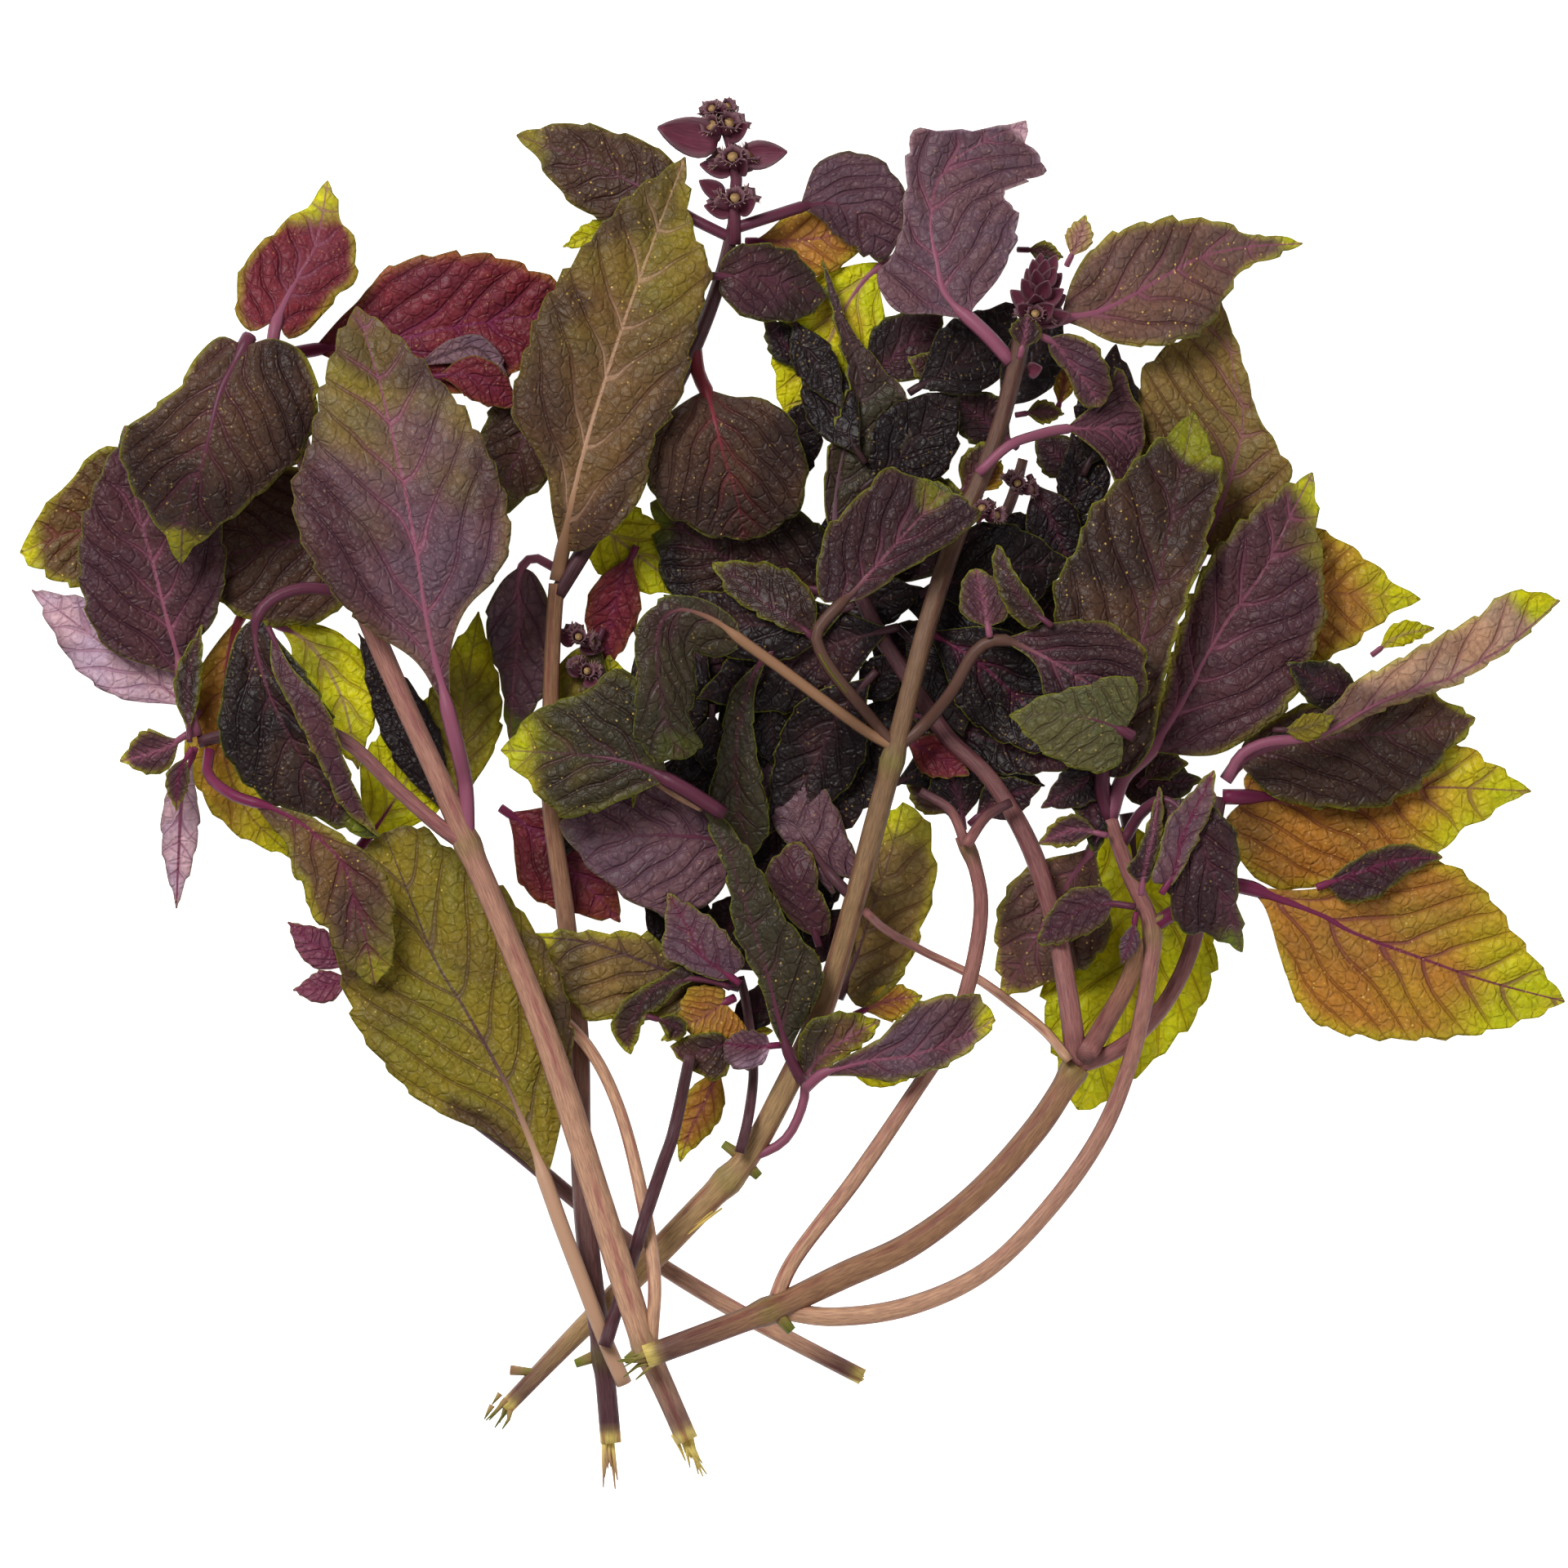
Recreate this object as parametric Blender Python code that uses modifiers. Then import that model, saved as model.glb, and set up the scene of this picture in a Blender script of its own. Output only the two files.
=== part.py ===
"""Purple basil bunch: cut sprigs of purple basil, lying together on a flat surface.

A stem is a tapered tube, a leaf is a thin bent blade on its own stalk, and a flower spike is a turned body.
The pieces are listed from the surface upwards. Each is laid on the ones before it and rests on them with a
little air between, and the foot of each leaf stalk meets the stem that it grew on.
All lengths in the lists are in millimetres, with x to the right, y to the top of the bunch and z up.
"""

import math
from dataclasses import dataclass

import bmesh
import bpy
import numpy as np
from mathutils import Vector

MM = 0.001
BUNCH_MIDDLE = (-0.3, 3.9)  # of the lists' x and y, where the model has its origin

# Pieces
BLADE_THICKNESS = 0.5
STALK_HALF_WIDTH = 0.9
TIP_HALF_WIDTH = 0.5
FULL_BEND_AT = 5.0  # half width from which a blade has all its bend
TIP_FULLNESS = 0.85  # under 1 gives a round tip, over 1 a drawn-out one
JOINT_GAP = 0.35  # between a stalk or a shoot and the stem that it grew on
STALK_FOOT = 10.0  # how far from its stem a stalk has come to the height where its leaf lies
SHOOT_FOOT = 24.0  # the same for a shoot
LEAF_DROOP = 0.35  # how steeply a leaf falls from its stem to where it lies
SHOOT_DROOP = 0.2
DROOP_BLEND = 2.0  # size of the soft bend where it meets what it lies on
SPIKE_CORE = 0.9  # radius of the stalk that runs through a flower spike
SPIKE_RISE = 1.5  # from the foot of a spike to its tip
SPIKE_RING = 0.9  # of the pitch between rings of flowers that a ring takes up

# Fineness
ROUTE_STEP = 0.5
CURVE_PARTS = 20  # of each stretch between two given points of a route
BLADE_ROW = 7.5
STALK_ROW = 8.0
TUBE_STEP = 6.5
SPIKE_SIDES = 10
SPIKE_ANGLES = (60, 20, -20, -60)  # of the points on a ring of flowers

# Laying
CLEARANCE = 0.65  # between two pieces that lie on each other
FULL_AIR_AT = 5.0  # the height of the pile from which a piece keeps all its extra air
GRID = 1.0
GRID_HALF = 160
BLADE_SAG = 0.05
STEM_SAG = 0.03
STEM_ROUNDS = 2500
BLADE_ROUNDS = 900
BLADE_SAMPLES = 8  # of each cell of a blade
TUBE_SAMPLES = 6  # of each step of a tube
TUBE_STRIPS = 9  # points across a tube

COLOURS = {
    "dark": ((0.060, 0.018, 0.035), 0.55),
    "purple": ((0.110, 0.030, 0.070), 0.55),
    "olive": ((0.130, 0.095, 0.030), 0.50),
    "lime": ((0.420, 0.430, 0.015), 0.45),
    "amber": ((0.360, 0.180, 0.020), 0.45),
    "crimson": ((0.230, 0.035, 0.045), 0.50),
    "green": ((0.085, 0.110, 0.035), 0.55),
    "pale": ((0.280, 0.160, 0.200), 0.60),
    "stem": ((0.300, 0.140, 0.120), 0.50),
    "shoot": ((0.170, 0.050, 0.075), 0.50),
    "flower": ((0.090, 0.020, 0.055), 0.60),
}


@dataclass
class Stem:
    name: str
    colour: str
    route: list
    radii: tuple  # at the cut end and at the far end
    grows_on: str = ""
    air: float = 0.0
    held: tuple = (0.0, 0.0)  # the least height of the two ends


@dataclass
class Leaf:
    name: str
    colour: str
    midrib: list  # from where the stalk leaves its stem to the tip
    stalk: float
    left: float | list  # half width of the flattened blade, or points of its margin from its foot to its tip
    right: float | list  # seen from the stalk
    grows_on: str = ""
    bend: tuple = (10, -4, 10, -4)  # rise in degrees of the left half's two strips, then of the right's
    arch: tuple = (0.0, 3.0, 0.0)  # extra height at the stalk, the middle and the tip
    air: float = 2.5
    widest: float = 0.42  # where the blade is widest, from its foot


@dataclass
class Spike:
    name: str
    colour: str
    foot: tuple
    tip: tuple
    whorls: tuple  # radius of each ring of flowers, from the foot upwards
    grows_on: str = ""


# The bunch, from the surface upwards
PIECES = [
    Leaf("lime_right_leaf", "lime", [(62, -4), (64, -16), (63, -30), (59, -45), (53, -58.5)], 2, [(68,
         -10), (74, -18), (78.3, -27), (78, -34), (75, -41), (70, -46.5), (64, -52), (57, -57.6)], [(57,
         -9), (52, -18), (48, -28), (46.7, -38), (48.5, -47), (50.5, -53.5)], bend=(6, 2, 6, 2), arch=(0,
         0, 0)),
    Leaf("amber_right_leaf", "amber", [(79.5, -1), (85, -1), (92, -0.8), (103, 0.2), (114, 0.6), (122,
         0.7), (136.3, 0)], 3, [(84, 3), (92, 7.5), (104, 9.5), (115, 8.8), (123.4, 8.5), (128, 5.7), (132,
         3)], [(80, -5.5), (82.5, -12), (88, -17.5), (97, -17.5), (108, -13.8), (118.5, -11.8), (123,
         -7.2), (127.9, -4.8), (131.8, -1.8)], "right_side_stem", bend=(4, 4, 3, 3), arch=(0, 0, 0)),
    Leaf("pale_left_leaf", "amber", [(-83, 42), (-93, 40), (-102, 29), (-104, 10), (-100, -3), (-90, -13)],
         22, 8, 7, bend=(4, 6, 8, 4), arch=(0, 0, 0)),
    Leaf("lime_left_leaf", "lime", [(-80, -12), (-74, -4), (-68, 6), (-62, 20)], 4, 9, 8, bend=(5, 5, 5,
         5), arch=(0, 1, 0)),
    Leaf("lime_centre_leaf", "lime", [(20, 98), (14, 94), (8, 84), (0, 64)], 3, 10, 10, bend=(5, 4, 5, 4),
         arch=(0, 2, 0)),
    Leaf("far_left_leaf", "amber", [(-112, 26), (-116.5, 36), (-122, 45), (-130, 48), (-141.2, 43.8)], 14,
         [(-122, 40.5), (-128, 37.5), (-134, 38.5), (-138, 41)], [(-116, 54), (-120, 61), (-124, 63.8),
         (-128.5, 61), (-133, 55.7), (-137.5, 51.2), (-139.5, 46.8)], bend=(8, 5, 8, 5), arch=(0, 2, 1),
         widest=0.3),
    Leaf("hidden_right_leaf", "amber", [(78, 34), (88, 35.5), (98, 36.3), (107, 36), (116, 35.3)], 3, [(84,
         44), (92, 48.5), (98, 47.8), (103, 44.8), (107.5, 41.5), (110.5, 38.5)], [(85, 27), (93, 22.5),
         (98.5, 24.3), (103.5, 27), (107, 30), (111, 33)], bend=(6, 3, 6, 3), arch=(0, 2, 0), widest=0.3),
    Leaf("glowing_right_leaf", "amber", [(74, 41), (76.8, 46.5), (80, 54.5), (82.5, 63), (83.3, 70), (81.5,
         78), (79.3, 90)], 3, [(69, 45), (64, 52), (62.5, 62), (63.3, 70), (65, 77), (68.5, 80.7), (75.3,
         85)], [(81, 44), (88, 51), (92.5, 57.5), (90, 62.5), (86, 69), (84.5, 75), (82.2, 82), (80.3,
         87)], bend=(8, 3, 12, 16), arch=(0, 4, 2), widest=0.3),
    Leaf("crimson_left_leaf", "crimson", [(-93, 80), (-87.5, 81), (-78, 82.3), (-69.8, 83.3), (-61.4,
         85.2), (-47.6, 87.2), (-36, 89)], 6, [(-82.5, 86.5), (-79, 90), (-74.5, 95.5), (-68.3, 98.1),
         (-62.5, 98.7), (-54.9, 98.5), (-47, 95.8), (-40.5, 92)], [(-82, 78.5), (-75, 74), (-65, 72.5),
         (-55, 74), (-47, 79), (-41, 85)], bend=(10, 4, 10, 4), arch=(0, 3, 0)),
    Leaf("amber_middle_leaf", "lime", [(9, -38), (12.5, -30), (15.5, -21), (18.5, -12), (21, -2)], 2,
         [(7.5, -33), (9, -24), (12, -15), (16, -7)], [(13, -39.6), (18.5, -36.6), (22.5, -31), (25, -24),
         (27, -16), (26.3, -10.5), (25, -5)], bend=(6, 4, 6, 4), arch=(0, 1, 0)),
    Stem("slanting_stem", "stem", [(13.5, -107.5), (0, -100.5), (-12, -94), (-25, -86), (-38, -76), (-50,
         -66), (-62, -57)], (1.7, 1.4)),
    Leaf("pointed_left_leaf", "crimson", [(-94.4, 80.5), (-93.6, 85.4), (-91.8, 90), (-89.6, 94.3), (-86.8,
         99.6), (-85.7, 104.3), (-84.6, 112)], 2, [(-98, 83.8), (-101, 86.8), (-101.3, 90.4), (-100, 96.2),
         (-96.4, 100.4), (-92.1, 104.3), (-87.9, 107.3)], [(-91.5, 82.6), (-87, 84.8), (-82.9, 90), (-79.6,
         92.5), (-79, 96.8), (-79.6, 101), (-82.3, 104.8), (-83.3, 108.8)], "left_stem", bend=(12, 6, 12,
         6), arch=(4, 5, 3), widest=0.28),
    Leaf("round_left_leaf", "dark", [(-77, 45), (-83, 46), (-90, 46), (-100, 44), (-111, 41.3)], 3, [(-80,
         37), (-85, 31.3), (-92, 30.3), (-98, 31.2), (-104, 34.5), (-107.7, 39)], [(-81, 54), (-87, 59),
         (-95, 59.5), (-103, 54.5), (-108, 48)], bend=(8, -4, 8, -4), arch=(3, 5, 1)),
    Leaf("hanging_left_leaf", "purple", [(-108.5, 10), (-110.3, 16), (-111.5, 22.5), (-114.3, 32.9),
         (-116.4, 41.4), (-119.3, 52.1), (-121.7, 67)], 12, [(-116.4, 22.9), (-121, 24.3), (-125.2, 26.5),
         (-128, 31), (-129.6, 37), (-130, 44.3), (-128.9, 50.7), (-125.4, 59.3), (-122.9, 63.5)], [(-109,
         27), (-105.5, 31), (-103.5, 37), (-103, 45), (-106, 54), (-112, 61.5), (-118, 66.5)],
         "left_shoot", bend=(10, 2, 10, 2), arch=(2, 5, 1)),
    Leaf("brown_right_leaf", "amber", [(57, -7), (55, -11), (49, -20), (39, -38)], 4, 12, 9, "outer_stem",
         bend=(8, 3, 8, 3), arch=(2, 3, 1)),
    Leaf("dark_right_leaf", "dark", [(80, 2), (83, 5.5), (91, 8.5), (100, 10), (110, 10.7), (118, 12),
         (126, 13.4)], 4, [(84, 9.5), (90, 14), (98, 17), (108, 18), (117.4, 18.2), (121, 16), (124,
         14.6)], [(84.5, 3), (88, -0.5), (92.5, -2.3), (98, -3.1), (104, -3.3), (109, -2.6), (115, 0.6),
         (117.5, 3), (121, 7.5), (124.8, 11.2)], "right_side_stem", bend=(8, 3, 6, -2), arch=(2, 4, 2)),
    Leaf("upper_middle_leaf", "dark", [(-10, 103), (-1.7, 105.7), (3, 107.2), (8, 107.7), (13, 105.5), (16,
         101.5), (17.6, 97.3)], 13, [(3.2, 110.5), (5, 114.9), (9, 116.9), (15, 116.7), (19.7, 113), (21.3,
         108), (20.6, 102)], [(5.5, 105), (8, 102.3), (11, 100.2), (14, 98.4)], "top_shoot", bend=(8, -4,
         8, -4), arch=(3, 6, 3), widest=0.5),
    Leaf("upper_left_leaf", "olive", [(-10, 101), (-18, 105), (-24, 109), (-36, 115), (-50, 120.5)], 14,
         [(-22, 103.5), (-27, 103), (-33, 104), (-39.7, 107.7), (-43.9, 112.7), (-46.7, 117)], [(-20, 113),
         (-23.7, 117.7), (-28.3, 119.9), (-37.7, 122.4), (-44, 122.1), (-47.7, 121.3)], "top_shoot",
         bend=(8, 2, 8, 2), arch=(3, 6, 2)),
    Leaf("curled_left_leaf", "purple", [(-43, 41), (-47, 42.8), (-49.5, 39.5), (-49.5, 30), (-50.5, 20),
         (-51.2, 9.3)], 7, [(-46.5, 39.5), (-43.9, 34), (-43.9, 25), (-45, 17.7), (-48.5, 13)], [(-52.5,
         38.5), (-55.5, 33), (-55, 27), (-52.8, 20), (-52, 13)], bend=(12, 4, 14, 6), arch=(6, 5, 0)),
    Stem("right_rising_stem", "shoot", [(52.5, -50), (51, -38), (48.5, -24), (44, -10), (37, 2), (29, 10),
         (23, 19), (17, 28), (13, 36)], (2.0, 1.4), "right_stem", held=(2.3, 3.0)),
    Leaf("brown_centre_leaf", "dark", [(9, 36), (3, 37.5), (-3, 39.5), (-12, 43), (-18.5, 47.4), (-25.4,
         53)], 3, [(2, 33.5), (-8, 33.5), (-17, 34.5), (-21.5, 35.3), (-23, 38.5), (-24.1, 43.5), (-24.9,
         49)], [(9, 41), (8, 45.5), (5.5, 49), (1, 52.2), (-4, 53), (-12.5, 54.6), (-19, 54.1), (-23,
         53.8)], bend=(8, 2, 8, 2), arch=(2, 4, 1)),
    Leaf("narrow_middle_leaf", "purple", [(13, -20), (11, -18.8), (7, -14.5), (3.5, -9.5), (0.7, -5), (-2,
         0), (-4, 5.5), (-4.2, 11.5)], 2, [(8.5, -19), (3, -13), (-1, -9), (-3.5, -4.5), (-4.8, 1), (-5.5,
         6)], [(12.8, -16), (12, -11), (10, -6), (7.8, -1), (4.5, 3), (2, 7), (-0.5, 9.8)], "centre_stem",
         bend=(10, 4, 8, 2), arch=(2, 4, 1)),
    Leaf("grey_middle_leaf", "green", [(-0.5, 27.5), (-5.5, 23), (-8.5, 15), (-9.7, 6), (-9, -4), (-6.5,
         -11.7)], 5, [(-6.3, 18), (-6.3, 11), (-5, 3), (-3.6, -4.5), (-4.6, -9)], [(-10.3, 18.5), (-12,
         12), (-13.3, 5), (-14.8, -1), (-13, -5), (-9.5, -9)], bend=(8, 2, 8, 2), arch=(5, 5, 1)),
    Stem("centre_stem", "stem", [(-52, -113), (-40, -100.5), (-27, -87.5), (-15, -75), (-8, -67.5), (-2,
         -57), (6, -40), (12, -20), (16, -5), (19.5, 8), (22.5, 20), (26, 33), (31, 48), (37, 62), (41,
         76), (43, 85)], (2.7, 1.5), air=3.0, held=(0, 14)),
    Stem("back_stem", "stem", [(-32.5, -119), (-34, -103), (-36.5, -85), (-38, -66), (-38.5, -45), (-41,
         -22), (-43.5, -3), (-43.6, 14), (-43.2, 28), (-42.5, 38)], (2.3, 1.4), air=1.0, held=(0, 8)),
    Stem("thin_shoot", "shoot", [(-25, -100), (-24.5, -88), (-27, -73), (-31, -58), (-36.5, -47), (-45,
         -38)], (1.3, 1.1), "left_stem"),
    Leaf("veined_lower_leaf", "amber", [(-9, -35.5), (-15, -34), (-22, -32.8), (-30, -29.8), (-37, -27.5),
         (-48, -26.4)], 5, [(-13, -38.5), (-18, -41), (-25, -42), (-33, -42), (-37, -41.4), (-40.5, -37.2),
         (-43, -33.2), (-46, -29.2)], [(-14, -32.5), (-20, -30), (-26, -26), (-33, -25.8), (-40, -25.5)],
         bend=(6, 2, 8, 4), arch=(2, 3, 1)),
    Leaf("flat_middle_leaf", "purple", [(-9, -10.5), (-14, -8.8), (-22, -8), (-32, -8), (-42, -6)], 3,
         [(-11, -15), (-14, -20), (-20, -23.2), (-27, -21), (-33, -16.7), (-38, -12)], [(-12, -5), (-17,
         -1), (-24, 2), (-31, 2), (-37, -1)], bend=(5, -3, 5, -3), arch=(3, 5, 2)),
    Leaf("long_middle_leaf", "green", [(2.5, -53), (0, -48), (-2, -41), (-4, -33), (-6.5, -25), (-9.5,
         -16), (-12, -9), (-15.4, -2)], 6, [(-2.8, -43), (-5, -36), (-8.5, -29), (-10.3, -24), (-10.9,
         -18), (-12.2, -12.5), (-14.3, -7.5)], [(1.5, -44), (5, -38), (6.3, -32.5), (3.5, -28), (0, -24),
         (-2.5, -19.5), (-5.5, -14), (-8, -10), (-12, -5)], bend=(8, 2, 8, -2), arch=(2, 5, 2)),
    Leaf("large_lower_leaf", "olive", [(-30, -108), (-33.5, -100), (-37.3, -90), (-41.5, -79), (-44, -72),
         (-47, -64), (-52, -52.5), (-59, -40), (-64.5, -31), (-69, -20), (-74, -7.5)], 40, [(-48.9, -66.5),
         (-55, -62.3), (-62, -59.5), (-68.5, -55.8), (-73.5, -50.3), (-78.2, -44.5), (-81, -37), (-82.7,
         -29), (-82.8, -20), (-79, -12)], [(-43, -66), (-40.7, -56), (-39.2, -46), (-40.3, -37.5), (-43,
         -30.5), (-47.5, -23.5), (-53, -17), (-61, -11.2), (-68, -6.5)], bend=(9, -2, 9, -2), arch=(0, 4,
         2), widest=0.52),
    Stem("left_shoot", "shoot", [(-59, -9.5), (-64, -6), (-72, 1), (-80, 8.5), (-88, 12), (-98, 11.5),
         (-108, 9)], (1.4, 1.1), "left_stem", held=(0, 6)),
    Leaf("folded_left_leaf", "dark", [(-79, 36), (-89, 37), (-96, 33.5), (-97.2, 27), (-94, 16), (-88.5,
         6), (-82, -2), (-74.7, -8.4)], 20, [(-93.5, 28), (-88, 22), (-83.5, 15), (-81.5, 7), (-79.5, 0),
         (-77, -5)], [(-100.5, 28.5), (-103, 20), (-104, 10), (-100, 2.5), (-94, -2.5), (-85, -5.3), (-79,
         -7.8)], bend=(20, 8, 6, -4), arch=(4, 6, 2)),
    Stem("left_stem", "stem", [(-18.5, -118), (-22, -110), (-26, -101), (-29, -92), (-35, -73), (-43, -48),
         (-51, -27), (-58.5, -9.5), (-64, 3), (-70, 16), (-77, 32), (-85, 50), (-90, 67), (-94, 80)], (2.7,
         1.5), air=2.0, held=(0, 10)),
    Stem("right_stem", "stem", [(-26, -102.5), (-15, -98.5), (-3, -94), (10, -88), (22, -82.5), (34,
         -73.5), (45, -61.5), (52.5, -50)], (2.6, 2.2)),
    Stem("right_side_stem", "stem", [(52.5, -50), (60, -47), (67, -41), (72, -33), (75, -24), (77, -12),
         (79, -1)], (1.6, 1.3), "right_stem"),
    Stem("inner_stem", "stem", [(-3, -94), (1, -85), (12, -70.5), (22, -56), (29, -45), (33, -34), (35,
         -22), (34, -14), (31.5, -8)], (1.5, 1.3), "right_stem", held=(0, 5)),
    Stem("outer_stem", "stem", [(-3, -94), (8, -95.5), (22, -93.5), (36, -87), (48, -75), (57, -62), (62.5,
         -48), (65.5, -34), (66, -24.5), (62, -15), (58.5, -5)], (1.8, 1.4), "right_stem", held=(0, 10)),
    Leaf("bright_right_leaf", "lime", [(66.3, -24.5), (70.5, -21.8), (75, -19), (79, -17.1), (83.2, -17.4),
         (87.6, -18.9), (97, -22.5), (103, -25.8), (115, -30.3), (127, -34.5), (141.7, -38.4)], 20, [(92.2,
         -18.2), (98.8, -17.1), (101.5, -14.5), (104.5, -11.4), (110, -10.3), (115.6, -11.4), (121.2,
         -13.6), (127.8, -19.2), (132.3, -25.8), (137.4, -32.4), (140.2, -36.2)], [(86.5, -20.5), (88,
         -24.5), (89.5, -30), (92, -37.2), (96.4, -42.5), (104.8, -44.8), (113, -45.2), (122, -44.7), (130,
         -43.1), (135, -41.4), (139.2, -39.5)], "outer_stem", bend=(8, 8, 3, 3), arch=(0, 2, 0)),
    Stem("top_shoot", "shoot", [(-42.5, 36), (-37, 45), (-31, 56), (-24, 68), (-17, 82), (-12.5, 94), (-10,
         104)], (1.5, 1.2), "back_stem", held=(0, 8)),
    Leaf("pendent_right_leaf", "dark", [(60.8, -9.5), (64.5, -3.5), (69, -1.6), (73, -6), (77, -15), (80,
         -22), (82.4, -29.2)], 10, [(73.5, -1.5), (78, -3.4), (81.5, -8.2), (81.5, -14), (81.5, -20),
         (82.5, -25)], [(68, -6), (67.5, -12), (68.5, -18), (71, -25), (76, -25.8)], "outer_stem", bend=(8,
         -4, 8, -4), arch=(2, 5, 1)),
    Leaf("round_top_leaf", "green", [(-17.5, 84), (-16.7, 77), (-15, 73), (-13.7, 68.3), (-12, 61.7),
         (-9.7, 54.3), (-8, 46)], 11, [(-10, 72), (-5.7, 72), (-1, 70), (1.9, 65), (3.3, 60), (2.9, 54),
         (-1, 49)], [(-18.5, 71.5), (-22.5, 68.5), (-25.5, 64), (-26.2, 58.5), (-24, 52.5), (-16, 47.5)],
         "top_shoot", bend=(8, -4, 8, -4), arch=(2, 5, 1)),
    Leaf("ribbed_centre_leaf", "green", [(12, 38), (8.5, 48), (9, 58), (11.5, 68), (13.3, 75), (11, 83),
         (8, 91), (6, 97.3)], 4, 3, [(20, 44), (24, 51), (24.3, 59), (23.7, 66), (22.3, 71.7), (19, 75.5),
         (15, 80.2), (11.5, 84.5), (9.3, 89.5), (7.6, 94)], bend=(30, 60, 10, 0), arch=(4, 7, 6)),
    Leaf("green_middle_leaf", "olive", [(-12, -4), (-20, 1), (-27, 4.5), (-34, 6.2), (-43, 7), (-52.5,
         7.5)], 12, [(-25, 1), (-31, -2), (-38, -4.7), (-42, -4), (-46, 0), (-50, 4.6)], [(-24, 10), (-27,
         19.5), (-30.5, 22.5), (-35, 20), (-39, 17), (-44, 16), (-48.5, 12)], bend=(8, -5, 8, -5), arch=(3,
         6, 1)),
    Leaf("curled_middle_leaf", "dark", [(19.5, 8), (14, 11), (5, 17.5), (-2, 22.7), (-8, 27), (-14, 31.3),
         (-20, 33), (-23.3, 30.5), (-24, 25), (-23.3, 17), (-21.5, 10), (-18.5, 6)], 35, [(-9.5, 25.8),
         (-13, 24.2), (-17, 25), (-16.6, 21), (-17, 17), (-18, 13), (-16, 8.5)], [(-10, 31), (-15, 34.6),
         (-21, 35.6), (-26, 32.7), (-28.3, 28), (-27.5, 22), (-28, 15), (-28.2, 10), (-24.5, 6)],
         "centre_stem", bend=(-6, -20, -8, -20), arch=(4, 6, 0)),
    Leaf("small_lower_leaf", "olive", [(-8, -67.5), (-1, -64), (2.5, -57.5), (3.5, -51.5), (8, -46.5),
         (16.6, -41.7)], 18, [(2, -49), (1.8, -45.5), (3.5, -41.9), (7, -40.6), (11, -40.2), (14, -41)],
         [(7, -50.3), (12, -47.3), (15, -44.8)], "centre_stem", bend=(10, 2, 10, 2), arch=(0, 5, 4)),
    Leaf("rolled_lower_leaf", "purple", [(3, -54), (6, -51.3), (10, -50), (15, -48.8), (22, -48), (30,
         -45.3), (37.5, -41.5)], 4, [(11, -48), (16, -45), (19.5, -41.5), (24, -38), (30, -36.8), (35,
         -37.7)], [(12, -51.6), (18, -52.8), (25, -51.4), (31, -48.5), (35, -45)], bend=(10, 2, 14, 20),
         arch=(1, 5, 3)),
    Leaf("purple_centre_leaf", "purple", [(19.5, 8), (13.5, 15), (7.5, 22.3), (5, 27.5), (5.7, 30.1), (9.6,
         34.4), (12.7, 37.5), (19, 44.5), (24, 50), (28, 54.5)], 33, [(6, 34.5), (5, 40), (6.3, 46.5),
         (10.3, 51.5), (13.5, 54.5), (16.8, 58.2), (21.5, 57.8)], [(14, 35.6), (18, 38), (22, 40.6), (30,
         45.5), (34.5, 50), (32.5, 53)], "centre_stem", bend=(6, 0, 8, -2), arch=(3, 7, 5)),
    Leaf("purple_right_leaf", "purple", [(58.5, -5), (61, 2.5), (66.2, 7.6), (73, 18), (75.7, 23.4), (80.2,
         31.2), (86, 39), (89, 44.7), (92, 51), (95.8, 58.4)], 15, [(66.8, 12), (68.3, 18), (70.5, 27),
         (72.3, 33), (74.5, 38.5), (77, 43), (80.5, 47), (85.3, 51.7), (90.3, 55.2)], [(75, 6.5), (80,
         7.4), (85.3, 10.4), (91, 14.6), (94.5, 20.5), (96.2, 26), (98.2, 32.5), (97.5, 38), (97.8, 42),
         (96.6, 48), (96.4, 53.5)], "outer_stem", bend=(10, -3, 10, -3), arch=(2, 6, 2)),
    Leaf("tall_right_leaf", "olive", [(58.5, -5), (57, 1), (58, 7), (60.6, 15.4), (64.6, 28.2), (67.2, 38),
         (70.2, 52), (74, 69.4)], 8, [(55.5, 7), (53, 14), (50, 23), (48.3, 31), (48.3, 38), (50.5, 41.3),
         (52.5, 45), (54.5, 50.5), (60, 56.5), (65, 62), (69.3, 65.2)], [(61.5, 3), (65.8, 8), (67.2, 14),
         (69.5, 24), (71.2, 30), (73.6, 37.4), (75.3, 41), (76.6, 47), (78, 52), (79.2, 56.5), (78.8,
         59.6), (77, 62.5), (75.4, 66.3)], "outer_stem", bend=(8, -3, 8, 2), arch=(2, 4, 1)),
    Leaf("side_centre_leaf", "purple", [(19.5, 8), (24, 11.5), (29.5, 18), (33.5, 25), (37, 27.4), (41,
         27), (49, 23), (56, 18.5), (62, 14)], 29, [(44, 29.3), (48, 30.7), (56.5, 31.2), (60, 29.6),
         (63.4, 27.2), (64.8, 24), (64.6, 18.5)], [(44, 24.2), (45.5, 21), (46.5, 17), (50, 13.5), (56,
         11.5)], "centre_stem", bend=(6, 0, 6, 0), arch=(2, 3, 1)),
    Leaf("green_right_leaf", "green", [(62.5, 10), (57, 12.5), (50, 14), (40, 13.8)], 2, [(60, 5), (55,
         3.5), (49, 5.5), (45.2, 8.2), (42, 12)], [(63, 15), (63, 20), (59.5, 21), (53.5, 19.2), (46,
         17.2), (42.5, 15.1)], bend=(4, -3, 4, -3), arch=(0, 1.5, 0.5)),
    Leaf("folded_right_leaf", "pale", [(80, 2), (82.5, 6.6), (87.4, 9), (95, 9.8), (100, 11.8), (105,
         14.8), (110, 17.2), (116, 19.3), (121, 20.8), (127, 24.2), (132, 27.2), (141.3, 35)], 15, [(98,
         14.5), (100.8, 17), (103, 20), (107, 22), (114, 25.8), (120, 29), (127, 33), (130.5, 36), (136,
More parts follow.
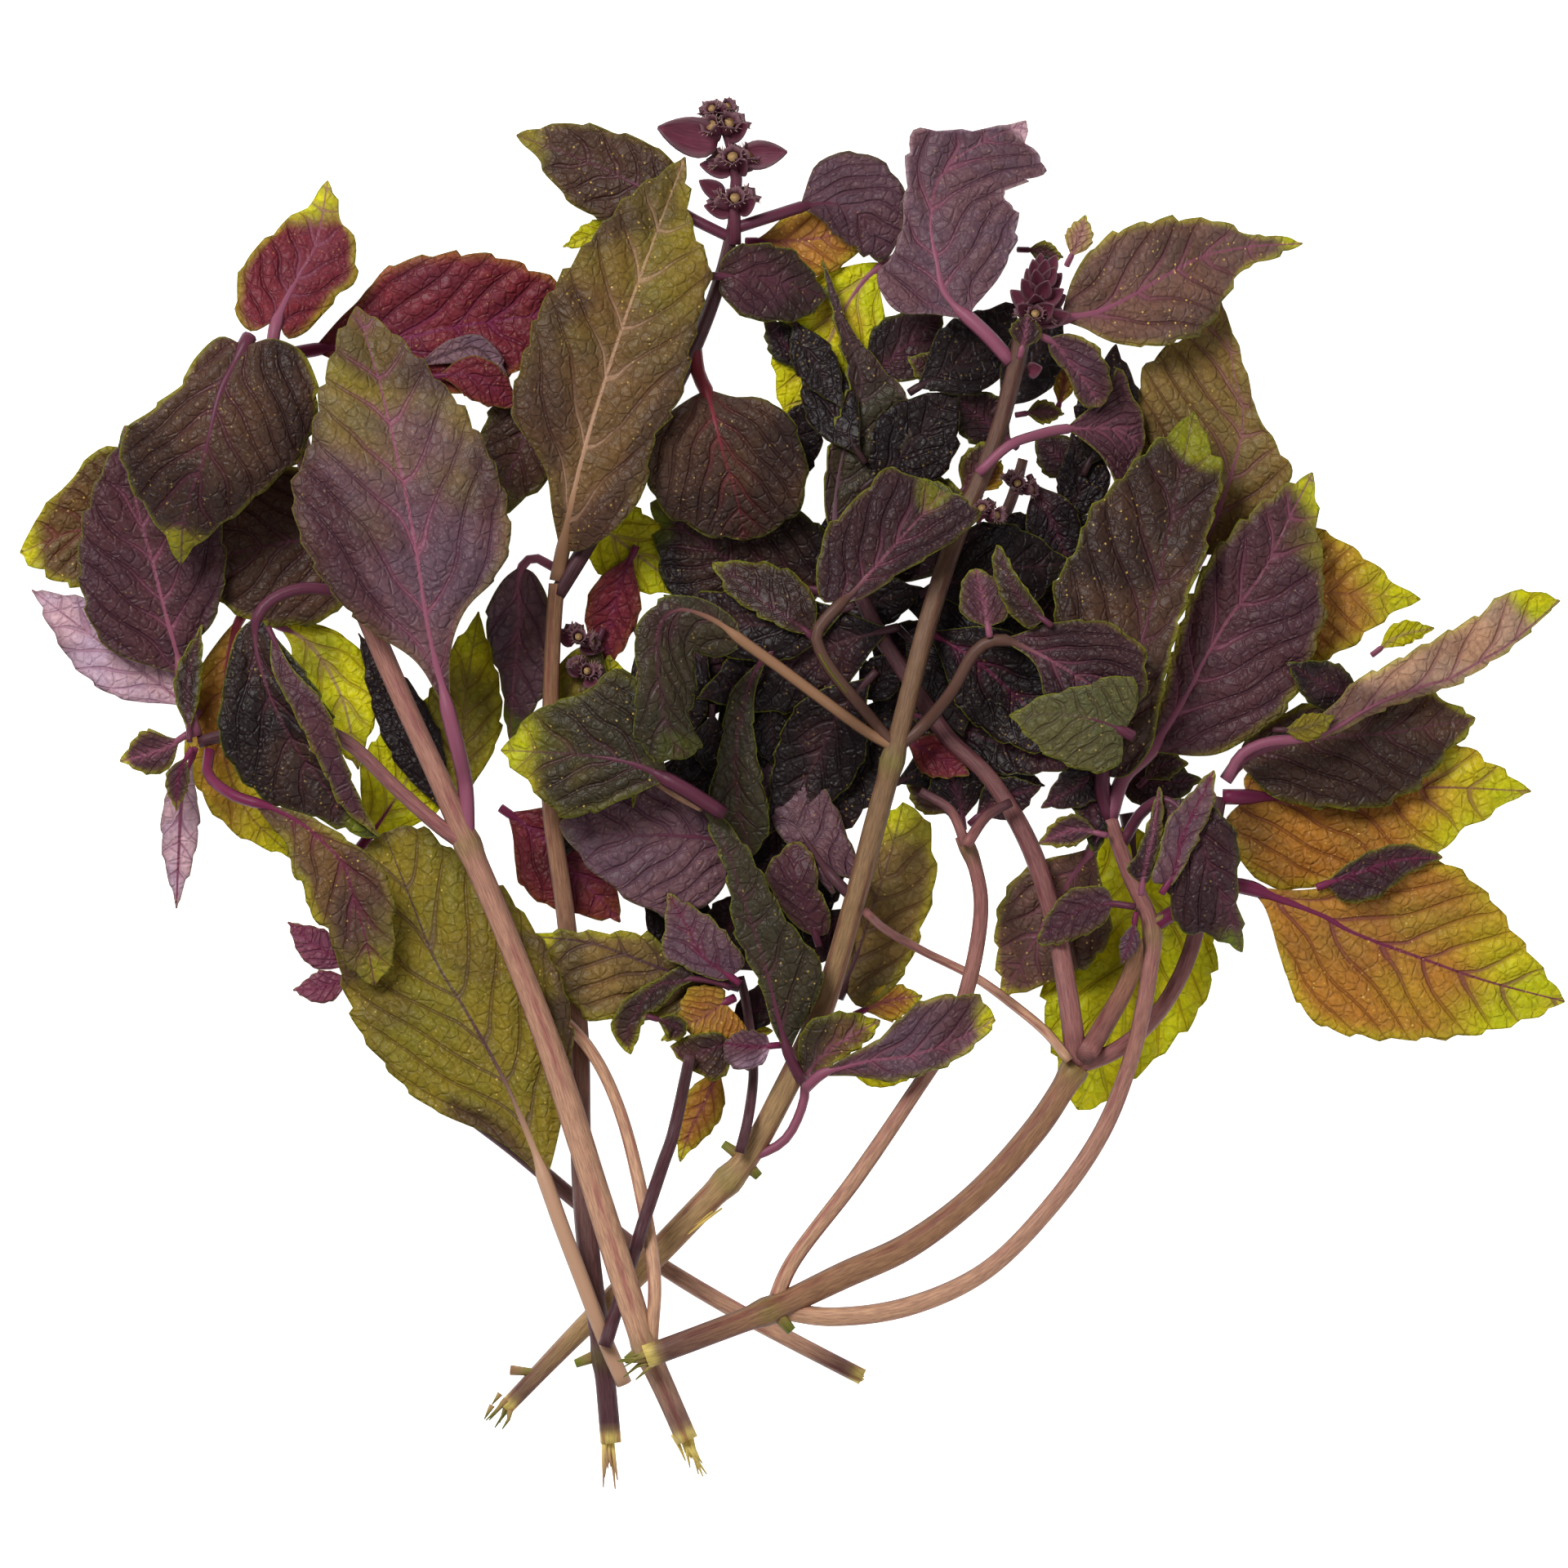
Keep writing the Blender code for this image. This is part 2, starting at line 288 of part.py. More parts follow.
         36.6)], 2.2, bend=(8, 4, -30, -50), arch=(2, 4, 3)),
    Leaf("upper_right_leaf", "amber", [(44, 85), (50, 86.3), (56, 87.5), (59.7, 89), (65, 92), (70, 95),
         (76, 98), (84, 99.8), (94.3, 100.6)], 6, [(50.5, 89.5), (52, 94), (54.8, 98.5), (59.5, 102.2),
         (66.5, 104.5), (73, 104.9), (79.3, 104.3), (85, 101.8), (89, 102)], [(54, 84.7), (57, 83), (61,
         81.6), (68, 81.3), (74, 83.2), (77.5, 86), (79.2, 89.4), (81, 92.5), (83.4, 96), (88.5, 97.8)],
         "centre_stem", bend=(8, -3, 8, -3), arch=(2, 6, 2), widest=0.36),
    Leaf("curled_top_leaf", "purple", [(40.5, 78.5), (36.5, 83), (33, 86.3), (30, 89), (28, 92), (27, 97),
         (26, 102), (26.1, 107), (27.2, 111.5), (29.8, 115), (34, 118), (43.5, 122.8)], 11, [(26.5, 87.3),
         (21, 87.3), (18.3, 89), (16.3, 92.3), (17, 95.5), (19.5, 99), (20.8, 105), (21.2, 112), (21.7,
         118), (23, 121), (30, 120.8), (37, 121.4)], [(33.6, 88.2), (35.6, 90.5), (38.4, 94), (40.6, 98),
         (41.8, 101.5), (41.5, 106.4), (39, 108.6), (43, 111.5), (46.5, 113), (46, 116), (43.6, 118.5)],
         "centre_stem", bend=(6, 4, 8, -3), arch=(2, 8, 7)),
    Leaf("drooping_left_leaf", "dark", [(-98.3, 82.9), (-101, 77.5), (-103.6, 72), (-106.4, 60.7), (-110,
         50.7), (-110.9, 41.5)], 2, [(-94, 82.6), (-88.3, 80), (-85.6, 74), (-85.7, 67), (-89.3, 60.3),
         (-94, 56.2), (-99.3, 51.6), (-104.3, 48), (-108, 45.3)], [(-103.5, 82.8), (-108, 79), (-110.9,
         74.3), (-116.4, 69.6), (-121.4, 65.7), (-121.4, 59.5), (-119, 54.5), (-116.2, 50.3), (-113.6,
         46.4)], bend=(-6, -14, -6, -14), arch=(4, 9, 1), widest=0.45),
    Leaf("amber_left_leaf", "amber", [(-106, 7.5), (-106, 3), (-101, -0.8), (-94, -3), (-88.5, -6), (-84.5,
         -9.5), (-81, -13.5), (-78.8, -21), (-77, -27), (-75.5, -35.3)], 15, [(-88, -4.3), (-84, -6.3),
         (-80.5, -8.5), (-77, -11), (-73.5, -14.5), (-72, -19), (-72, -25), (-72, -30.3), (-74, -33.3)],
         [(-94, -6.5), (-91.5, -9.5), (-90.5, -14.5), (-88.5, -17.5), (-87, -22.5), (-84.3, -25), (-82.3,
         -29), (-78.7, -33.2)], "left_shoot", bend=(14, 2, 14, 2), arch=(1, 6, 2)),
    Leaf("broad_left_leaf", "purple", [(-58.5, -9.5), (-59, 2), (-61.8, 14.3), (-65.2, 28), (-69, 51),
         (-74, 72.5), (-78.8, 88.3)], 24, [(-67.5, 23.5), (-76.7, 29.6), (-84, 37), (-89, 46.5), (-90.3,
         55), (-87.4, 62), (-85.5, 71), (-83.8, 77), (-82, 82.3)], [(-61.6, 25), (-58.8, 32.7), (-53,
         38.8), (-50.3, 46), (-52.2, 56.4), (-57.5, 67.2), (-63.7, 74.8), (-71.3, 82.7)], "left_stem",
         bend=(12, -3, 12, -3), arch=(2, 9, 3)),
    Leaf("tall_front_leaf", "olive", [(-42.5, 38.5), (-41.5, 43.5), (-39.9, 51), (-38.3, 58.7), (-35.3,
         69.5), (-31.9, 80.2), (-28.8, 89.4), (-24.6, 101), (-19, 116)], 5, [(-43, 51), (-44, 57.5),
         (-46.5, 62.5), (-49.9, 66.8), (-50.6, 72), (-48.3, 80.2), (-45.3, 88.6), (-39.9, 96.3), (-33,
         104.7), (-27.7, 110), (-23.1, 113.1)], [(-37, 44.5), (-31.5, 48), (-26.5, 54.5), (-24.6, 63.3),
         (-19.6, 71.8), (-17.3, 82.5), (-14.3, 94), (-15.4, 98), (-17.7, 103), (-18.6, 110)], "back_stem",
         bend=(12, 0, 12, 0), arch=(2, 10, 5)),
    Spike("top_flower_spike", "flower", (-9.8, 105), (-12, 127), (4.5, 6.0, 5.0, 3.5), "top_shoot"),
    Spike("right_flower_spike", "flower", (44.5, 87), (48, 100), (3.0, 4.0, 3.2), "centre_stem"),
]


def smooth_route(points, step):
    """Points every step along the smooth curve through the given ones, as an array of rows."""
    given = np.array(points, float)
    before, after = 2 * given[0] - given[1], 2 * given[-1] - given[-2]
    given = np.vstack([before, given, after])
    fine = []
    for a, b, c, d in zip(given, given[1:], given[2:], given[3:]):
        for t in np.arange(CURVE_PARTS) / CURVE_PARTS:
            square = (2 * a - 5 * b + 4 * c - d) * t**2
            cube = (3 * b - a - 3 * c + d) * t**3
            fine.append(0.5 * (2 * b + (c - a) * t + square + cube))
    fine.append(given[-2])
    return resampled(np.array(fine), step)


def resampled(route, step):
    """The route with points about step apart."""
    run = np.concatenate([[0], np.cumsum(np.linalg.norm(np.diff(route, axis=0), axis=1))])
    stops = np.linspace(0, run[-1], max(3, round(run[-1] / step) + 1))
    return np.column_stack([np.interp(stops, run, column) for column in route.T])


def directions(points):
    """Unit direction of travel at each point of a route."""
    along = np.gradient(points, axis=0)
    return along / np.linalg.norm(along, axis=1, keepdims=True)


def clear_of_stem(route, stem, half_width):
    """The route without its first stretch, which would lie inside the stem that it grows on."""
    axis = smooth_route(stem.route, GRID)
    reach = max(stem.radii) + half_width + JOINT_GAP
    gaps = np.linalg.norm(route[:, None] - axis[None], axis=2).min(axis=1)
    inside = np.flatnonzero(gaps[: len(gaps) // 2] < reach)
    return route[inside[-1] + 1:] if len(inside) else route


class Pile:
    """The height of what has been laid so far, on a square grid over the surface."""

    def __init__(self):
        cells = int(2 * GRID_HALF / GRID) + 2
        self.top = np.zeros((cells, cells))

    def corners(self, x, y):
        i = np.floor((x + GRID_HALF) / GRID).astype(int)
        j = np.floor((y + GRID_HALF) / GRID).astype(int)
        return [(i, j), (i + 1, j), (i, j + 1), (i + 1, j + 1)]

    def height(self, x, y, air):
        """The least height there for the underside of another piece."""
        top = np.max([self.top[corner] for corner in self.corners(x, y)], axis=0)
        return np.where(top > 0, top + CLEARANCE + air * np.minimum(1, top / FULL_AIR_AT), 0)

    def cover(self, x, y, z):
        for corner in self.corners(x, y):
            np.maximum.at(self.top, corner, z)


def settle(need, sag, rounds):
    """Lowers a springy strip or sheet from above until it hangs between the places that it must clear."""
    height = np.full(need.shape, need.max())
    for _ in range(rounds):
        for axis in range(need.ndim):
            ends = [(1, 1) if axis == other else (0, 0) for other in range(need.ndim)]
            padded = np.pad(height, ends, mode="edge")
            count = need.shape[axis]
            before = np.take(padded, range(count), axis)
            after = np.take(padded, range(2, count + 2), axis)
            height = (before + 2 * height + after) / 4
        height = np.maximum(need, height - sag)
    return height


def widest_need(need, cell):
    """For each lattice point, the greatest need in the cells that touch it."""
    out = np.empty([(size - 1) // cell + 1 for size in need.shape])
    for index in np.ndindex(out.shape):
        window = tuple(slice(max(0, (k - 1) * cell), (k + 1) * cell + 1) for k in index)
        out[index] = need[window].max()
    return out


def refined(lattice):
    """The lattice with BLADE_SAMPLES points for each of its cells, both ways."""
    for axis in (0, 1):
        last = lattice.shape[axis] - 1
        places = np.linspace(0, last, last * BLADE_SAMPLES + 1)
        low = np.minimum(places.astype(int), last - 1)
        share = (places - low)[:, None, None] if axis == 0 else (places - low)[None, :, None]
        lattice = np.take(lattice, low, axis) * (1 - share) + np.take(lattice, low + 1, axis) * share
    return lattice


def blade_outline(u, widest):
    """Half width of a blade, as a share of its widest, at u from 0 at its foot to 1 at its tip."""
    foot_fullness = TIP_FULLNESS * widest / (1 - widest)
    peak = widest**foot_fullness * (1 - widest) ** TIP_FULLNESS
    return u**foot_fullness * (1 - u) ** TIP_FULLNESS / peak


def arch_height(arch, share):
    """Height of the curve through the arch's start, middle and end."""
    start, middle, end = arch
    crown = 2 * middle - (start + end) / 2
    return start * (1 - share) ** 2 + 2 * crown * share * (1 - share) + end * share**2


def bent_half(half_width, inner, outer):
    """Offset from the midrib and rise of the middle and the edge of half a blade, which is flat on a stalk."""
    strip, fold = half_width / 2, math.radians(min(1, half_width / FULL_BEND_AT))
    middle = (strip * math.cos(fold * inner), strip * math.sin(fold * inner))
    out, up = strip * math.cos(fold * outer), strip * math.sin(fold * outer)
    return middle, (middle[0] + out, middle[1] + up)


def drawn_side(side, foot, tip):
    """The whole margin of a side that is given by points of it. One given by its half width stays a number."""
    return smooth_route([tuple(foot), *side, tuple(tip)], ROUTE_STEP) if isinstance(side, list) else side


def half_blade(side, centre, across, u, outline, least):
    """Half width at each row on one side of a leaf, and the direction that it lies in."""
    if isinstance(side, (int, float)):
        return np.maximum(side * outline, least), across
    stops = u * (len(side) - 1)
    margin = np.column_stack([np.interp(stops, np.arange(len(side)), line) for line in side.T])
    spare = least * (1 - np.sin(np.pi * u))
    reach = margin - centre + across * spare[:, None]
    reach = np.where(u[:, None] > 0, reach, across * least[:, None])
    width = np.linalg.norm(reach, axis=1)
    return width, reach / width[:, None]


def leaf_lattice(leaf, stems):
    """Rows of points across the leaf, from its stalk's foot to its tip, and how far along each row is."""
    whole = smooth_route(leaf.midrib, ROUTE_STEP)
    route = clear_of_stem(whole, stems[leaf.grows_on], STALK_HALF_WIDTH) if leaf.grows_on else whole
    length = ROUTE_STEP * (len(route) - 1)
    stalk = max(2.0, leaf.stalk - ROUTE_STEP * (len(whole) - len(route)))
    stalk_rows = max(1, round(stalk / STALK_ROW))
    blade_rows = max(4, round((length - stalk) / BLADE_ROW))
    blade_stops = np.linspace(stalk, length, blade_rows + 1)
    stops = np.concatenate([np.linspace(0, stalk, stalk_rows + 1)[:-1], blade_stops])
    places = np.minimum(np.round(stops / ROUTE_STEP).astype(int), len(route) - 1)
    centre, headings = route[places], directions(route)[places]
    to_left = np.column_stack([-headings[:, 1], headings[:, 0]])
    u = np.clip((stops - stalk) / (length - stalk), 0, 1)
    least = STALK_HALF_WIDTH + (TIP_HALF_WIDTH - STALK_HALF_WIDTH) * u
    outline = blade_outline(u, leaf.widest)
    rise = arch_height(leaf.arch, stops / length)
    rows = np.empty((len(stops), 5, 3))
    rows[:, 2] = np.column_stack([centre, rise])
    ends = centre[stalk_rows], route[-1]
    sides = ((1, leaf.left, leaf.bend[:2], (3, 4)), (-1, leaf.right, leaf.bend[2:], (1, 0)))
    for sign, side, bend, columns in sides:
        width, way = half_blade(drawn_side(side, *ends), centre, sign * to_left, u, outline, least)
        for row, size in enumerate(width):
            for column, (out, up) in zip(columns, bent_half(size, *bend)):
                rows[row, column] = (*(centre[row] + way[row] * out), rise[row] + up)
    return rows, stops


def stem_height(path, place):
    """Height of a stem's axis at its nearest point to a place."""
    return path[np.linalg.norm(path[:, :2] - place[:2], axis=1).argmin(), 2]


def hung(lying, foot_height, stops, droop):
    """Heights of a piece that falls from its foot until it meets where it would lie."""
    falling = foot_height - droop * stops
    return (lying + falling + np.sqrt((lying - falling) ** 2 + DROOP_BLEND**2)) / 2


def lay_leaf(leaf, lattice, stops, guide, pile):
    fine = refined(lattice)
    need = pile.height(fine[..., 0], fine[..., 1], leaf.air) + BLADE_THICKNESS / 2 - fine[..., 2]
    lying = settle(widest_need(need, BLADE_SAMPLES), BLADE_SAG, BLADE_ROUNDS)
    if leaf.grows_on in guide:
        foot_height = stem_height(guide[leaf.grows_on], lattice[0, 2]) - leaf.arch[0]
        lying = hung(lying, foot_height, stops[:, None], LEAF_DROOP)
    lattice[..., 2] += lying


def join(heights, stops, wanted, reach):
    """The heights of a stalk or a shoot with its foot brought to the height of its stem."""
    left = np.maximum(0, 1 - stops / reach)
    return heights + (wanted - heights[0]) * left * left * (3 - 2 * left)


def join_stalk(leaf, lattice, stops, stem_path):
    reach = min(STALK_FOOT, leaf.stalk + BLADE_ROW)
    axis = join(lattice[:, 2, 2], stops, stem_height(stem_path, lattice[0, 2]), reach)
    lattice[..., 2] += (axis - lattice[:, 2, 2])[:, None]


def join_shoot(path, stem_path):
    stops = TUBE_STEP * np.arange(len(path))
    path[:, 2] = join(path[:, 2], stops, stem_height(stem_path, path[0]), SHOOT_FOOT)


def cover_with_leaf(lattice, pile):
    fine = refined(lattice)
    pile.cover(fine[..., 0], fine[..., 1], fine[..., 2] + BLADE_THICKNESS / 2)


def tube_radii(stem, count):
    return np.linspace(*stem.radii, count)


def across_tube(path, radii):
    """Points across a tube at each step of its route: where they are and half the tube's depth there."""
    headings = directions(path[:, :2])
    to_left = np.column_stack([-headings[:, 1], headings[:, 0]])
    offset = np.linspace(-1, 1, TUBE_STRIPS)[None, :] * radii[:, None]
    places = path[:, None, :2] + to_left[:, None, :] * offset[..., None]
    return places[..., 0], places[..., 1], np.sqrt(np.maximum(0, radii[:, None] ** 2 - offset**2))


def lay_stem(stem, stems, guide, pile):
    """The stem's route with its heights."""
    route = smooth_route(stem.route, ROUTE_STEP)
    if stem.grows_on:
        route = clear_of_stem(route, stems[stem.grows_on], max(stem.radii))
    plan = resampled(route, TUBE_STEP)
    steps = np.arange(len(plan))
    places = np.linspace(0, len(plan) - 1, (len(plan) - 1) * TUBE_SAMPLES + 1)
    fine = np.column_stack([np.interp(places, steps, column) for column in plan.T])
    x, y, half_depth = across_tube(fine, tube_radii(stem, len(fine)))
    need = pile.height(x, y, stem.air) + half_depth
    need = widest_need(need.max(axis=1), TUBE_SAMPLES)
    need[0] = max(need[0], stem.held[0])
    need[-1] = max(need[-1], stem.held[1])
    lying = settle(need, STEM_SAG, STEM_ROUNDS)
    if stem.grows_on in guide:
        lying = hung(lying, stem_height(guide[stem.grows_on], plan[0]), TUBE_STEP * steps, SHOOT_DROOP)
    return np.column_stack([plan, lying])


def cover_with_stem(stem, path, pile):
    fine = resampled(path, GRID / 2)
    x, y, half_depth = across_tube(fine, tube_radii(stem, len(fine)))
    pile.cover(x, y, fine[:, None, 2] + half_depth)


def in_model(place):
    """A place in the lists' millimetres as a point of the model in metres."""
    return Vector((place[0] - BUNCH_MIDDLE[0], place[1] - BUNCH_MIDDLE[1], place[2])) * MM


def material(colour):
    name = "basil_" + colour
    if name in bpy.data.materials:
        return bpy.data.materials[name]
    made = bpy.data.materials.new(name)
    made.use_nodes = True
    rgb, roughness = COLOURS[colour]
    shader = made.node_tree.nodes["Principled BSDF"]
    shader.inputs["Base Color"].default_value = (*rgb, 1)
    shader.inputs["Roughness"].default_value = roughness
    shader.inputs["Metallic"].default_value = 0
    return made


def add_object(piece, data, collection):
    data.materials.append(material(piece.colour))
    made = bpy.data.objects.new(piece.name, data)
    collection.objects.link(made)
    return made


def build_leaf(leaf, lattice, collection):
    """A bent sheet with its thickness."""
    rows, columns = lattice.shape[0] - 1, lattice.shape[1] - 1
    blade = bmesh.new()
    bmesh.ops.create_grid(blade, x_segments=rows, y_segments=columns, size=0.5)
    for vertex in blade.verts:
        row = round((vertex.co.x + 0.5) * rows)
        column = round((vertex.co.y + 0.5) * columns)
        vertex.co = in_model(lattice[row, column])
    mesh = bpy.data.meshes.new(leaf.name)
    blade.to_mesh(mesh)
    blade.free()
    mesh.shade_smooth()
    thickness = add_object(leaf, mesh, collection).modifiers.new("Blade thickness", "SOLIDIFY")
    thickness.thickness = BLADE_THICKNESS * MM
    thickness.offset = 0


def build_stem(stem, path, collection):
    """A tube that tapers along its route."""
    curve = bpy.data.curves.new(stem.name, "CURVE")
    curve.dimensions = "3D"
    curve.bevel_depth = stem.radii[0] * MM
    curve.bevel_resolution = 2
    curve.use_fill_caps = True
    spline = curve.splines.new("POLY")
    spline.points.add(len(path) - 1)
    for point, place, radius in zip(spline.points, path, tube_radii(stem, len(path))):
        point.co = (*in_model(place), 1)
        point.radius = radius / stem.radii[0]
    add_object(stem, curve, collection)


def build_spike(spike, height, collection):
    """A turned body: its axis is a short stalk, and each ring of flowers is a round swelling."""
    foot = in_model((*spike.foot, height))
    along = in_model((*spike.tip, height + SPIKE_RISE)) - foot
    pitch = along.length / MM / len(spike.whorls)
    profile = [(0.0, along.length / MM)]
    for number, radius in reversed(list(enumerate(spike.whorls))):
        for angle in SPIKE_ANGLES:
            swell = (radius - SPIKE_CORE) * math.cos(math.radians(angle))
            share = SPIKE_RING / 2 * math.sin(math.radians(angle)) + 0.5
            profile.append((SPIKE_CORE + swell, pitch * (number + share)))
    profile += [(SPIKE_CORE, 0.0), (0.0, 0.0)]
    mesh = bpy.data.meshes.new(spike.name)
    edges = [(k, k + 1) for k in range(len(profile) - 1)]
    mesh.from_pydata([(x * MM, 0, z * MM) for x, z in profile], edges, [])
    made = add_object(spike, mesh, collection)
    turned = made.modifiers.new("Turned", "SCREW")
    turned.steps = turned.render_steps = SPIKE_SIDES
    turned.use_merge_vertices = True
    turned.merge_threshold = 0.00001
    made.location = foot
    made.rotation_euler = along.to_track_quat("Z", "Y").to_euler()


def clear_scene():
    for old in list(bpy.data.objects):
        bpy.data.objects.remove(old)


def lay_bunch(guide):
    """The route of each stem and the lattice of each leaf, by name, laid from the surface upwards.

    The guide holds the stems' routes from a laying before this one. It gives each piece its foot's height.
    """
    stems = {piece.name: piece for piece in PIECES if isinstance(piece, Stem)}
    pile, paths, lattices, stops = Pile(), {}, {}, {}
    laid = []
    for piece in PIECES:
        if isinstance(piece, Spike):
            continue
        if isinstance(piece, Stem):
            paths[piece.name] = lay_stem(piece, stems, guide, pile)
        else:
            lattices[piece.name], stops[piece.name] = leaf_lattice(piece, stems)
            lay_leaf(piece, lattices[piece.name], stops[piece.name], guide, pile)
        laid.append(piece)
        meeting = [other for other in laid if other.grows_on == piece.name]
        if piece.grows_on in paths:
            meeting.append(piece)
        for other in meeting:
            stem_path = paths[other.grows_on]
            if isinstance(other, Stem):
                join_shoot(paths[other.name], stem_path)
                cover_with_stem(other, paths[other.name], pile)
            else:
                join_stalk(other, lattices[other.name], stops[other.name], stem_path)
                cover_with_leaf(lattices[other.name], pile)
        if isinstance(piece, Stem):
            cover_with_stem(piece, paths[piece.name], pile)
        else:
            cover_with_leaf(lattices[piece.name], pile)
    return paths, lattices


def build_bunch():
    clear_scene()
    collection = bpy.data.collections.new("purple_basil_bunch")
    bpy.context.scene.collection.children.link(collection)
    guide, _ = lay_bunch({})
    paths, lattices = lay_bunch(guide)
    for piece in PIECES:
        if isinstance(piece, Stem):
            build_stem(piece, paths[piece.name], collection)
        elif isinstance(piece, Leaf):
            build_leaf(piece, lattices[piece.name], collection)
        else:
            build_spike(piece, paths[piece.grows_on][-1, 2], collection)


build_bunch()
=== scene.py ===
"""Purple basil bunch: cut sprigs of purple basil, lying together on a bright table, seen from above.

Lengths in the lists are in millimetres: x to the right, y to the top of the bunch, z up from the table.
"""

import math
from dataclasses import dataclass

import bpy
import numpy as np
from mathutils import Matrix, Vector


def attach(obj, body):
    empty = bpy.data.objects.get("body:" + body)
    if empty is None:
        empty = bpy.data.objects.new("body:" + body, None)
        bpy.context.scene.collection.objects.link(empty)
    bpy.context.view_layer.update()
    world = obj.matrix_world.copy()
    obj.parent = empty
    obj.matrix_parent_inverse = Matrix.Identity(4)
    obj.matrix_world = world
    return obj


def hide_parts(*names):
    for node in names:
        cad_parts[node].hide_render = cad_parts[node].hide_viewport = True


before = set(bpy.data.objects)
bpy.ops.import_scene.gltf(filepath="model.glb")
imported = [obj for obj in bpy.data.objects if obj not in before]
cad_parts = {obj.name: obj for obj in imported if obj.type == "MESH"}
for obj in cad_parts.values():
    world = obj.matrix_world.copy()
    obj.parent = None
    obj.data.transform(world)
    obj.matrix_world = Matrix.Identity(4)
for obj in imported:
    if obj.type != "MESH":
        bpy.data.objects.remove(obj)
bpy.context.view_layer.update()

MM = 0.001
BUNCH_MIDDLE = np.array([-0.3, 3.9, 0.0])  # of the lists' x and y, where the model has its origin

# Growth habit, shared with the solid model
STALK_HALF_WIDTH = 0.9
TIP_HALF_WIDTH = 0.5
FULL_BEND_AT = 5.0
TIP_FULLNESS = 0.85
JOINT_GAP = 0.35
ROUTE_STEP = 0.5
CURVE_PARTS = 20
BLADE_ROW = 7.5
STALK_ROW = 8.0

# Fineness of the finished pieces
BLADE_THICKNESS = 0.34
FINE_ROW = 0.9
FINE_COLUMN = 1.1
STALK_FINE_ROW = 2.0
RIB_SIDES = 8
STEM_SIDES = 20
STEM_STEP = 1.3

# Torn ends of stems: how far up each effect reaches
TORN_END = 3.5
PURPLE_END = 26
TAPERED_END = 45

# Light passing through
GRID = 1.0
GRID_HALF = 160
SHADOW_BLUR = 2  # cells
SMALL_AIR = 0.9  # between a small leaf and what it lies on


def tone(red, green, blue):
    """A paint colour given as it looks, made linear."""
    look = np.array([red, green, blue])
    return np.where(look <= 0.04045, look / 12.92, ((look + 0.055) / 1.055) ** 2.4)


TONES = {
    "ink": tone(0.12, 0.08, 0.085),
    "cocoa": tone(0.22, 0.15, 0.13),
    "aubergine": tone(0.23, 0.14, 0.155),
    "plum": tone(0.31, 0.19, 0.215),
    "mauve": tone(0.40, 0.285, 0.32),
    "lilac": tone(0.80, 0.66, 0.72),
    "brown": tone(0.31, 0.215, 0.165),
    "umber": tone(0.43, 0.32, 0.19),
    "khaki": tone(0.51, 0.41, 0.22),
    "clay": tone(0.47, 0.345, 0.30),
    "drab": tone(0.34, 0.28, 0.17),
    "olive": tone(0.52, 0.46, 0.14),
    "moss": tone(0.23, 0.20, 0.14),
    "sage": tone(0.35, 0.34, 0.20),
    "green": tone(0.42, 0.46, 0.12),
    "lime": tone(0.80, 0.79, 0.05),
    "amber": tone(0.70, 0.48, 0.19),
    "rust": tone(0.60, 0.35, 0.19),
    "crimson": tone(0.46, 0.16, 0.20),
    "wine": tone(0.36, 0.17, 0.24),
    "rose": tone(0.55, 0.31, 0.39),
    "magenta": tone(0.45, 0.15, 0.28),
    "tan": tone(0.74, 0.58, 0.47),
    "straw": tone(0.84, 0.76, 0.42),
    "gold": tone(0.96, 0.80, 0.40),
    "dusk": tone(0.56, 0.37, 0.36),
    "bark": tone(0.36, 0.25, 0.21),
    "oat": tone(0.66, 0.54, 0.37),
    "fawn": tone(0.58, 0.43, 0.32),
}


@dataclass
class Stem:
    name: str
    slot: str
    route: list
    radii: tuple  # at the cut end and at the far end
    grows_on: str = ""
    tones: tuple = ("tan", "mauve")  # at the cut end and at the far end
    nodes: tuple = ()  # places along the stem, as shares of it, where leaves grew
    end: float = 1.0  # girth of a torn end, as a share of the stem's


@dataclass
class Look:
    # The shade and glow colours are painted light: shade where other pieces lie beneath and block the table's
    # light, glow where that light would come through
    shade: str  # where other pieces lie beneath
    glow: str  # where the light of the table comes through
    edge: str  # towards the tip and along the margin
    vein: str
    greening: float = 0.4  # how far the edge's colour reaches in
    veins: float = 0.6
    rim: float = 0.6
    under: str = "mauve"
    stalk: str = ""


@dataclass
class Leaf:
    name: str
    slot: str
    midrib: list
    stalk: float
    left: float | list  # half width, or points of the margin from the blade's foot to its tip
    right: float | list
    look: Look
    grows_on: str = ""
    bend: tuple = (10, -4, 10, -4)
    arch: tuple = (0.0, 3.0, 0.0)
    widest: float = 0.42
    roundness: float = 0.3  # of the blade's foot
    roll: tuple = ()  # the finished blade's own bend, where it isn't the solid's


# Looks that several leaves share
# DEEP_SHADE is painted shade: near black in its shade and glow colours alike, for leaves in the dark middle
# of the pile
DEEP_SHADE = Look("ink", "ink", "aubergine", "aubergine", 0.1, 0.5, 0.2)
BROWN_LIME_RIM = Look("cocoa", "brown", "lime", "wine", 0.12, 0.6, 0.8)
DARK_GREEN_RIM = Look("ink", "aubergine", "green", "wine", 0.1, 0.5, 0.5)
DARK_PLUM_RIM = Look("ink", "aubergine", "plum", "wine", 0.1, 0.6, 0.4)
PURPLE_LIME_RIM = Look("aubergine", "plum", "lime", "rose", 0.1, 0.8, 0.6)
RUSTY_AMBER = Look("rust", "amber", "lime", "magenta", 0.3, 0.7)
DARK_PLAIN = Look("ink", "aubergine", "aubergine", "plum", 0.1)
LIME = Look("olive", "lime", "lime", "rose", 0.5, 0.5)
PINK = Look("crimson", "rose", "rose", "magenta", 0.1)
MOSS_GREEN = Look("moss", "moss", "green", "wine", 0.12)
SAGE_LIME_RIM = Look("sage", "sage", "lime", "wine", 0.1, 0.3, 0.9)
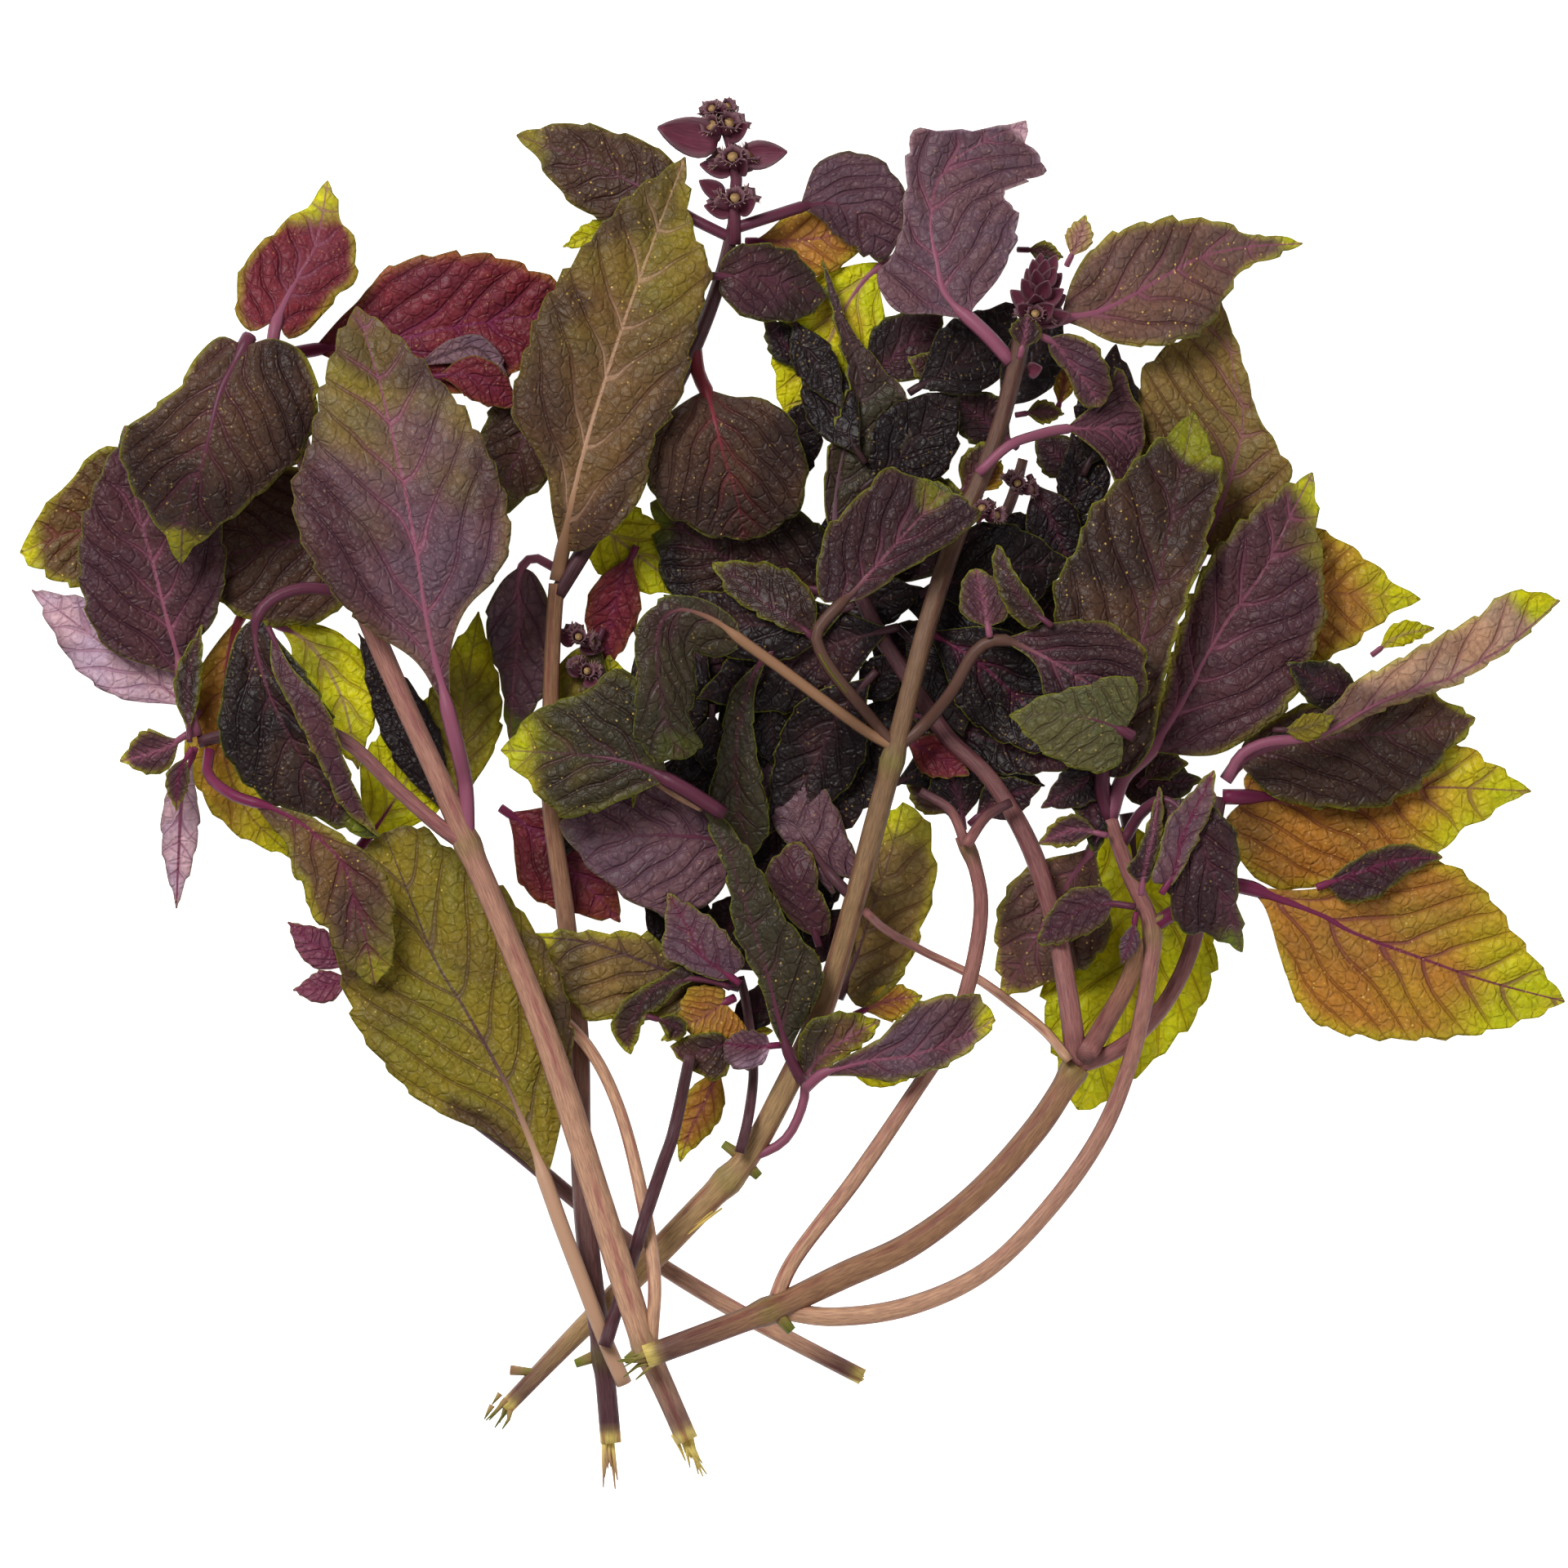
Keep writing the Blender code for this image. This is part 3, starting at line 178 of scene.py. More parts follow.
PURPLE_BARK_STALK = Look("aubergine", "plum", "lime", "rose", 0.1, 0.7, 0.8, stalk="bark")


def leaf(name, slot, *facts, **shape):
    """A leaf, whose name and slot both end in _leaf."""
    return Leaf(name + "_leaf", slot + "_leaf", *facts, **shape)


def flat_leaf(*facts):
    """A small leaf that lies nearly flat."""
    return leaf(*facts, bend=(8, 2, 8, 2), arch=(0, 1, 0))


def even_leaf(name, slot, midrib, stalk, half_width, look):
    """A small flat leaf whose two halves are equally wide."""
    return flat_leaf(name, slot, midrib, stalk, half_width, half_width, look)


def dark_leaf(name, midrib, half_width, look=DEEP_SHADE):
    """A small flat dark leaf with a short stalk."""
    return even_leaf(name, "dark", midrib, 1, half_width, look)


# The bunch, from the table upwards
PIECES = [
    even_leaf("amber_low", "amber", [(-12, -49), (-15, -56), (-18, -62), (-20, -68)], 1, 4,
        RUSTY_AMBER),
    flat_leaf("amber_slip", "amber", [(12, -41), (18, -38.5), (24.5, -37.5)], 1, 3, 4,
        RUSTY_AMBER),
    flat_leaf("lime_slip", "lime", [(9, -50.5), (16, -52.3), (23, -52.5)], 1, 1.5, 2, LIME),
    even_leaf("amber_bit", "amber", [(34, 53.5), (36.5, 57), (39, 60.8)], 1, 2.5, RUSTY_AMBER),
    even_leaf("amber_strip", "amber", [(49, 69), (50.5, 75), (50, 81)], 1, 2.2, RUSTY_AMBER),
    even_leaf("pale_high", "pale", [(51, 96.5), (53, 101), (54.5, 105.8)], 1, 2.6,
        Look("clay", "tan", "lime", "rose", 0.2, 0.6)),
    flat_leaf("lime_high", "lime", [(107, 25), (112, 28.5), (118.5, 30)], 1, 2.5, 2, LIME),
    leaf("lime_right", "lime", [(62, -4), (64, -16), (63, -30), (59, -45), (53, -58.5)], 2,
        [(68, -10), (74, -18), (78.3, -27), (78, -34), (75, -41), (70, -46.5), (64, -52), (57, -57.6)],
        [(57, -9), (52, -18), (48, -28), (46.7, -38), (48.5, -47), (50.5, -53.5)],
        Look("olive", "lime", "lime", "plum", 0.6, 0.35), bend=(6, 2, 6, 2), arch=(0, 0, 0)),
    leaf("amber_right", "amber", [(79.5, -1), (85, -1), (92, -0.8), (103, 0.2), (114, 0.6),
        (122, 0.7), (136.3, 0)], 3, [(84, 3), (92, 7.5), (104, 9.5), (115, 8.8), (123.4, 8.5), (128, 5.7),
        (132, 3)], [(80, -5.5), (82.5, -12), (88, -17.5), (97, -17.5), (108, -13.8), (118.5, -11.8),
        (123, -7.2), (127.9, -4.8), (131.8, -1.8)], Look("brown", "amber", "lime", "magenta", 0.55, 0.7),
        "right_side_stem", bend=(4, 4, 3, 3), arch=(0, 0, 0)),
    leaf("pale_left", "amber", [(-83, 42), (-93, 40), (-102, 29), (-104, 10), (-100, -3),
        (-90, -13)], 22, 8, 7, Look("olive", "amber", "lime", "crimson", 0.6, 0.5), bend=(4, 6, 8, 4),
        arch=(0, 0, 0)),
    leaf("striped_left", "pale", [(-108, 14), (-116, 20), (-125, 26.5), (-139, 37)], 3, 7, 8,
        Look("mauve", "lilac", "mauve", "rose", 0.1, 0.6, 0.2), bend=(8, 2, 20, 30), arch=(0, 2, 1)),
    leaf("lime_left", "lime", [(-80, -12), (-74, -4), (-68, 6), (-62, 20)], 4, 9, 8,
        Look("olive", "lime", "lime", "magenta", 0.6, 0.5), bend=(5, 5, 5, 5), arch=(0, 1, 0)),
    leaf("lime_back", "lime", [(-95, 31), (-88, 27), (-82, 17), (-79, 4)], 2, 7, 7,
        Look("olive", "lime", "lime", "rose", 0.6), arch=(0, 1, 0)),
    leaf("pink_lower", "crimson", [(-79, -33), (-86, -29), (-92, -24)], 1, 3.5, 3.5, PINK,
        arch=(0, 1, 1)),
    leaf("pink_tip", "crimson", [(-79, -33.5), (-86, -36), (-91, -36.5)], 1, 3, 3, PINK,
        arch=(0, 1, 1)),
    leaf("olive_back", "olive", [(-60, -4), (-60, 8), (-59, 20), (-57, 33)], 1, 7, 7,
        Look("olive", "olive", "lime", "umber", 0.5), arch=(0, 1, 0)),
    leaf("red_middle", "crimson", [(-53, -3), (-46, -8), (-40, -14), (-31, -24)], 2, 9, 9,
        Look("cocoa", "crimson", "rust", "magenta", 0.3, 0.8), arch=(0, 1, 0)),
    leaf("lime_middle", "lime", [(-42, 52), (-34, 48), (-26, 42), (-18, 36)], 1, 7, 7,
        Look("olive", "lime", "lime", "rose", 0.5), arch=(0, 1, 0)),
    leaf("crimson_middle", "crimson", [(-28, 45), (-31, 38), (-33, 30), (-34, 21)], 1, 5, 5,
        Look("crimson", "crimson", "rust", "magenta", 0.3), arch=(0, 1, 0)),
    leaf("lime_shade", "lime", [(-29, 2), (-31, 9), (-32, 17), (-33, 25)], 1, 7, 7,
        Look("olive", "lime", "lime", "moss", 0.5), arch=(0, 1, 0)),
    leaf("lime_centre", "lime", [(20, 98), (14, 94), (8, 84), (0, 64)], 3, 10, 10,
        Look("amber", "lime", "lime", "rose", 0.5, 0.6), bend=(5, 4, 5, 4), arch=(0, 2, 0)),
    leaf("lime_tip", "lime", [(-28, 104), (-35, 102.5), (-41.5, 100)], 1, 2.5, 2.5,
        Look("green", "lime", "lime", "olive", 0.5), arch=(0, 1, 0)),
    leaf("amber_top", "amber", [(-8, 101), (0, 101), (8, 102), (16, 105)], 2, 6, 7,
        Look("rust", "amber", "lime", "magenta", 0.4), arch=(0, 1, 0)),
    leaf("far_left", "amber", [(-112, 26), (-116.5, 36), (-122, 45), (-130, 48), (-141.2, 43.8)],
        14, [(-122, 40.5), (-128, 37.5), (-134, 38.5), (-138, 41)], [(-116, 54), (-120, 61), (-124, 63.8),
        (-128.5, 61), (-133, 55.7), (-137.5, 51.2), (-139.5, 46.8)],
        Look("bark", "umber", "lime", "crimson", 0.25, 0.6), bend=(8, 5, 8, 5), arch=(0, 2, 1),
        widest=0.3),
    leaf("hidden_right", "amber", [(78, 34), (88, 35.5), (98, 36.3), (107, 36), (116, 35.3)], 3,
        [(84, 44), (92, 48.5), (98, 47.8), (103, 44.8), (107.5, 41.5), (110.5, 38.5)], [(85, 27),
        (93, 22.5), (98.5, 24.3), (103.5, 27), (107, 30), (111, 33)],
        Look("brown", "amber", "lime", "crimson", 0.5, 0.4), bend=(6, 3, 6, 3), arch=(0, 2, 0),
        widest=0.3),
    leaf("glowing_right", "amber", [(74, 41), (76.8, 46.5), (80, 54.5), (82.5, 63), (83.3, 70),
        (81.5, 78), (79.3, 90)], 3, [(69, 45), (64, 52), (62.5, 62), (63.3, 70), (65, 77), (68.5, 80.7),
        (75.3, 85)], [(81, 44), (88, 51), (92.5, 57.5), (90, 62.5), (86, 69), (84.5, 75), (82.2, 82),
        (80.3, 87)], Look("umber", "khaki", "olive", "rose", 0.3, 0.6), bend=(8, 3, 12, 16),
        arch=(0, 4, 2), widest=0.3),
    leaf("crimson_left", "crimson", [(-93, 80), (-87.5, 81), (-78, 82.3), (-69.8, 83.3),
        (-61.4, 85.2), (-47.6, 87.2), (-36, 89)], 6, [(-82.5, 86.5), (-79, 90), (-74.5, 95.5),
        (-68.3, 98.1), (-62.5, 98.7), (-54.9, 98.5), (-47, 95.8), (-40.5, 92)], [(-82, 78.5), (-75, 74),
        (-65, 72.5), (-55, 74), (-47, 79), (-41, 85)],
        Look("wine", "crimson", "amber", "magenta", 0.25, 0.9), bend=(10, 4, 10, 4), arch=(0, 3, 0)),
    leaf("brown_back", "dark", [(-42, 79), (-48, 66), (-55, 49)], 1, 8, 8,
        Look("cocoa", "brown", "green", "wine", 0.2), arch=(0, 1, 0)),
    leaf("lilac_curl", "pale", [(-70, 77), (-62, 80.5), (-56, 80.5), (-50.5, 71)], 1, 2.5, 2.5,
        Look("mauve", "lilac", "mauve", "plum", 0.1, 0.8, 0.1), bend=(20, 40, 20, 40), arch=(1, 3, 1)),
    leaf("red_back", "crimson", [(-66, 76), (-58, 76), (-49, 70)], 1, 4, 4,
        Look("crimson", "crimson", "rust", "magenta", 0.2), arch=(0, 1, 0)),
    leaf("amber_middle", "lime", [(9, -38), (12.5, -30), (15.5, -21), (18.5, -12), (21, -2)], 2,
        [(7.5, -33), (9, -24), (12, -15), (16, -7)], [(13, -39.6), (18.5, -36.6), (22.5, -31), (25, -24),
        (27, -16), (26.3, -10.5), (25, -5)], Look("drab", "khaki", "lime", "plum", 0.35, 0.6),
        bend=(6, 4, 6, 4), arch=(0, 1, 0)),
    Stem("slanting_stem", "stem", [(13.5, -107.5), (0, -100.5), (-12, -94), (-25, -86), (-38, -76),
        (-50, -66), (-62, -57)], (1.7, 1.4), end=0.9),
    leaf("pointed_left", "crimson", [(-94.4, 80.5), (-93.6, 85.4), (-91.8, 90), (-89.6, 94.3),
        (-86.8, 99.6), (-85.7, 104.3), (-84.6, 112)], 2, [(-98, 83.8), (-101, 86.8), (-101.3, 90.4),
        (-100, 96.2), (-96.4, 100.4), (-92.1, 104.3), (-87.9, 107.3)], [(-91.5, 82.6), (-87, 84.8),
        (-82.9, 90), (-79.6, 92.5), (-79, 96.8), (-79.6, 101), (-82.3, 104.8), (-83.3, 108.8)],
        Look("wine", "crimson", "lime", "rose", 0.3, 0.7, 0.7), "left_stem", bend=(12, 6, 12, 6),
        arch=(4, 5, 3), widest=0.28),
    leaf("round_left", "dark", [(-77, 45), (-83, 46), (-90, 46), (-100, 44), (-111, 41.3)], 3,
        [(-80, 37), (-85, 31.3), (-92, 30.3), (-98, 31.2), (-104, 34.5), (-107.7, 39)], [(-81, 54),
        (-87, 59), (-95, 59.5), (-103, 54.5), (-108, 48)], Look("cocoa", "brown", "lime", "wine", 0.15),
        bend=(8, -4, 8, -4), arch=(3, 5, 1)),
    leaf("hanging_left", "purple", [(-108.5, 10), (-110.3, 16), (-111.5, 22.5), (-114.3, 32.9),
        (-116.4, 41.4), (-119.3, 52.1), (-121.7, 67)], 12, [(-116.4, 22.9), (-121, 24.3), (-125.2, 26.5),
        (-128, 31), (-129.6, 37), (-130, 44.3), (-128.9, 50.7), (-125.4, 59.3), (-122.9, 63.5)],
        [(-109, 27), (-105.5, 31), (-103.5, 37), (-103, 45), (-106, 54), (-112, 61.5), (-118, 66.5)],
        Look("plum", "plum", "green", "rose", 0.12, 0.8), "left_shoot", bend=(10, 2, 10, 2),
        arch=(2, 5, 1)),
    leaf("brown_right", "amber", [(57, -7), (55, -11), (49, -20), (39, -38)], 4, 12, 9,
        Look("brown", "clay", "lime", "rose", 0.15, 0.7), "outer_stem", bend=(8, 3, 8, 3), arch=(2, 3, 1)),
    leaf("dark_right", "dark", [(80, 2), (83, 5.5), (91, 8.5), (100, 10), (110, 10.7), (118, 12),
        (126, 13.4)], 4, [(84, 9.5), (90, 14), (98, 17), (108, 18), (117.4, 18.2), (121, 16), (124, 14.6)],
        [(84.5, 3), (88, -0.5), (92.5, -2.3), (98, -3.1), (104, -3.3), (109, -2.6), (115, 0.6), (117.5, 3),
        (121, 7.5), (124.8, 11.2)], Look("cocoa", "brown", "lime", "wine", 0.15, 0.5, 0.9),
        "right_side_stem", bend=(8, 3, 6, -2), arch=(2, 4, 2)),
    leaf("upper_middle", "dark", [(-10, 103), (-1.7, 105.7), (3, 107.2), (8, 107.7), (13, 105.5),
        (16, 101.5), (17.6, 97.3)], 13, [(3.2, 110.5), (5, 114.9), (9, 116.9), (15, 116.7), (19.7, 113),
        (21.3, 108), (20.6, 102)], [(5.5, 105), (8, 102.3), (11, 100.2), (14, 98.4)],
        Look("plum", "mauve", "sage", "wine", 0.1, 0.4, 0.3), "top_shoot", bend=(8, -4, 8, -4),
        arch=(3, 6, 3), widest=0.5),
    leaf("upper_left", "olive", [(-10, 101), (-18, 105), (-24, 109), (-36, 115), (-50, 120.5)],
        14, [(-22, 103.5), (-27, 103), (-33, 104), (-39.7, 107.7), (-43.9, 112.7), (-46.7, 117)],
        [(-20, 113), (-23.7, 117.7), (-28.3, 119.9), (-37.7, 122.4), (-44, 122.1), (-47.7, 121.3)],
        Look("cocoa", "brown", "olive", "wine", 0.2, 0.5, 0.6), "top_shoot", bend=(8, 2, 8, 2),
        arch=(3, 6, 2)),
    leaf("curled_left", "purple", [(-43, 41), (-47, 42.8), (-49.5, 39.5), (-49.5, 30),
        (-50.5, 20), (-51.2, 9.3)], 7, [(-46.5, 39.5), (-43.9, 34), (-43.9, 25), (-45, 17.7), (-48.5, 13)],
        [(-52.5, 38.5), (-55.5, 33), (-55, 27), (-52.8, 20), (-52, 13)],
        Look("plum", "mauve", "green", "rose", 0.1, 0.6), bend=(12, 4, 14, 6), arch=(6, 5, 0)),
    flat_leaf("maroon_side", "dark", [(33, 28), (39, 21), (47, 12.5)], 1, 6.5, 6,
        Look("ink", "aubergine", "green", "crimson", 0.1, 0.7, 0.6)),
    flat_leaf("edged_side", "dark", [(27, 26), (29.5, 16.5), (33.5, 11), (39, 5)], 1, 3.5, 2.5,
        BROWN_LIME_RIM),
    flat_leaf("dark_upper", "dark", [(13, 74), (19, 79.5), (28.5, 88)], 1, 6.5, 6,
        DARK_GREEN_RIM),
    flat_leaf("jagged_upper", "dark", [(33, 73.5), (27.5, 76.5), (21.8, 79.5)], 1, 3.5, 4,
        BROWN_LIME_RIM),
    dark_leaf("dark_inner", [(42, 63), (36, 68), (29.5, 73)], 5, DARK_GREEN_RIM),
    dark_leaf("outlined", [(41.5, 69), (46, 69.6), (50.5, 69.3)], 2.3, BROWN_LIME_RIM),
    dark_leaf("dark_outer", [(54.5, 56.5), (50, 61), (45, 65)], 4.2, DARK_GREEN_RIM),
    flat_leaf("curl_upper", "dark", [(29.5, 65), (25, 60.5), (19.5, 55)], 1, 3.8, 3.4,
        BROWN_LIME_RIM),
    flat_leaf("curl_side", "dark", [(31, 53.5), (34, 59), (37.5, 65)], 1, 3.2, 3,
        BROWN_LIME_RIM),
    flat_leaf("grey_upper", "dark", [(36, 51.5), (28, 54), (18.5, 58.5)], 1, 4.5, 3.5,
        Look("ink", "moss", "lime", "wine", 0.12, 0.5, 0.8)),
    dark_leaf("dark_top", [(3, 75.5), (0, 81), (-4.5, 87)], 3.4, DARK_GREEN_RIM),
    flat_leaf("dark_stem", "dark", [(16, 13), (12, 4), (8.5, -6.5)], 1, 4, 3.5, DARK_GREEN_RIM),
    flat_leaf("dark_shoot", "dark", [(31, -5), (26, -1.5), (21.5, 2.5)], 1, 3, 3.2,
        BROWN_LIME_RIM),
    dark_leaf("dark_bud", [(30, -1), (35, 2.5), (39.5, 5.2)], 2.6, BROWN_LIME_RIM),
    even_leaf("lit_middle", "purple", [(9, 12.5), (2, 17), (-5.5, 21.5)], 1, 4.5,
        PURPLE_LIME_RIM),
    dark_leaf("dark_cross_low", [(33, 8), (24, 14), (14, 24)], 6, DARK_GREEN_RIM),
    dark_leaf("dark_cross_high", [(16, 36), (22, 45), (30, 53)], 7, DARK_GREEN_RIM),
    flat_leaf("dark_far", "dark", [(30, 30), (40, 34), (54, 33)], 1, 7, 8, DARK_GREEN_RIM),
    dark_leaf("dark_gap", [(13, 30), (20, 26), (33, 20)], 7, DARK_GREEN_RIM),
    dark_leaf("dark_under", [(-2, 30), (-10, 24), (-20, 12)], 6, DARK_GREEN_RIM),
    dark_leaf("dark_lowest", [(2, 6), (-4, -4), (-9, -16)], 5, DARK_GREEN_RIM),
    dark_leaf("dark_right_gap", [(58, 6), (66, 2), (76, 2)], 5, DARK_GREEN_RIM),
    dark_leaf("dark_tall", [(50, 10), (55, 0), (56, -12)], 4, DARK_GREEN_RIM),
    Stem("dark_stick", "shoot", [(36, 40), (38, 47), (41, 54), (43, 61)], (1.2, 0.9), "",
        tones=("plum", "bark")),
    # Most of the _shade and _gap leaves below keep the DEEP_SHADE look: painted shade, near black all over,
    # for the dark middle of the pile
    dark_leaf("first_shade", [(0, 41), (14, 46), (27, 54)], 8),
    dark_leaf("second_shade", [(13, 55), (22, 63), (31, 74)], 8),
    dark_leaf("third_shade", [(28, 40), (42, 44), (56, 49)], 7),
    dark_leaf("fourth_shade", [(49, 48), (54, 57), (52, 66)], 5),
    dark_leaf("fifth_shade", [(22, 73), (33, 80), (42, 90)], 7),
    dark_leaf("sixth_shade", [(54, 58), (58, 68), (60, 82)], 6),
    dark_leaf("seventh_shade", [(-7, 53), (0, 62), (6, 74)], 5),
    dark_leaf("eighth_shade", [(37, 69), (43, 76), (50, 90)], 5.5),
    dark_leaf("ninth_shade", [(19, 35), (32, 33), (46, 29)], 7),
    dark_leaf("tenth_shade", [(46, 50), (56, 45), (68, 38)], 6),
    dark_leaf("eleventh_shade", [(-8, 9), (-18, 0), (-30, -13)], 7),
    dark_leaf("twelfth_shade", [(-23, -10), (-20, -24), (-13, -36)], 6),
    dark_leaf("thirteenth_shade", [(9, -2), (4, -16), (1, -31)], 6),
    dark_leaf("fourteenth_shade", [(-30, 14), (-36, 2), (-41, -12)], 6),
    dark_leaf("fifteenth_shade", [(-62, -6), (-70, 12), (-79, 29)], 5),
    dark_leaf("sixteenth_shade", [(14, 60), (8, 70), (4, 84)], 5),
    dark_leaf("seventeenth_shade", [(-28, 30), (-24, 20), (-14, 4)], 6),
    dark_leaf("eighteenth_shade", [(22, 20), (14, 8), (8, -10)], 6),
    dark_leaf("nineteenth_shade", [(44, 30), (50, 22), (56, 8)], 6),
    dark_leaf("low_gap", [(18, 1), (31, 5), (47, 1)], 6),
    dark_leaf("long_gap", [(20, 15), (35, 10), (52, 4)], 6, DARK_PLUM_RIM),
    dark_leaf("west_gap", [(-3, 26), (-7, 14), (-6, -2)], 6),
    dark_leaf("lower_gap", [(0, 4), (-3, -10), (-4, -26)], 6, DARK_PLUM_RIM),
    dark_leaf("left_gap", [(-14, 30), (-20, 20), (-19, 6)], 6, DARK_PLUM_RIM),
    dark_leaf("olive_gap", [(-34, 30), (-38, 20), (-37, 8)], 5,
        Look("moss", "olive", "lime", "wine", 0.3, 0.5)),
    dark_leaf("stem_gap", [(20, 30), (27, 22), (32, 10)], 6),
    dark_leaf("upper_gap", [(0, 88), (4, 80), (10, 70)], 4),
    dark_leaf("side_gap", [(44, 58), (48, 50), (52, 40)], 5, DARK_PLUM_RIM),
    dark_leaf("edge_gap", [(60, 8), (54, 2), (46, -3)], 4, DARK_PLUM_RIM),
    dark_leaf("twig_gap", [(-12, -34), (-6, -28), (-2, -20)], 5, DARK_PLUM_RIM),
    dark_leaf("amber_gap", [(-22, -40), (-12, -44), (-3, -44)], 4,
        Look("umber", "amber", "lime", "magenta", 0.4, 0.6)),
    dark_leaf("fork_gap", [(32, -7), (31, -1), (28, 7)], 5, DARK_PLUM_RIM),
    dark_leaf("hook_gap", [(33, -6), (38, -2), (46, 1)], 4, DARK_PLUM_RIM),
    dark_leaf("red_gap", [(20, 10), (26, 7), (33, 3)], 4,
        Look("crimson", "rust", "amber", "magenta", 0.2, 0.6)),
    dark_leaf("ash_gap", [(-4, -17), (-10, -24), (-17, -31)], 5, DARK_PLUM_RIM),
    dark_leaf("node_gap", [(12, -20), (8, -25), (3, -32)], 4.5, DARK_PLUM_RIM),
    dark_leaf("slit_gap", [(-14, 16), (-14, 10), (-13, 2)], 4),
    dark_leaf("crack_gap", [(-3, 18), (-3, 11), (-2, 4)], 4),
    dark_leaf("knot_gap", [(11, 16), (16, 20), (20, 26)], 4),
    dark_leaf("blue_gap", [(-12, -46), (-6, -40), (0, -34)], 3.5, DARK_PLUM_RIM),
    dark_leaf("heart_gap", [(6, 29), (14, 34), (25, 37)], 5),
    leaf("dark_back", "dark", [(20, 30), (9, 27), (-3, 22), (-17, 17)], 1, 9, 9, DARK_PLAIN,
        arch=(0, 1, 0)),
    leaf("dark_side", "dark", [(12, 34), (2, 31), (-10, 31), (-23, 36)], 1, 7, 7, DARK_PLAIN,
        arch=(0, 1, 0)),
    leaf("dark_cross", "dark", [(24, 30), (34, 24), (44, 15), (55, 5)], 1, 9, 9,
        Look("ink", "aubergine", "aubergine", "magenta", 0.1), arch=(0, 1, 0)),
    leaf("dark_high", "dark", [(24, 36), (36, 40), (52, 42)], 1, 9, 9,
        Look("ink", "aubergine", "moss", "plum", 0.1), arch=(0, 1, 0)),
    leaf("dark_low", "dark", [(16, 22), (9, 14), (4, 4), (-4, -8)], 1, 8, 8, DARK_PLAIN,
        arch=(0, 1, 0)),
    Stem("right_rising_stem", "shoot", [(52.5, -50), (51, -38), (48.5, -24), (44, -10), (37, 2), (29, 10),
        (23, 19), (17, 28), (13, 36)], (2.0, 1.4), "right_stem", tones=("dusk", "plum")),
    leaf("brown_centre", "dark", [(9, 36), (3, 37.5), (-3, 39.5), (-12, 43), (-18.5, 47.4),
        (-25.4, 53)], 3, [(2, 33.5), (-8, 33.5), (-17, 34.5), (-21.5, 35.3), (-23, 38.5), (-24.1, 43.5),
        (-24.9, 49)], [(9, 41), (8, 45.5), (5.5, 49), (1, 52.2), (-4, 53), (-12.5, 54.6), (-19, 54.1),
        (-23, 53.8)], Look("ink", "cocoa", "green", "wine", 0.12, 0.6), bend=(8, 2, 8, 2), arch=(2, 4, 1)),
    leaf("narrow_middle", "purple", [(13, -20), (11, -18.8), (7, -14.5), (3.5, -9.5), (0.7, -5),
        (-2, 0), (-4, 5.5), (-4.2, 11.5)], 2, [(8.5, -19), (3, -13), (-1, -9), (-3.5, -4.5), (-4.8, 1),
        (-5.5, 6)], [(12.8, -16), (12, -11), (10, -6), (7.8, -1), (4.5, 3), (2, 7), (-0.5, 9.8)],
        Look("mauve", "mauve", "green", "plum", 0.05, 0.6, 0.3), "centre_stem", bend=(10, 4, 8, 2),
        arch=(2, 4, 1)),
    flat_leaf("crumpled_grey", "purple", [(5.5, -28.3), (3.5, -22), (1.2, -16.5), (0.8, -9.3)],
        2, [(2, -25), (-1.5, -21.5), (-3.5, -17.5), (-4.5, -15), (-2, -11.5)], [(7, -26), (7.5, -22),
        (5.6, -18), (5, -13.5), (3, -10)], Look("plum", "mauve", "lime", "wine", 0.1, 0.6, 0.7)),
    leaf("grey_middle", "green", [(-0.5, 27.5), (-5.5, 23), (-8.5, 15), (-9.7, 6), (-9, -4),
        (-6.5, -11.7)], 5, [(-6.3, 18), (-6.3, 11), (-5, 3), (-3.6, -4.5), (-4.6, -9)], [(-10.3, 18.5),
        (-12, 12), (-13.3, 5), (-14.8, -1), (-13, -5), (-9.5, -9)], MOSS_GREEN, bend=(8, 2, 8, 2),
        arch=(5, 5, 1)),
    Stem("centre_stem", "stem", [(-52, -113), (-40, -100.5), (-27, -87.5), (-15, -75), (-8, -67.5),
        (-2, -57), (6, -40), (12, -20), (16, -5), (19.5, 8), (22.5, 20), (26, 33), (31, 48), (37, 62),
        (41, 76), (43, 85)], (2.7, 1.5), tones=("oat", "bark"), nodes=(0.26, 0.63, 0.84), end=0.55),
    Stem("lower_twig", "shoot", [(-9, -66), (-7.5, -60), (-6.5, -52), (-7, -45), (-8, -38), (-9, -34)],
        (1.0, 0.8), "", tones=("plum", "mauve")),
    Stem("back_stem", "stem", [(-32.5, -119), (-34, -103), (-36.5, -85), (-38, -66), (-38.5, -45),
        (-41, -22), (-43.5, -3), (-43.6, 14), (-43.2, 28), (-42.5, 38)], (2.3, 1.4),
        tones=("plum", "fawn"), nodes=(0.1,), end=0.85),
    Stem("thin_shoot", "shoot", [(-25, -100), (-24.5, -88), (-27, -73), (-31, -58), (-36.5, -47),
        (-45, -38)], (1.3, 1.1), "left_stem", tones=("tan", "tan")),
    leaf("veined_lower", "amber", [(-9, -35.5), (-15, -34), (-22, -32.8), (-30, -29.8),
        (-37, -27.5), (-48, -26.4)], 5, [(-13, -38.5), (-18, -41), (-25, -42), (-33, -42), (-37, -41.4),
        (-40.5, -37.2), (-43, -33.2), (-46, -29.2)], [(-14, -32.5), (-20, -30), (-26, -26), (-33, -25.8),
        (-40, -25.5)], Look("drab", "khaki", "lime", "plum", 0.3, 0.8), bend=(6, 2, 8, 4), arch=(2, 3, 1)),
    flat_leaf("lime_amber", "amber", [(-9.9, -37.7), (-12.5, -39), (-16.4, -41.6),
        (-20.1, -42.6)], 1, [(-7.3, -44.2), (-14.2, -45.2), (-18.5, -43.7)], [(-12, -36), (-17.7, -35.5),
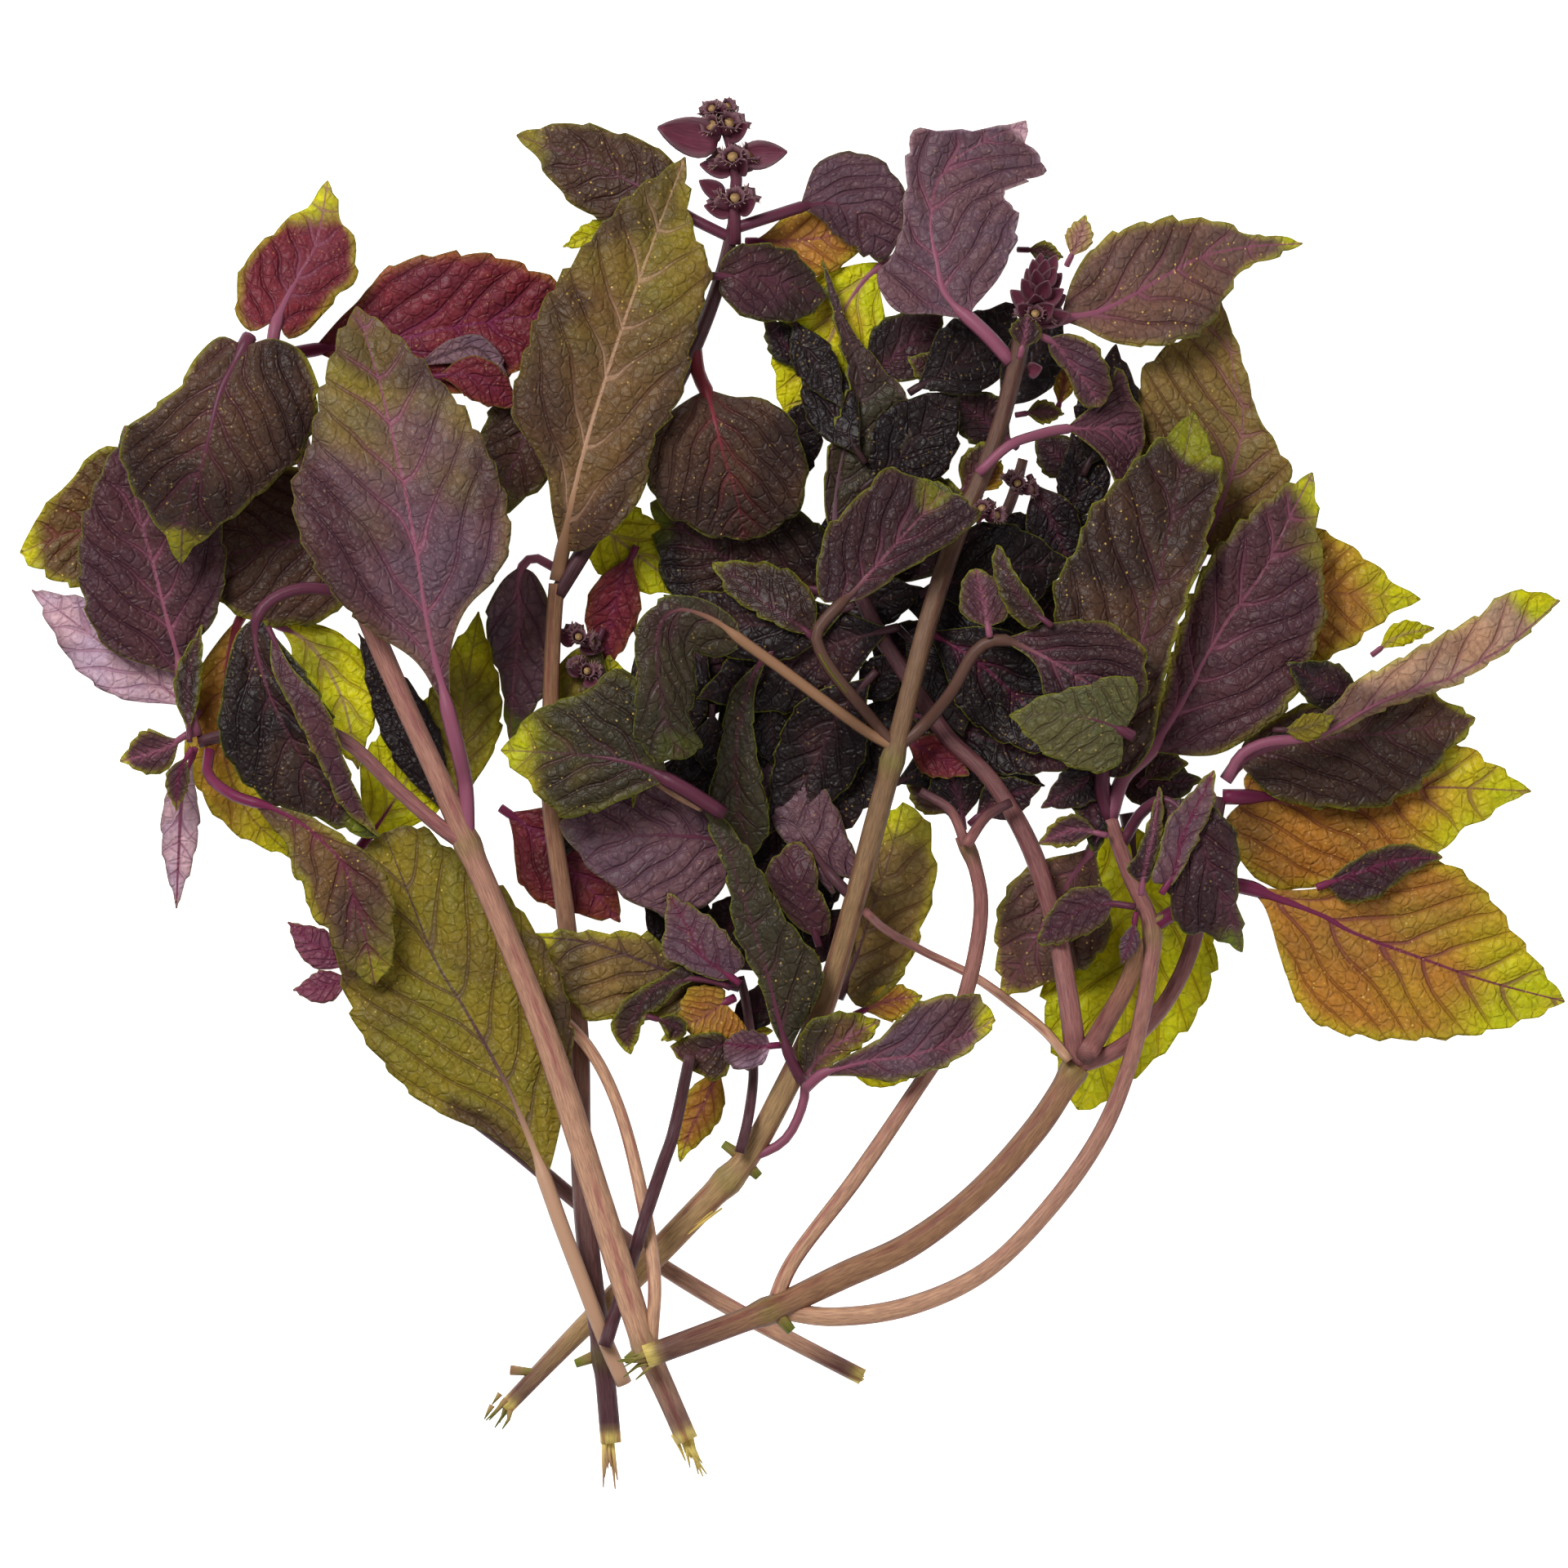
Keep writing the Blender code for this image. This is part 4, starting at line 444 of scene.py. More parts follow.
        (-19.8, -39.5)], Look("amber", "lime", "lime", "magenta", 0.4, 0.6)),
    flat_leaf("dark_jagged", "dark", [(-9, -45), (-14, -47), (-19, -48.5), (-21.6, -46.5)], 1,
        [(-11, -51), (-14, -52.8), (-19.8, -49)], [(-13, -44), (-18, -44.5)], BROWN_LIME_RIM),
    leaf("flat_middle", "purple", [(-9, -10.5), (-14, -8.8), (-22, -8), (-32, -8), (-42, -6)], 3,
        [(-11, -15), (-14, -20), (-20, -23.2), (-27, -21), (-33, -16.7), (-38, -12)], [(-12, -5),
        (-17, -1), (-24, 2), (-31, 2), (-37, -1)], Look("mauve", "mauve", "sage", "wine", 0.05, 0.5, 0.3),
        bend=(5, -3, 5, -3), arch=(3, 5, 2)),
    flat_leaf("dark_curl", "dark", [(-10.7, -35.9), (-13.3, -34.8), (-17.7, -34.2),
        (-20.7, -34.8), (-24.2, -35.5), (-27.2, -39), (-29.6, -44.2), (-28.9, -48)], 7, [(-20.3, -35.9),
        (-23.3, -39.4), (-26, -41), (-27.6, -45)], [(-19, -31.8), (-24.6, -34.6), (-30.2, -38.1),
        (-32.4, -43.5), (-29.8, -47.2)], BROWN_LIME_RIM),
    flat_leaf("dark_lobe", "dark", [(-26, -41), (-22, -42.2), (-20.3, -43.5), (-23.3, -45.5)], 1,
        2, 2.4, BROWN_LIME_RIM),
    flat_leaf("grey_purple", "purple", [(-9, -35.1), (-12.5, -32.5), (-15.5, -30.3),
        (-17.2, -28.1), (-18.1, -25.5), (-22.1, -18.6)], 2, [(-12.5, -34.4), (-16.4, -33.3),
        (-19.8, -31.8), (-23.1, -30.3), (-22.8, -26.8), (-22.4, -22.9)], [(-8.1, -31.6), (-9, -29),
        (-10.7, -26.8), (-13.3, -23.8), (-17.7, -21), (-20.3, -19.5)],
        Look("mauve", "mauve", "lime", "magenta", 0.1, 0.8, 0.8)),
    flat_leaf("lilac_low", "pale", [(-1.5, -46.3), (-6.5, -46.6), (-11.8, -45.9)], 2, [(-5, -50),
        (-9, -50.8), (-11.5, -49)], [(-4.5, -44.2), (-8.5, -43.6)],
        Look("mauve", "lilac", "mauve", "magenta", 0.1, 0.9, 0.3)),
    leaf("long_middle", "green", [(2.5, -53), (0, -48), (-2, -41), (-4, -33), (-6.5, -25),
        (-9.5, -16), (-12, -9), (-15.4, -2)], 6, [(-2.8, -43), (-5, -36), (-8.5, -29), (-10.3, -24),
        (-10.9, -18), (-12.2, -12.5), (-14.3, -7.5)], [(1.5, -44), (5, -38), (6.3, -32.5), (3.5, -28),
        (0, -24), (-2.5, -19.5), (-5.5, -14), (-8, -10), (-12, -5)], MOSS_GREEN, bend=(8, 2, 8, -2),
        arch=(2, 5, 2)),
    leaf("large_lower", "olive", [(-30, -108), (-33.5, -100), (-37.3, -90), (-41.5, -79),
        (-44, -72), (-47, -64), (-52, -52.5), (-59, -40), (-64.5, -31), (-69, -20), (-74, -7.5)], 40,
        [(-48.9, -66.5), (-55, -62.3), (-62, -59.5), (-68.5, -55.8), (-73.5, -50.3), (-78.2, -44.5),
        (-81, -37), (-82.7, -29), (-82.8, -20), (-79, -12)], [(-43, -66), (-40.7, -56), (-39.2, -46),
        (-40.3, -37.5), (-43, -30.5), (-47.5, -23.5), (-53, -17), (-61, -11.2), (-68, -6.5)],
        Look("brown", "olive", "olive", "plum", 0.45, 0.8, stalk="tan"), bend=(9, -2, 9, -2),
        arch=(0, 4, 2), widest=0.52),
    Stem("left_shoot", "shoot", [(-59, -9.5), (-64, -6), (-72, 1), (-80, 8.5), (-88, 12), (-98, 11.5),
        (-108, 9)], (1.4, 1.1), "left_stem", tones=("dusk", "plum")),
    flat_leaf("grey_drop", "purple", [(-110, 10.5), (-115, 7.5), (-122.5, 5.5)], 2, 4, 4.5,
        PURPLE_LIME_RIM),
    even_leaf("pink_hanging", "pale", [(-108.5, 8), (-111, 0), (-112, -12), (-112.5, -21.5)], 2,
        3.5, Look("lilac", "lilac", "mauve", "magenta", 0.1, 0.9, 0.4)),
    dark_leaf("edge_on", [(-109.5, 9), (-110, 20), (-107.5, 30.5)], 2.5, BROWN_LIME_RIM),
    even_leaf("small_left", "purple", [(-109, 8), (-111.5, 3), (-112, -3.5)], 1, 2.2,
        Look("plum", "mauve", "lime", "magenta", 0.1, 0.8, 0.6)),
    leaf("folded_left", "dark", [(-79, 36), (-89, 37), (-96, 33.5), (-97.2, 27), (-94, 16),
        (-88.5, 6), (-82, -2), (-74.7, -8.4)], 20, [(-93.5, 28), (-88, 22), (-83.5, 15), (-81.5, 7),
        (-79.5, 0), (-77, -5)], [(-100.5, 28.5), (-103, 20), (-104, 10), (-100, 2.5), (-94, -2.5),
        (-85, -5.3), (-79, -7.8)], Look("ink", "cocoa", "green", "wine", 0.1, 0.5), bend=(20, 8, 6, -4),
        arch=(4, 6, 2)),
    flat_leaf("edged_strip", "purple", [(-95, 30), (-90, 20), (-84.5, 9), (-80.5, -1),
        (-74.6, -8.4)], 1, [(-90.5, 22.3), (-85.4, 17.2), (-82.6, 11.5), (-79.9, 3), (-77.2, -3.7)],
        [(-94, 22.3), (-91, 16), (-88, 10), (-85, 4), (-81.3, -3)],
        Look("plum", "plum", "lime", "wine", 0.1, 0.6, 0.9)),
    Stem("purple_twig", "shoot", [(-33.5, -101), (-31, -93), (-28.5, -85), (-26, -77), (-23, -68),
        (-21, -62), (-18, -48)], (1.3, 1.1), "", tones=("plum", "plum")),
    Stem("left_stem", "stem", [(-18.5, -118), (-22, -110), (-26, -101), (-29, -92), (-35, -73), (-43, -48),
        (-51, -27), (-58.5, -9.5), (-64, 3), (-70, 16), (-77, 32), (-85, 50), (-90, 67), (-94, 80)],
        (2.7, 1.5), tones=("tan", "dusk"), nodes=(0.085, 0.545), end=0.75),
    Stem("tan_stalk", "shoot", [(-16, -3), (-20, -1), (-24, 1.5)], (0.8, 0.7), "", tones=("tan", "tan")),
    Stem("tan_twig", "shoot", [(51, -49), (47, -44), (41, -39), (34, -34), (25, -29.5), (18, -25.5),
        (14, -22)], (0.9, 0.8), "", tones=("tan", "dusk")),
    Stem("behind_twig", "shoot", [(54, -48), (58, -42), (62, -35), (64.5, -27)], (1.9, 1.6), "",
        tones=("dusk", "fawn")),
    Stem("right_stem", "stem", [(-26, -102.5), (-15, -98.5), (-3, -94), (10, -88), (22, -82.5),
        (34, -73.5), (45, -61.5), (52.5, -50)], (2.6, 2.2), tones=("fawn", "fawn"), nodes=(0.24, 0.99),
        end=0.8),
    Stem("right_side_stem", "stem", [(52.5, -50), (60, -47), (67, -41), (72, -33), (75, -24), (77, -12),
        (79, -1)], (1.6, 1.3), "right_stem", tones=("dusk", "plum")),
    Stem("inner_stem", "stem", [(-3, -94), (1, -85), (12, -70.5), (22, -56), (29, -45), (33, -34),
        (35, -22), (34, -14), (31.5, -8)], (1.5, 1.3), "right_stem", tones=("tan", "dusk"), nodes=(0.97,)),
    Stem("outer_stem", "stem", [(-3, -94), (8, -95.5), (22, -93.5), (36, -87), (48, -75), (57, -62),
        (62.5, -48), (65.5, -34), (66, -24.5), (62, -15), (58.5, -5)], (1.8, 1.4), "right_stem",
        tones=("tan", "dusk"), nodes=(0.83,)),
    Stem("fork_left", "shoot", [(32.2, -9.8), (29.5, -3.5), (24, 0)], (1.0, 0.8), "",
        tones=("dusk", "plum")),
    Stem("fork_right", "shoot", [(32.2, -9.8), (36, -4.5), (40.5, -2)], (1.0, 0.8), "",
        tones=("dusk", "plum")),
    flat_leaf("low_right", "purple", [(63, -21), (58, -20.5), (52, -22), (45.3, -27.5)], 4,
        [(57, -24.5), (51, -27.3), (47, -28)], [(57.5, -17.5), (51.5, -17.8), (47.5, -22)],
        Look("plum", "plum", "lime", "wine", 0.15, 0.7, 0.8)),
    even_leaf("hanging_pink", "pale", [(63.2, -22), (62.2, -27), (60.5, -31.5)], 1, 1.8,
        Look("mauve", "lilac", "mauve", "magenta", 0.1, 0.7, 0.3)),
    even_leaf("small_purple", "purple", [(58, -8), (52, -7), (45.5, -9.5)], 2, 3,
        PURPLE_LIME_RIM),
    leaf("bright_right", "lime", [(66.3, -24.5), (70.5, -21.8), (75, -19), (79, -17.1),
        (83.2, -17.4), (87.6, -18.9), (97, -22.5), (103, -25.8), (115, -30.3), (127, -34.5),
        (141.7, -38.4)], 20, [(92.2, -18.2), (98.8, -17.1), (101.5, -14.5), (104.5, -11.4), (110, -10.3),
        (115.6, -11.4), (121.2, -13.6), (127.8, -19.2), (132.3, -25.8), (137.4, -32.4), (140.2, -36.2)],
        [(86.5, -20.5), (88, -24.5), (89.5, -30), (92, -37.2), (96.4, -42.5), (104.8, -44.8), (113, -45.2),
        (122, -44.7), (130, -43.1), (135, -41.4), (139.2, -39.5)],
        Look("rust", "amber", "lime", "magenta", 0.55, 0.9), "outer_stem", bend=(8, 8, 3, 3),
        arch=(0, 2, 0)),
    flat_leaf("purple_fold", "purple", [(96, -17.5), (103, -15), (111, -12.5), (119, -12)], 1,
        [(103, -12.3), (110, -9.6), (115, -10.2)], [(101, -20), (107, -19.5), (112, -15.5)],
        Look("aubergine", "plum", "lime", "magenta", 0.1, 0.8, 0.6)),
    Stem("top_shoot", "shoot", [(-42.5, 36), (-37, 45), (-31, 56), (-24, 68), (-17, 82), (-12.5, 94),
        (-10, 104)], (1.5, 1.2), "back_stem", tones=("plum", "plum")),
    flat_leaf("dark_cap", "dark", [(-14.3, 94.2), (-7, 94.2), (-1.7, 93), (3, 91.7), (7, 90.5)],
        2, [(-12.3, 97), (-9, 100), (-5.7, 100.3), (-1.7, 99.8), (1, 98.7), (5, 94)], [(-12.7, 91.5),
        (-9.7, 87.7), (-7, 86.3), (-3, 85.9), (1.7, 86.3), (5, 88.5)],
        Look("cocoa", "plum", "green", "wine", 0.1, 0.5, 0.6)),
    leaf("pendent_right", "dark", [(60.8, -9.5), (64.5, -3.5), (69, -1.6), (73, -6), (77, -15),
        (80, -22), (82.4, -29.2)], 10, [(73.5, -1.5), (78, -3.4), (81.5, -8.2), (81.5, -14), (81.5, -20),
        (82.5, -25)], [(68, -6), (67.5, -12), (68.5, -18), (71, -25), (76, -25.8)],
        Look("aubergine", "plum", "green", "wine", 0.1), "outer_stem", bend=(8, -4, 8, -4),
        arch=(2, 5, 1)),
    flat_leaf("twin_left", "purple", [(64, -18.9), (64.6, -14), (66.2, -7), (67.3, 0.8)], 2,
        [(61.3, -14.1), (62.8, -12), (64.9, -6.5), (66.1, -3)], [(65.5, -15.6), (67.6, -9), (68, -3)],
        PURPLE_LIME_RIM),
    flat_leaf("twin_right", "purple", [(67.6, -18.6), (70, -14.4), (71.2, -9), (73, -4.8),
        (77.2, 3.8)], 2, [(65.8, -16.2), (67.3, -10.8), (68.5, -5.4), (72.5, -0.9), (75.4, 2.4)],
        [(69.4, -16.8), (72.3, -12.6), (75.6, -6), (77.2, -1.8), (77.2, 1.8)],
        Look("mauve", "mauve", "lime", "magenta", 0.1, 0.9, 0.8)),
    flat_leaf("small_dark_right", "dark", [(64, 0.8), (68.5, 4.8), (73.3, 5.1)], 1, 2.8, 3,
        BROWN_LIME_RIM),
    leaf("round_top", "green", [(-17.5, 84), (-16.7, 77), (-15, 73), (-13.7, 68.3), (-12, 61.7),
        (-9.7, 54.3), (-8, 46)], 11, [(-10, 72), (-5.7, 72), (-1, 70), (1.9, 65), (3.3, 60), (2.9, 54),
        (-1, 49)], [(-18.5, 71.5), (-22.5, 68.5), (-25.5, 64), (-26.2, 58.5), (-24, 52.5), (-16, 47.5)],
        Look("cocoa", "brown", "green", "crimson", 0.12), "top_shoot", bend=(8, -4, 8, -4),
        arch=(2, 5, 1)),
    leaf("ribbed_centre", "green", [(12, 38), (8.5, 48), (9, 58), (11.5, 68), (13.3, 75),
        (11, 83), (8, 91), (6, 97.3)], 4, 3, [(20, 44), (24, 51), (24.3, 59), (23.7, 66), (22.3, 71.7),
        (19, 75.5), (15, 80.2), (11.5, 84.5), (9.3, 89.5), (7.6, 94)],
        Look("cocoa", "moss", "mauve", "mauve", 0.3, 0.5, 0.9), bend=(30, 60, 10, 0), arch=(4, 7, 6)),
    flat_leaf("forked", "purple", [(34.5, 58), (40, 63), (45, 65), (50, 66.2), (55, 66.4),
        (60, 66.2), (65, 63.2)], 19, [(52, 67.4), (55, 70), (58, 73), (60.3, 78.2), (62.5, 73),
        (64.6, 69)], [(52.5, 65.4), (56, 62.4), (58.5, 58.9), (60.3, 54.9), (62, 57.9), (63.5, 61)],
        Look("plum", "plum", "lime", "rose", 0.1, 0.8, 0.8)),
    flat_leaf("pointed_centre", "purple", [(45.5, 83.3), (49, 81.3), (51.2, 78.3), (54, 75),
        (57, 70.3)], 1, [(51, 83.5), (55.5, 82), (57.3, 79.5), (58.5, 76.5), (58.8, 73)], [(48, 79.5),
        (50.8, 76), (52, 73), (53.8, 70.5)], Look("plum", "mauve", "lime", "rose", 0.1, 0.8, 0.6)),
    dark_leaf("bud_centre", [(42, 79), (43, 83), (43.5, 87.2)], 3, PURPLE_LIME_RIM),
    flat_leaf("wide_dark", "dark", [(42, 99.5), (46, 99.2), (50.3, 98)], 1, 2, 2.2,
        BROWN_LIME_RIM),
    even_leaf("green_shade", "green", [(-27.5, 25), (-27, 12), (-28.5, -3)], 1, 3.2,
        Look("moss", "olive", "lime", "wine", 0.4, 0.5, 0.8)),
    leaf("green_middle", "olive", [(-12, -4), (-20, 1), (-27, 4.5), (-34, 6.2), (-43, 7),
        (-52.5, 7.5)], 12, [(-25, 1), (-31, -2), (-38, -4.7), (-42, -4), (-46, 0), (-50, 4.6)], [(-24, 10),
        (-27, 19.5), (-30.5, 22.5), (-35, 20), (-39, 17), (-44, 16), (-48.5, 12)],
        Look("moss", "olive", "lime", "wine", 0.45, 0.6), bend=(8, -5, 8, -5), arch=(3, 6, 1)),
    leaf("curled_middle", "dark", [(19.5, 8), (14, 11), (5, 17.5), (-2, 22.7), (-8, 27),
        (-14, 31.3), (-20, 33), (-23.3, 30.5), (-24, 25), (-23.3, 17), (-21.5, 10), (-18.5, 6)], 35,
        [(-9.5, 25.8), (-13, 24.2), (-17, 25), (-16.6, 21), (-17, 17), (-18, 13), (-16, 8.5)], [(-10, 31),
        (-15, 34.6), (-21, 35.6), (-26, 32.7), (-28.3, 28), (-27.5, 22), (-28, 15), (-28.2, 10),
        (-24.5, 6)], Look("moss", "cocoa", "green", "wine", 0.1, stalk="fawn"), "centre_stem",
        bend=(-6, -20, -8, -20), arch=(4, 6, 0)),
    leaf("small_lower", "olive", [(-8, -67.5), (-1, -64), (2.5, -57.5), (3.5, -51.5), (8, -46.5),
        (16.6, -41.7)], 18, [(2, -49), (1.8, -45.5), (3.5, -41.9), (7, -40.6), (11, -40.2), (14, -41)],
        [(7, -50.3), (12, -47.3), (15, -44.8)], Look("moss", "umber", "lime", "rose", 0.2, 0.8, 0.9),
        "centre_stem", bend=(10, 2, 10, 2), arch=(0, 5, 4)),
    leaf("rolled_lower", "purple", [(3, -54), (6, -51.3), (10, -50), (15, -48.8), (22, -48),
        (30, -45.3), (37.5, -41.5)], 4, [(11, -48), (16, -45), (19.5, -41.5), (24, -38), (30, -36.8),
        (35, -37.7)], [(12, -51.6), (18, -52.8), (25, -51.4), (31, -48.5), (35, -45)],
        Look("plum", "mauve", "lime", "rose", 0.15, 0.7), bend=(10, 2, 14, 20), arch=(1, 5, 3)),
    flat_leaf("pale_fold", "green", [(34, 50), (27, 52.5), (19.5, 56.5)], 1, 3.6, 3.8,
        SAGE_LIME_RIM),
    flat_leaf("lime_edged", "dark", [(5, 27.5), (2, 30.3), (-3.8, 34), (-8, 38), (-14, 41.8)], 2,
        [(0, 29.5), (-5, 31.8), (-10.5, 35.5), (-12.5, 39)], [(4.8, 31), (4.8, 35), (1.4, 39.6),
        (-3, 41.5), (-8.5, 42), (-12, 42)], BROWN_LIME_RIM),
    leaf("purple_centre", "purple", [(19.5, 8), (13.5, 15), (7.5, 22.3), (5, 27.5), (5.7, 30.1),
        (9.6, 34.4), (12.7, 37.5), (19, 44.5), (24, 50), (28, 54.5)], 33, [(6, 34.5), (5, 40), (6.3, 46.5),
        (10.3, 51.5), (13.5, 54.5), (16.8, 58.2), (21.5, 57.8)], [(14, 35.6), (18, 38), (22, 40.6),
        (30, 45.5), (34.5, 50), (32.5, 53)], PURPLE_BARK_STALK, "centre_stem", bend=(6, 0, 8, -2),
        arch=(3, 7, 5)),
    leaf("purple_right", "purple", [(58.5, -5), (61, 2.5), (66.2, 7.6), (73, 18), (75.7, 23.4),
        (80.2, 31.2), (86, 39), (89, 44.7), (92, 51), (95.8, 58.4)], 15, [(66.8, 12), (68.3, 18),
        (70.5, 27), (72.3, 33), (74.5, 38.5), (77, 43), (80.5, 47), (85.3, 51.7), (90.3, 55.2)],
        [(75, 6.5), (80, 7.4), (85.3, 10.4), (91, 14.6), (94.5, 20.5), (96.2, 26), (98.2, 32.5),
        (97.5, 38), (97.8, 42), (96.6, 48), (96.4, 53.5)],
        Look("plum", "plum", "lime", "rose", 0.25, 0.8, 0.8), "outer_stem", bend=(10, -3, 10, -3),
        arch=(2, 6, 2)),
    leaf("tall_right", "olive", [(58.5, -5), (57, 1), (58, 7), (60.6, 15.4), (64.6, 28.2),
        (67.2, 38), (70.2, 52), (74, 69.4)], 8, [(55.5, 7), (53, 14), (50, 23), (48.3, 31), (48.3, 38),
        (50.5, 41.3), (52.5, 45), (54.5, 50.5), (60, 56.5), (65, 62), (69.3, 65.2)], [(61.5, 3), (65.8, 8),
        (67.2, 14), (69.5, 24), (71.2, 30), (73.6, 37.4), (75.3, 41), (76.6, 47), (78, 52), (79.2, 56.5),
        (78.8, 59.6), (77, 62.5), (75.4, 66.3)], Look("cocoa", "brown", "lime", "wine", 0.12, 0.6, 0.9),
        "outer_stem", bend=(8, -3, 8, 2), arch=(2, 4, 1)),
    leaf("side_centre", "purple", [(19.5, 8), (24, 11.5), (29.5, 18), (33.5, 25), (37, 27.4),
        (41, 27), (49, 23), (56, 18.5), (62, 14)], 29, [(44, 29.3), (48, 30.7), (56.5, 31.2), (60, 29.6),
        (63.4, 27.2), (64.8, 24), (64.6, 18.5)], [(44, 24.2), (45.5, 21), (46.5, 17), (50, 13.5),
        (56, 11.5)], PURPLE_BARK_STALK, "centre_stem", bend=(6, 0, 6, 0), arch=(2, 3, 1)),
    flat_leaf("pink_centre", "purple", [(36.5, 28), (35.5, 34), (34, 40.5)], 1, [(31.5, 32),
        (31.2, 36.5), (32.2, 39.3)], [(39.6, 31.5), (39.8, 35.5), (37.3, 38.8)],
        Look("plum", "mauve", "lime", "rose", 0.15, 0.9, 0.9)),
    flat_leaf("slim_centre", "dark", [(47.8, 30), (43, 34), (40, 38.6), (37.8, 44.8)], 1,
        [(43.8, 29.6), (40.6, 31.8), (38.6, 35), (37, 41)], [(46, 32.6), (44, 35.8), (41.2, 39.6),
        (39.2, 43.4)], BROWN_LIME_RIM),
    leaf("green_right", "green", [(62.5, 10), (57, 12.5), (50, 14), (40, 13.8)], 2, [(60, 5),
        (55, 3.5), (49, 5.5), (45.2, 8.2), (42, 12)], [(63, 15), (63, 20), (59.5, 21), (53.5, 19.2),
        (46, 17.2), (42.5, 15.1)], SAGE_LIME_RIM, bend=(4, -3, 4, -3), arch=(0, 1.5, 0.5)),
    dark_leaf("dark_behind", [(107, 15.5), (99, 19), (91, 23.5)], 4.5, DARK_GREEN_RIM),
    leaf("folded_right", "pale", [(80, 2), (82.5, 6.6), (87.4, 9), (95, 9.8), (100, 11.8),
        (105, 14.8), (110, 17.2), (116, 19.3), (121, 20.8), (127, 24.2), (132, 27.2), (141.3, 35)], 15,
        [(98, 14.5), (100.8, 17), (103, 20), (107, 22), (114, 25.8), (120, 29), (127, 33), (130.5, 36),
        (136, 36.6)], 2.2, Look("clay", "tan", "lime", "rose", 0.15, 0.8), bend=(8, 4, -30, -50),
        arch=(2, 4, 3)),
    flat_leaf("lime_front", "lime", [(88.5, 11.2), (94, 11.5), (99.7, 13.8)], 1, 2.4, 2.6,
        Look("olive", "green", "lime", "plum", 0.5, 0.5, 0.9)),
    leaf("upper_right", "amber", [(44, 85), (50, 86.3), (56, 87.5), (59.7, 89), (65, 92),
        (70, 95), (76, 98), (84, 99.8), (94.3, 100.6)], 6, [(50.5, 89.5), (52, 94), (54.8, 98.5),
        (59.5, 102.2), (66.5, 104.5), (73, 104.9), (79.3, 104.3), (85, 101.8), (89, 102)], [(54, 84.7),
        (57, 83), (61, 81.6), (68, 81.3), (74, 83.2), (77.5, 86), (79.2, 89.4), (81, 92.5), (83.4, 96),
        (88.5, 97.8)], Look("brown", "clay", "lime", "rose", 0.18, 0.8), "centre_stem",
        bend=(8, -3, 8, -3), arch=(2, 6, 2), widest=0.36),
    leaf("curled_top", "purple", [(40.5, 78.5), (36.5, 83), (33, 86.3), (30, 89), (28, 92),
        (27, 97), (26, 102), (26.1, 107), (27.2, 111.5), (29.8, 115), (34, 118), (43.5, 122.8)], 11,
        [(26.5, 87.3), (21, 87.3), (18.3, 89), (16.3, 92.3), (17, 95.5), (19.5, 99), (20.8, 105),
        (21.2, 112), (21.7, 118), (23, 121), (30, 120.8), (37, 121.4)], [(33.6, 88.2), (35.6, 90.5),
        (38.4, 94), (40.6, 98), (41.8, 101.5), (41.5, 106.4), (39, 108.6), (43, 111.5), (46.5, 113),
        (46, 116), (43.6, 118.5)], Look("mauve", "mauve", "lilac", "rose", 0.1, 0.7, 0.3), "centre_stem",
        bend=(6, 4, 8, -3), arch=(2, 8, 7)),
    leaf("drooping_left", "dark", [(-98.3, 82.9), (-101, 77.5), (-103.6, 72), (-106.4, 60.7),
        (-110, 50.7), (-110.9, 41.5)], 2, [(-94, 82.6), (-88.3, 80), (-85.6, 74), (-85.7, 67),
        (-89.3, 60.3), (-94, 56.2), (-99.3, 51.6), (-104.3, 48), (-108, 45.3)], [(-103.5, 82.8),
        (-108, 79), (-110.9, 74.3), (-116.4, 69.6), (-121.4, 65.7), (-121.4, 59.5), (-119, 54.5),
        (-116.2, 50.3), (-113.6, 46.4)], Look("cocoa", "brown", "lime", "wine", 0.12, 0.7, 0.9),
        bend=(-6, -14, -6, -14), arch=(4, 9, 1), widest=0.45),
    leaf("amber_left", "amber", [(-106, 7.5), (-106, 3), (-101, -0.8), (-94, -3), (-88.5, -6),
        (-84.5, -9.5), (-81, -13.5), (-78.8, -21), (-77, -27), (-75.5, -35.3)], 15, [(-88, -4.3),
        (-84, -6.3), (-80.5, -8.5), (-77, -11), (-73.5, -14.5), (-72, -19), (-72, -25), (-72, -30.3),
        (-74, -33.3)], [(-94, -6.5), (-91.5, -9.5), (-90.5, -14.5), (-88.5, -17.5), (-87, -22.5),
        (-84.3, -25), (-82.3, -29), (-78.7, -33.2)], Look("bark", "umber", "lime", "magenta", 0.35, 0.8),
        "left_shoot", bend=(14, 2, 14, 2), arch=(1, 6, 2)),
    leaf("broad_left", "purple", [(-58.5, -9.5), (-59, 2), (-61.8, 14.3), (-65.2, 28), (-69, 51),
        (-74, 72.5), (-78.8, 88.3)], 24, [(-67.5, 23.5), (-76.7, 29.6), (-84, 37), (-89, 46.5),
        (-90.3, 55), (-87.4, 62), (-85.5, 71), (-83.8, 77), (-82, 82.3)], [(-61.6, 25), (-58.8, 32.7),
        (-53, 38.8), (-50.3, 46), (-52.2, 56.4), (-57.5, 67.2), (-63.7, 74.8), (-71.3, 82.7)],
        Look("plum", "mauve", "olive", "rose", 0.55, 0.9, 0.5, stalk="rose"), "left_stem",
        bend=(12, -3, 12, -3), arch=(2, 9, 3)),
    leaf("tall_front", "olive", [(-42.5, 38.5), (-41.5, 43.5), (-39.9, 51), (-38.3, 58.7),
        (-35.3, 69.5), (-31.9, 80.2), (-28.8, 89.4), (-24.6, 101), (-19, 116)], 5, [(-43, 51), (-44, 57.5),
        (-46.5, 62.5), (-49.9, 66.8), (-50.6, 72), (-48.3, 80.2), (-45.3, 88.6), (-39.9, 96.3),
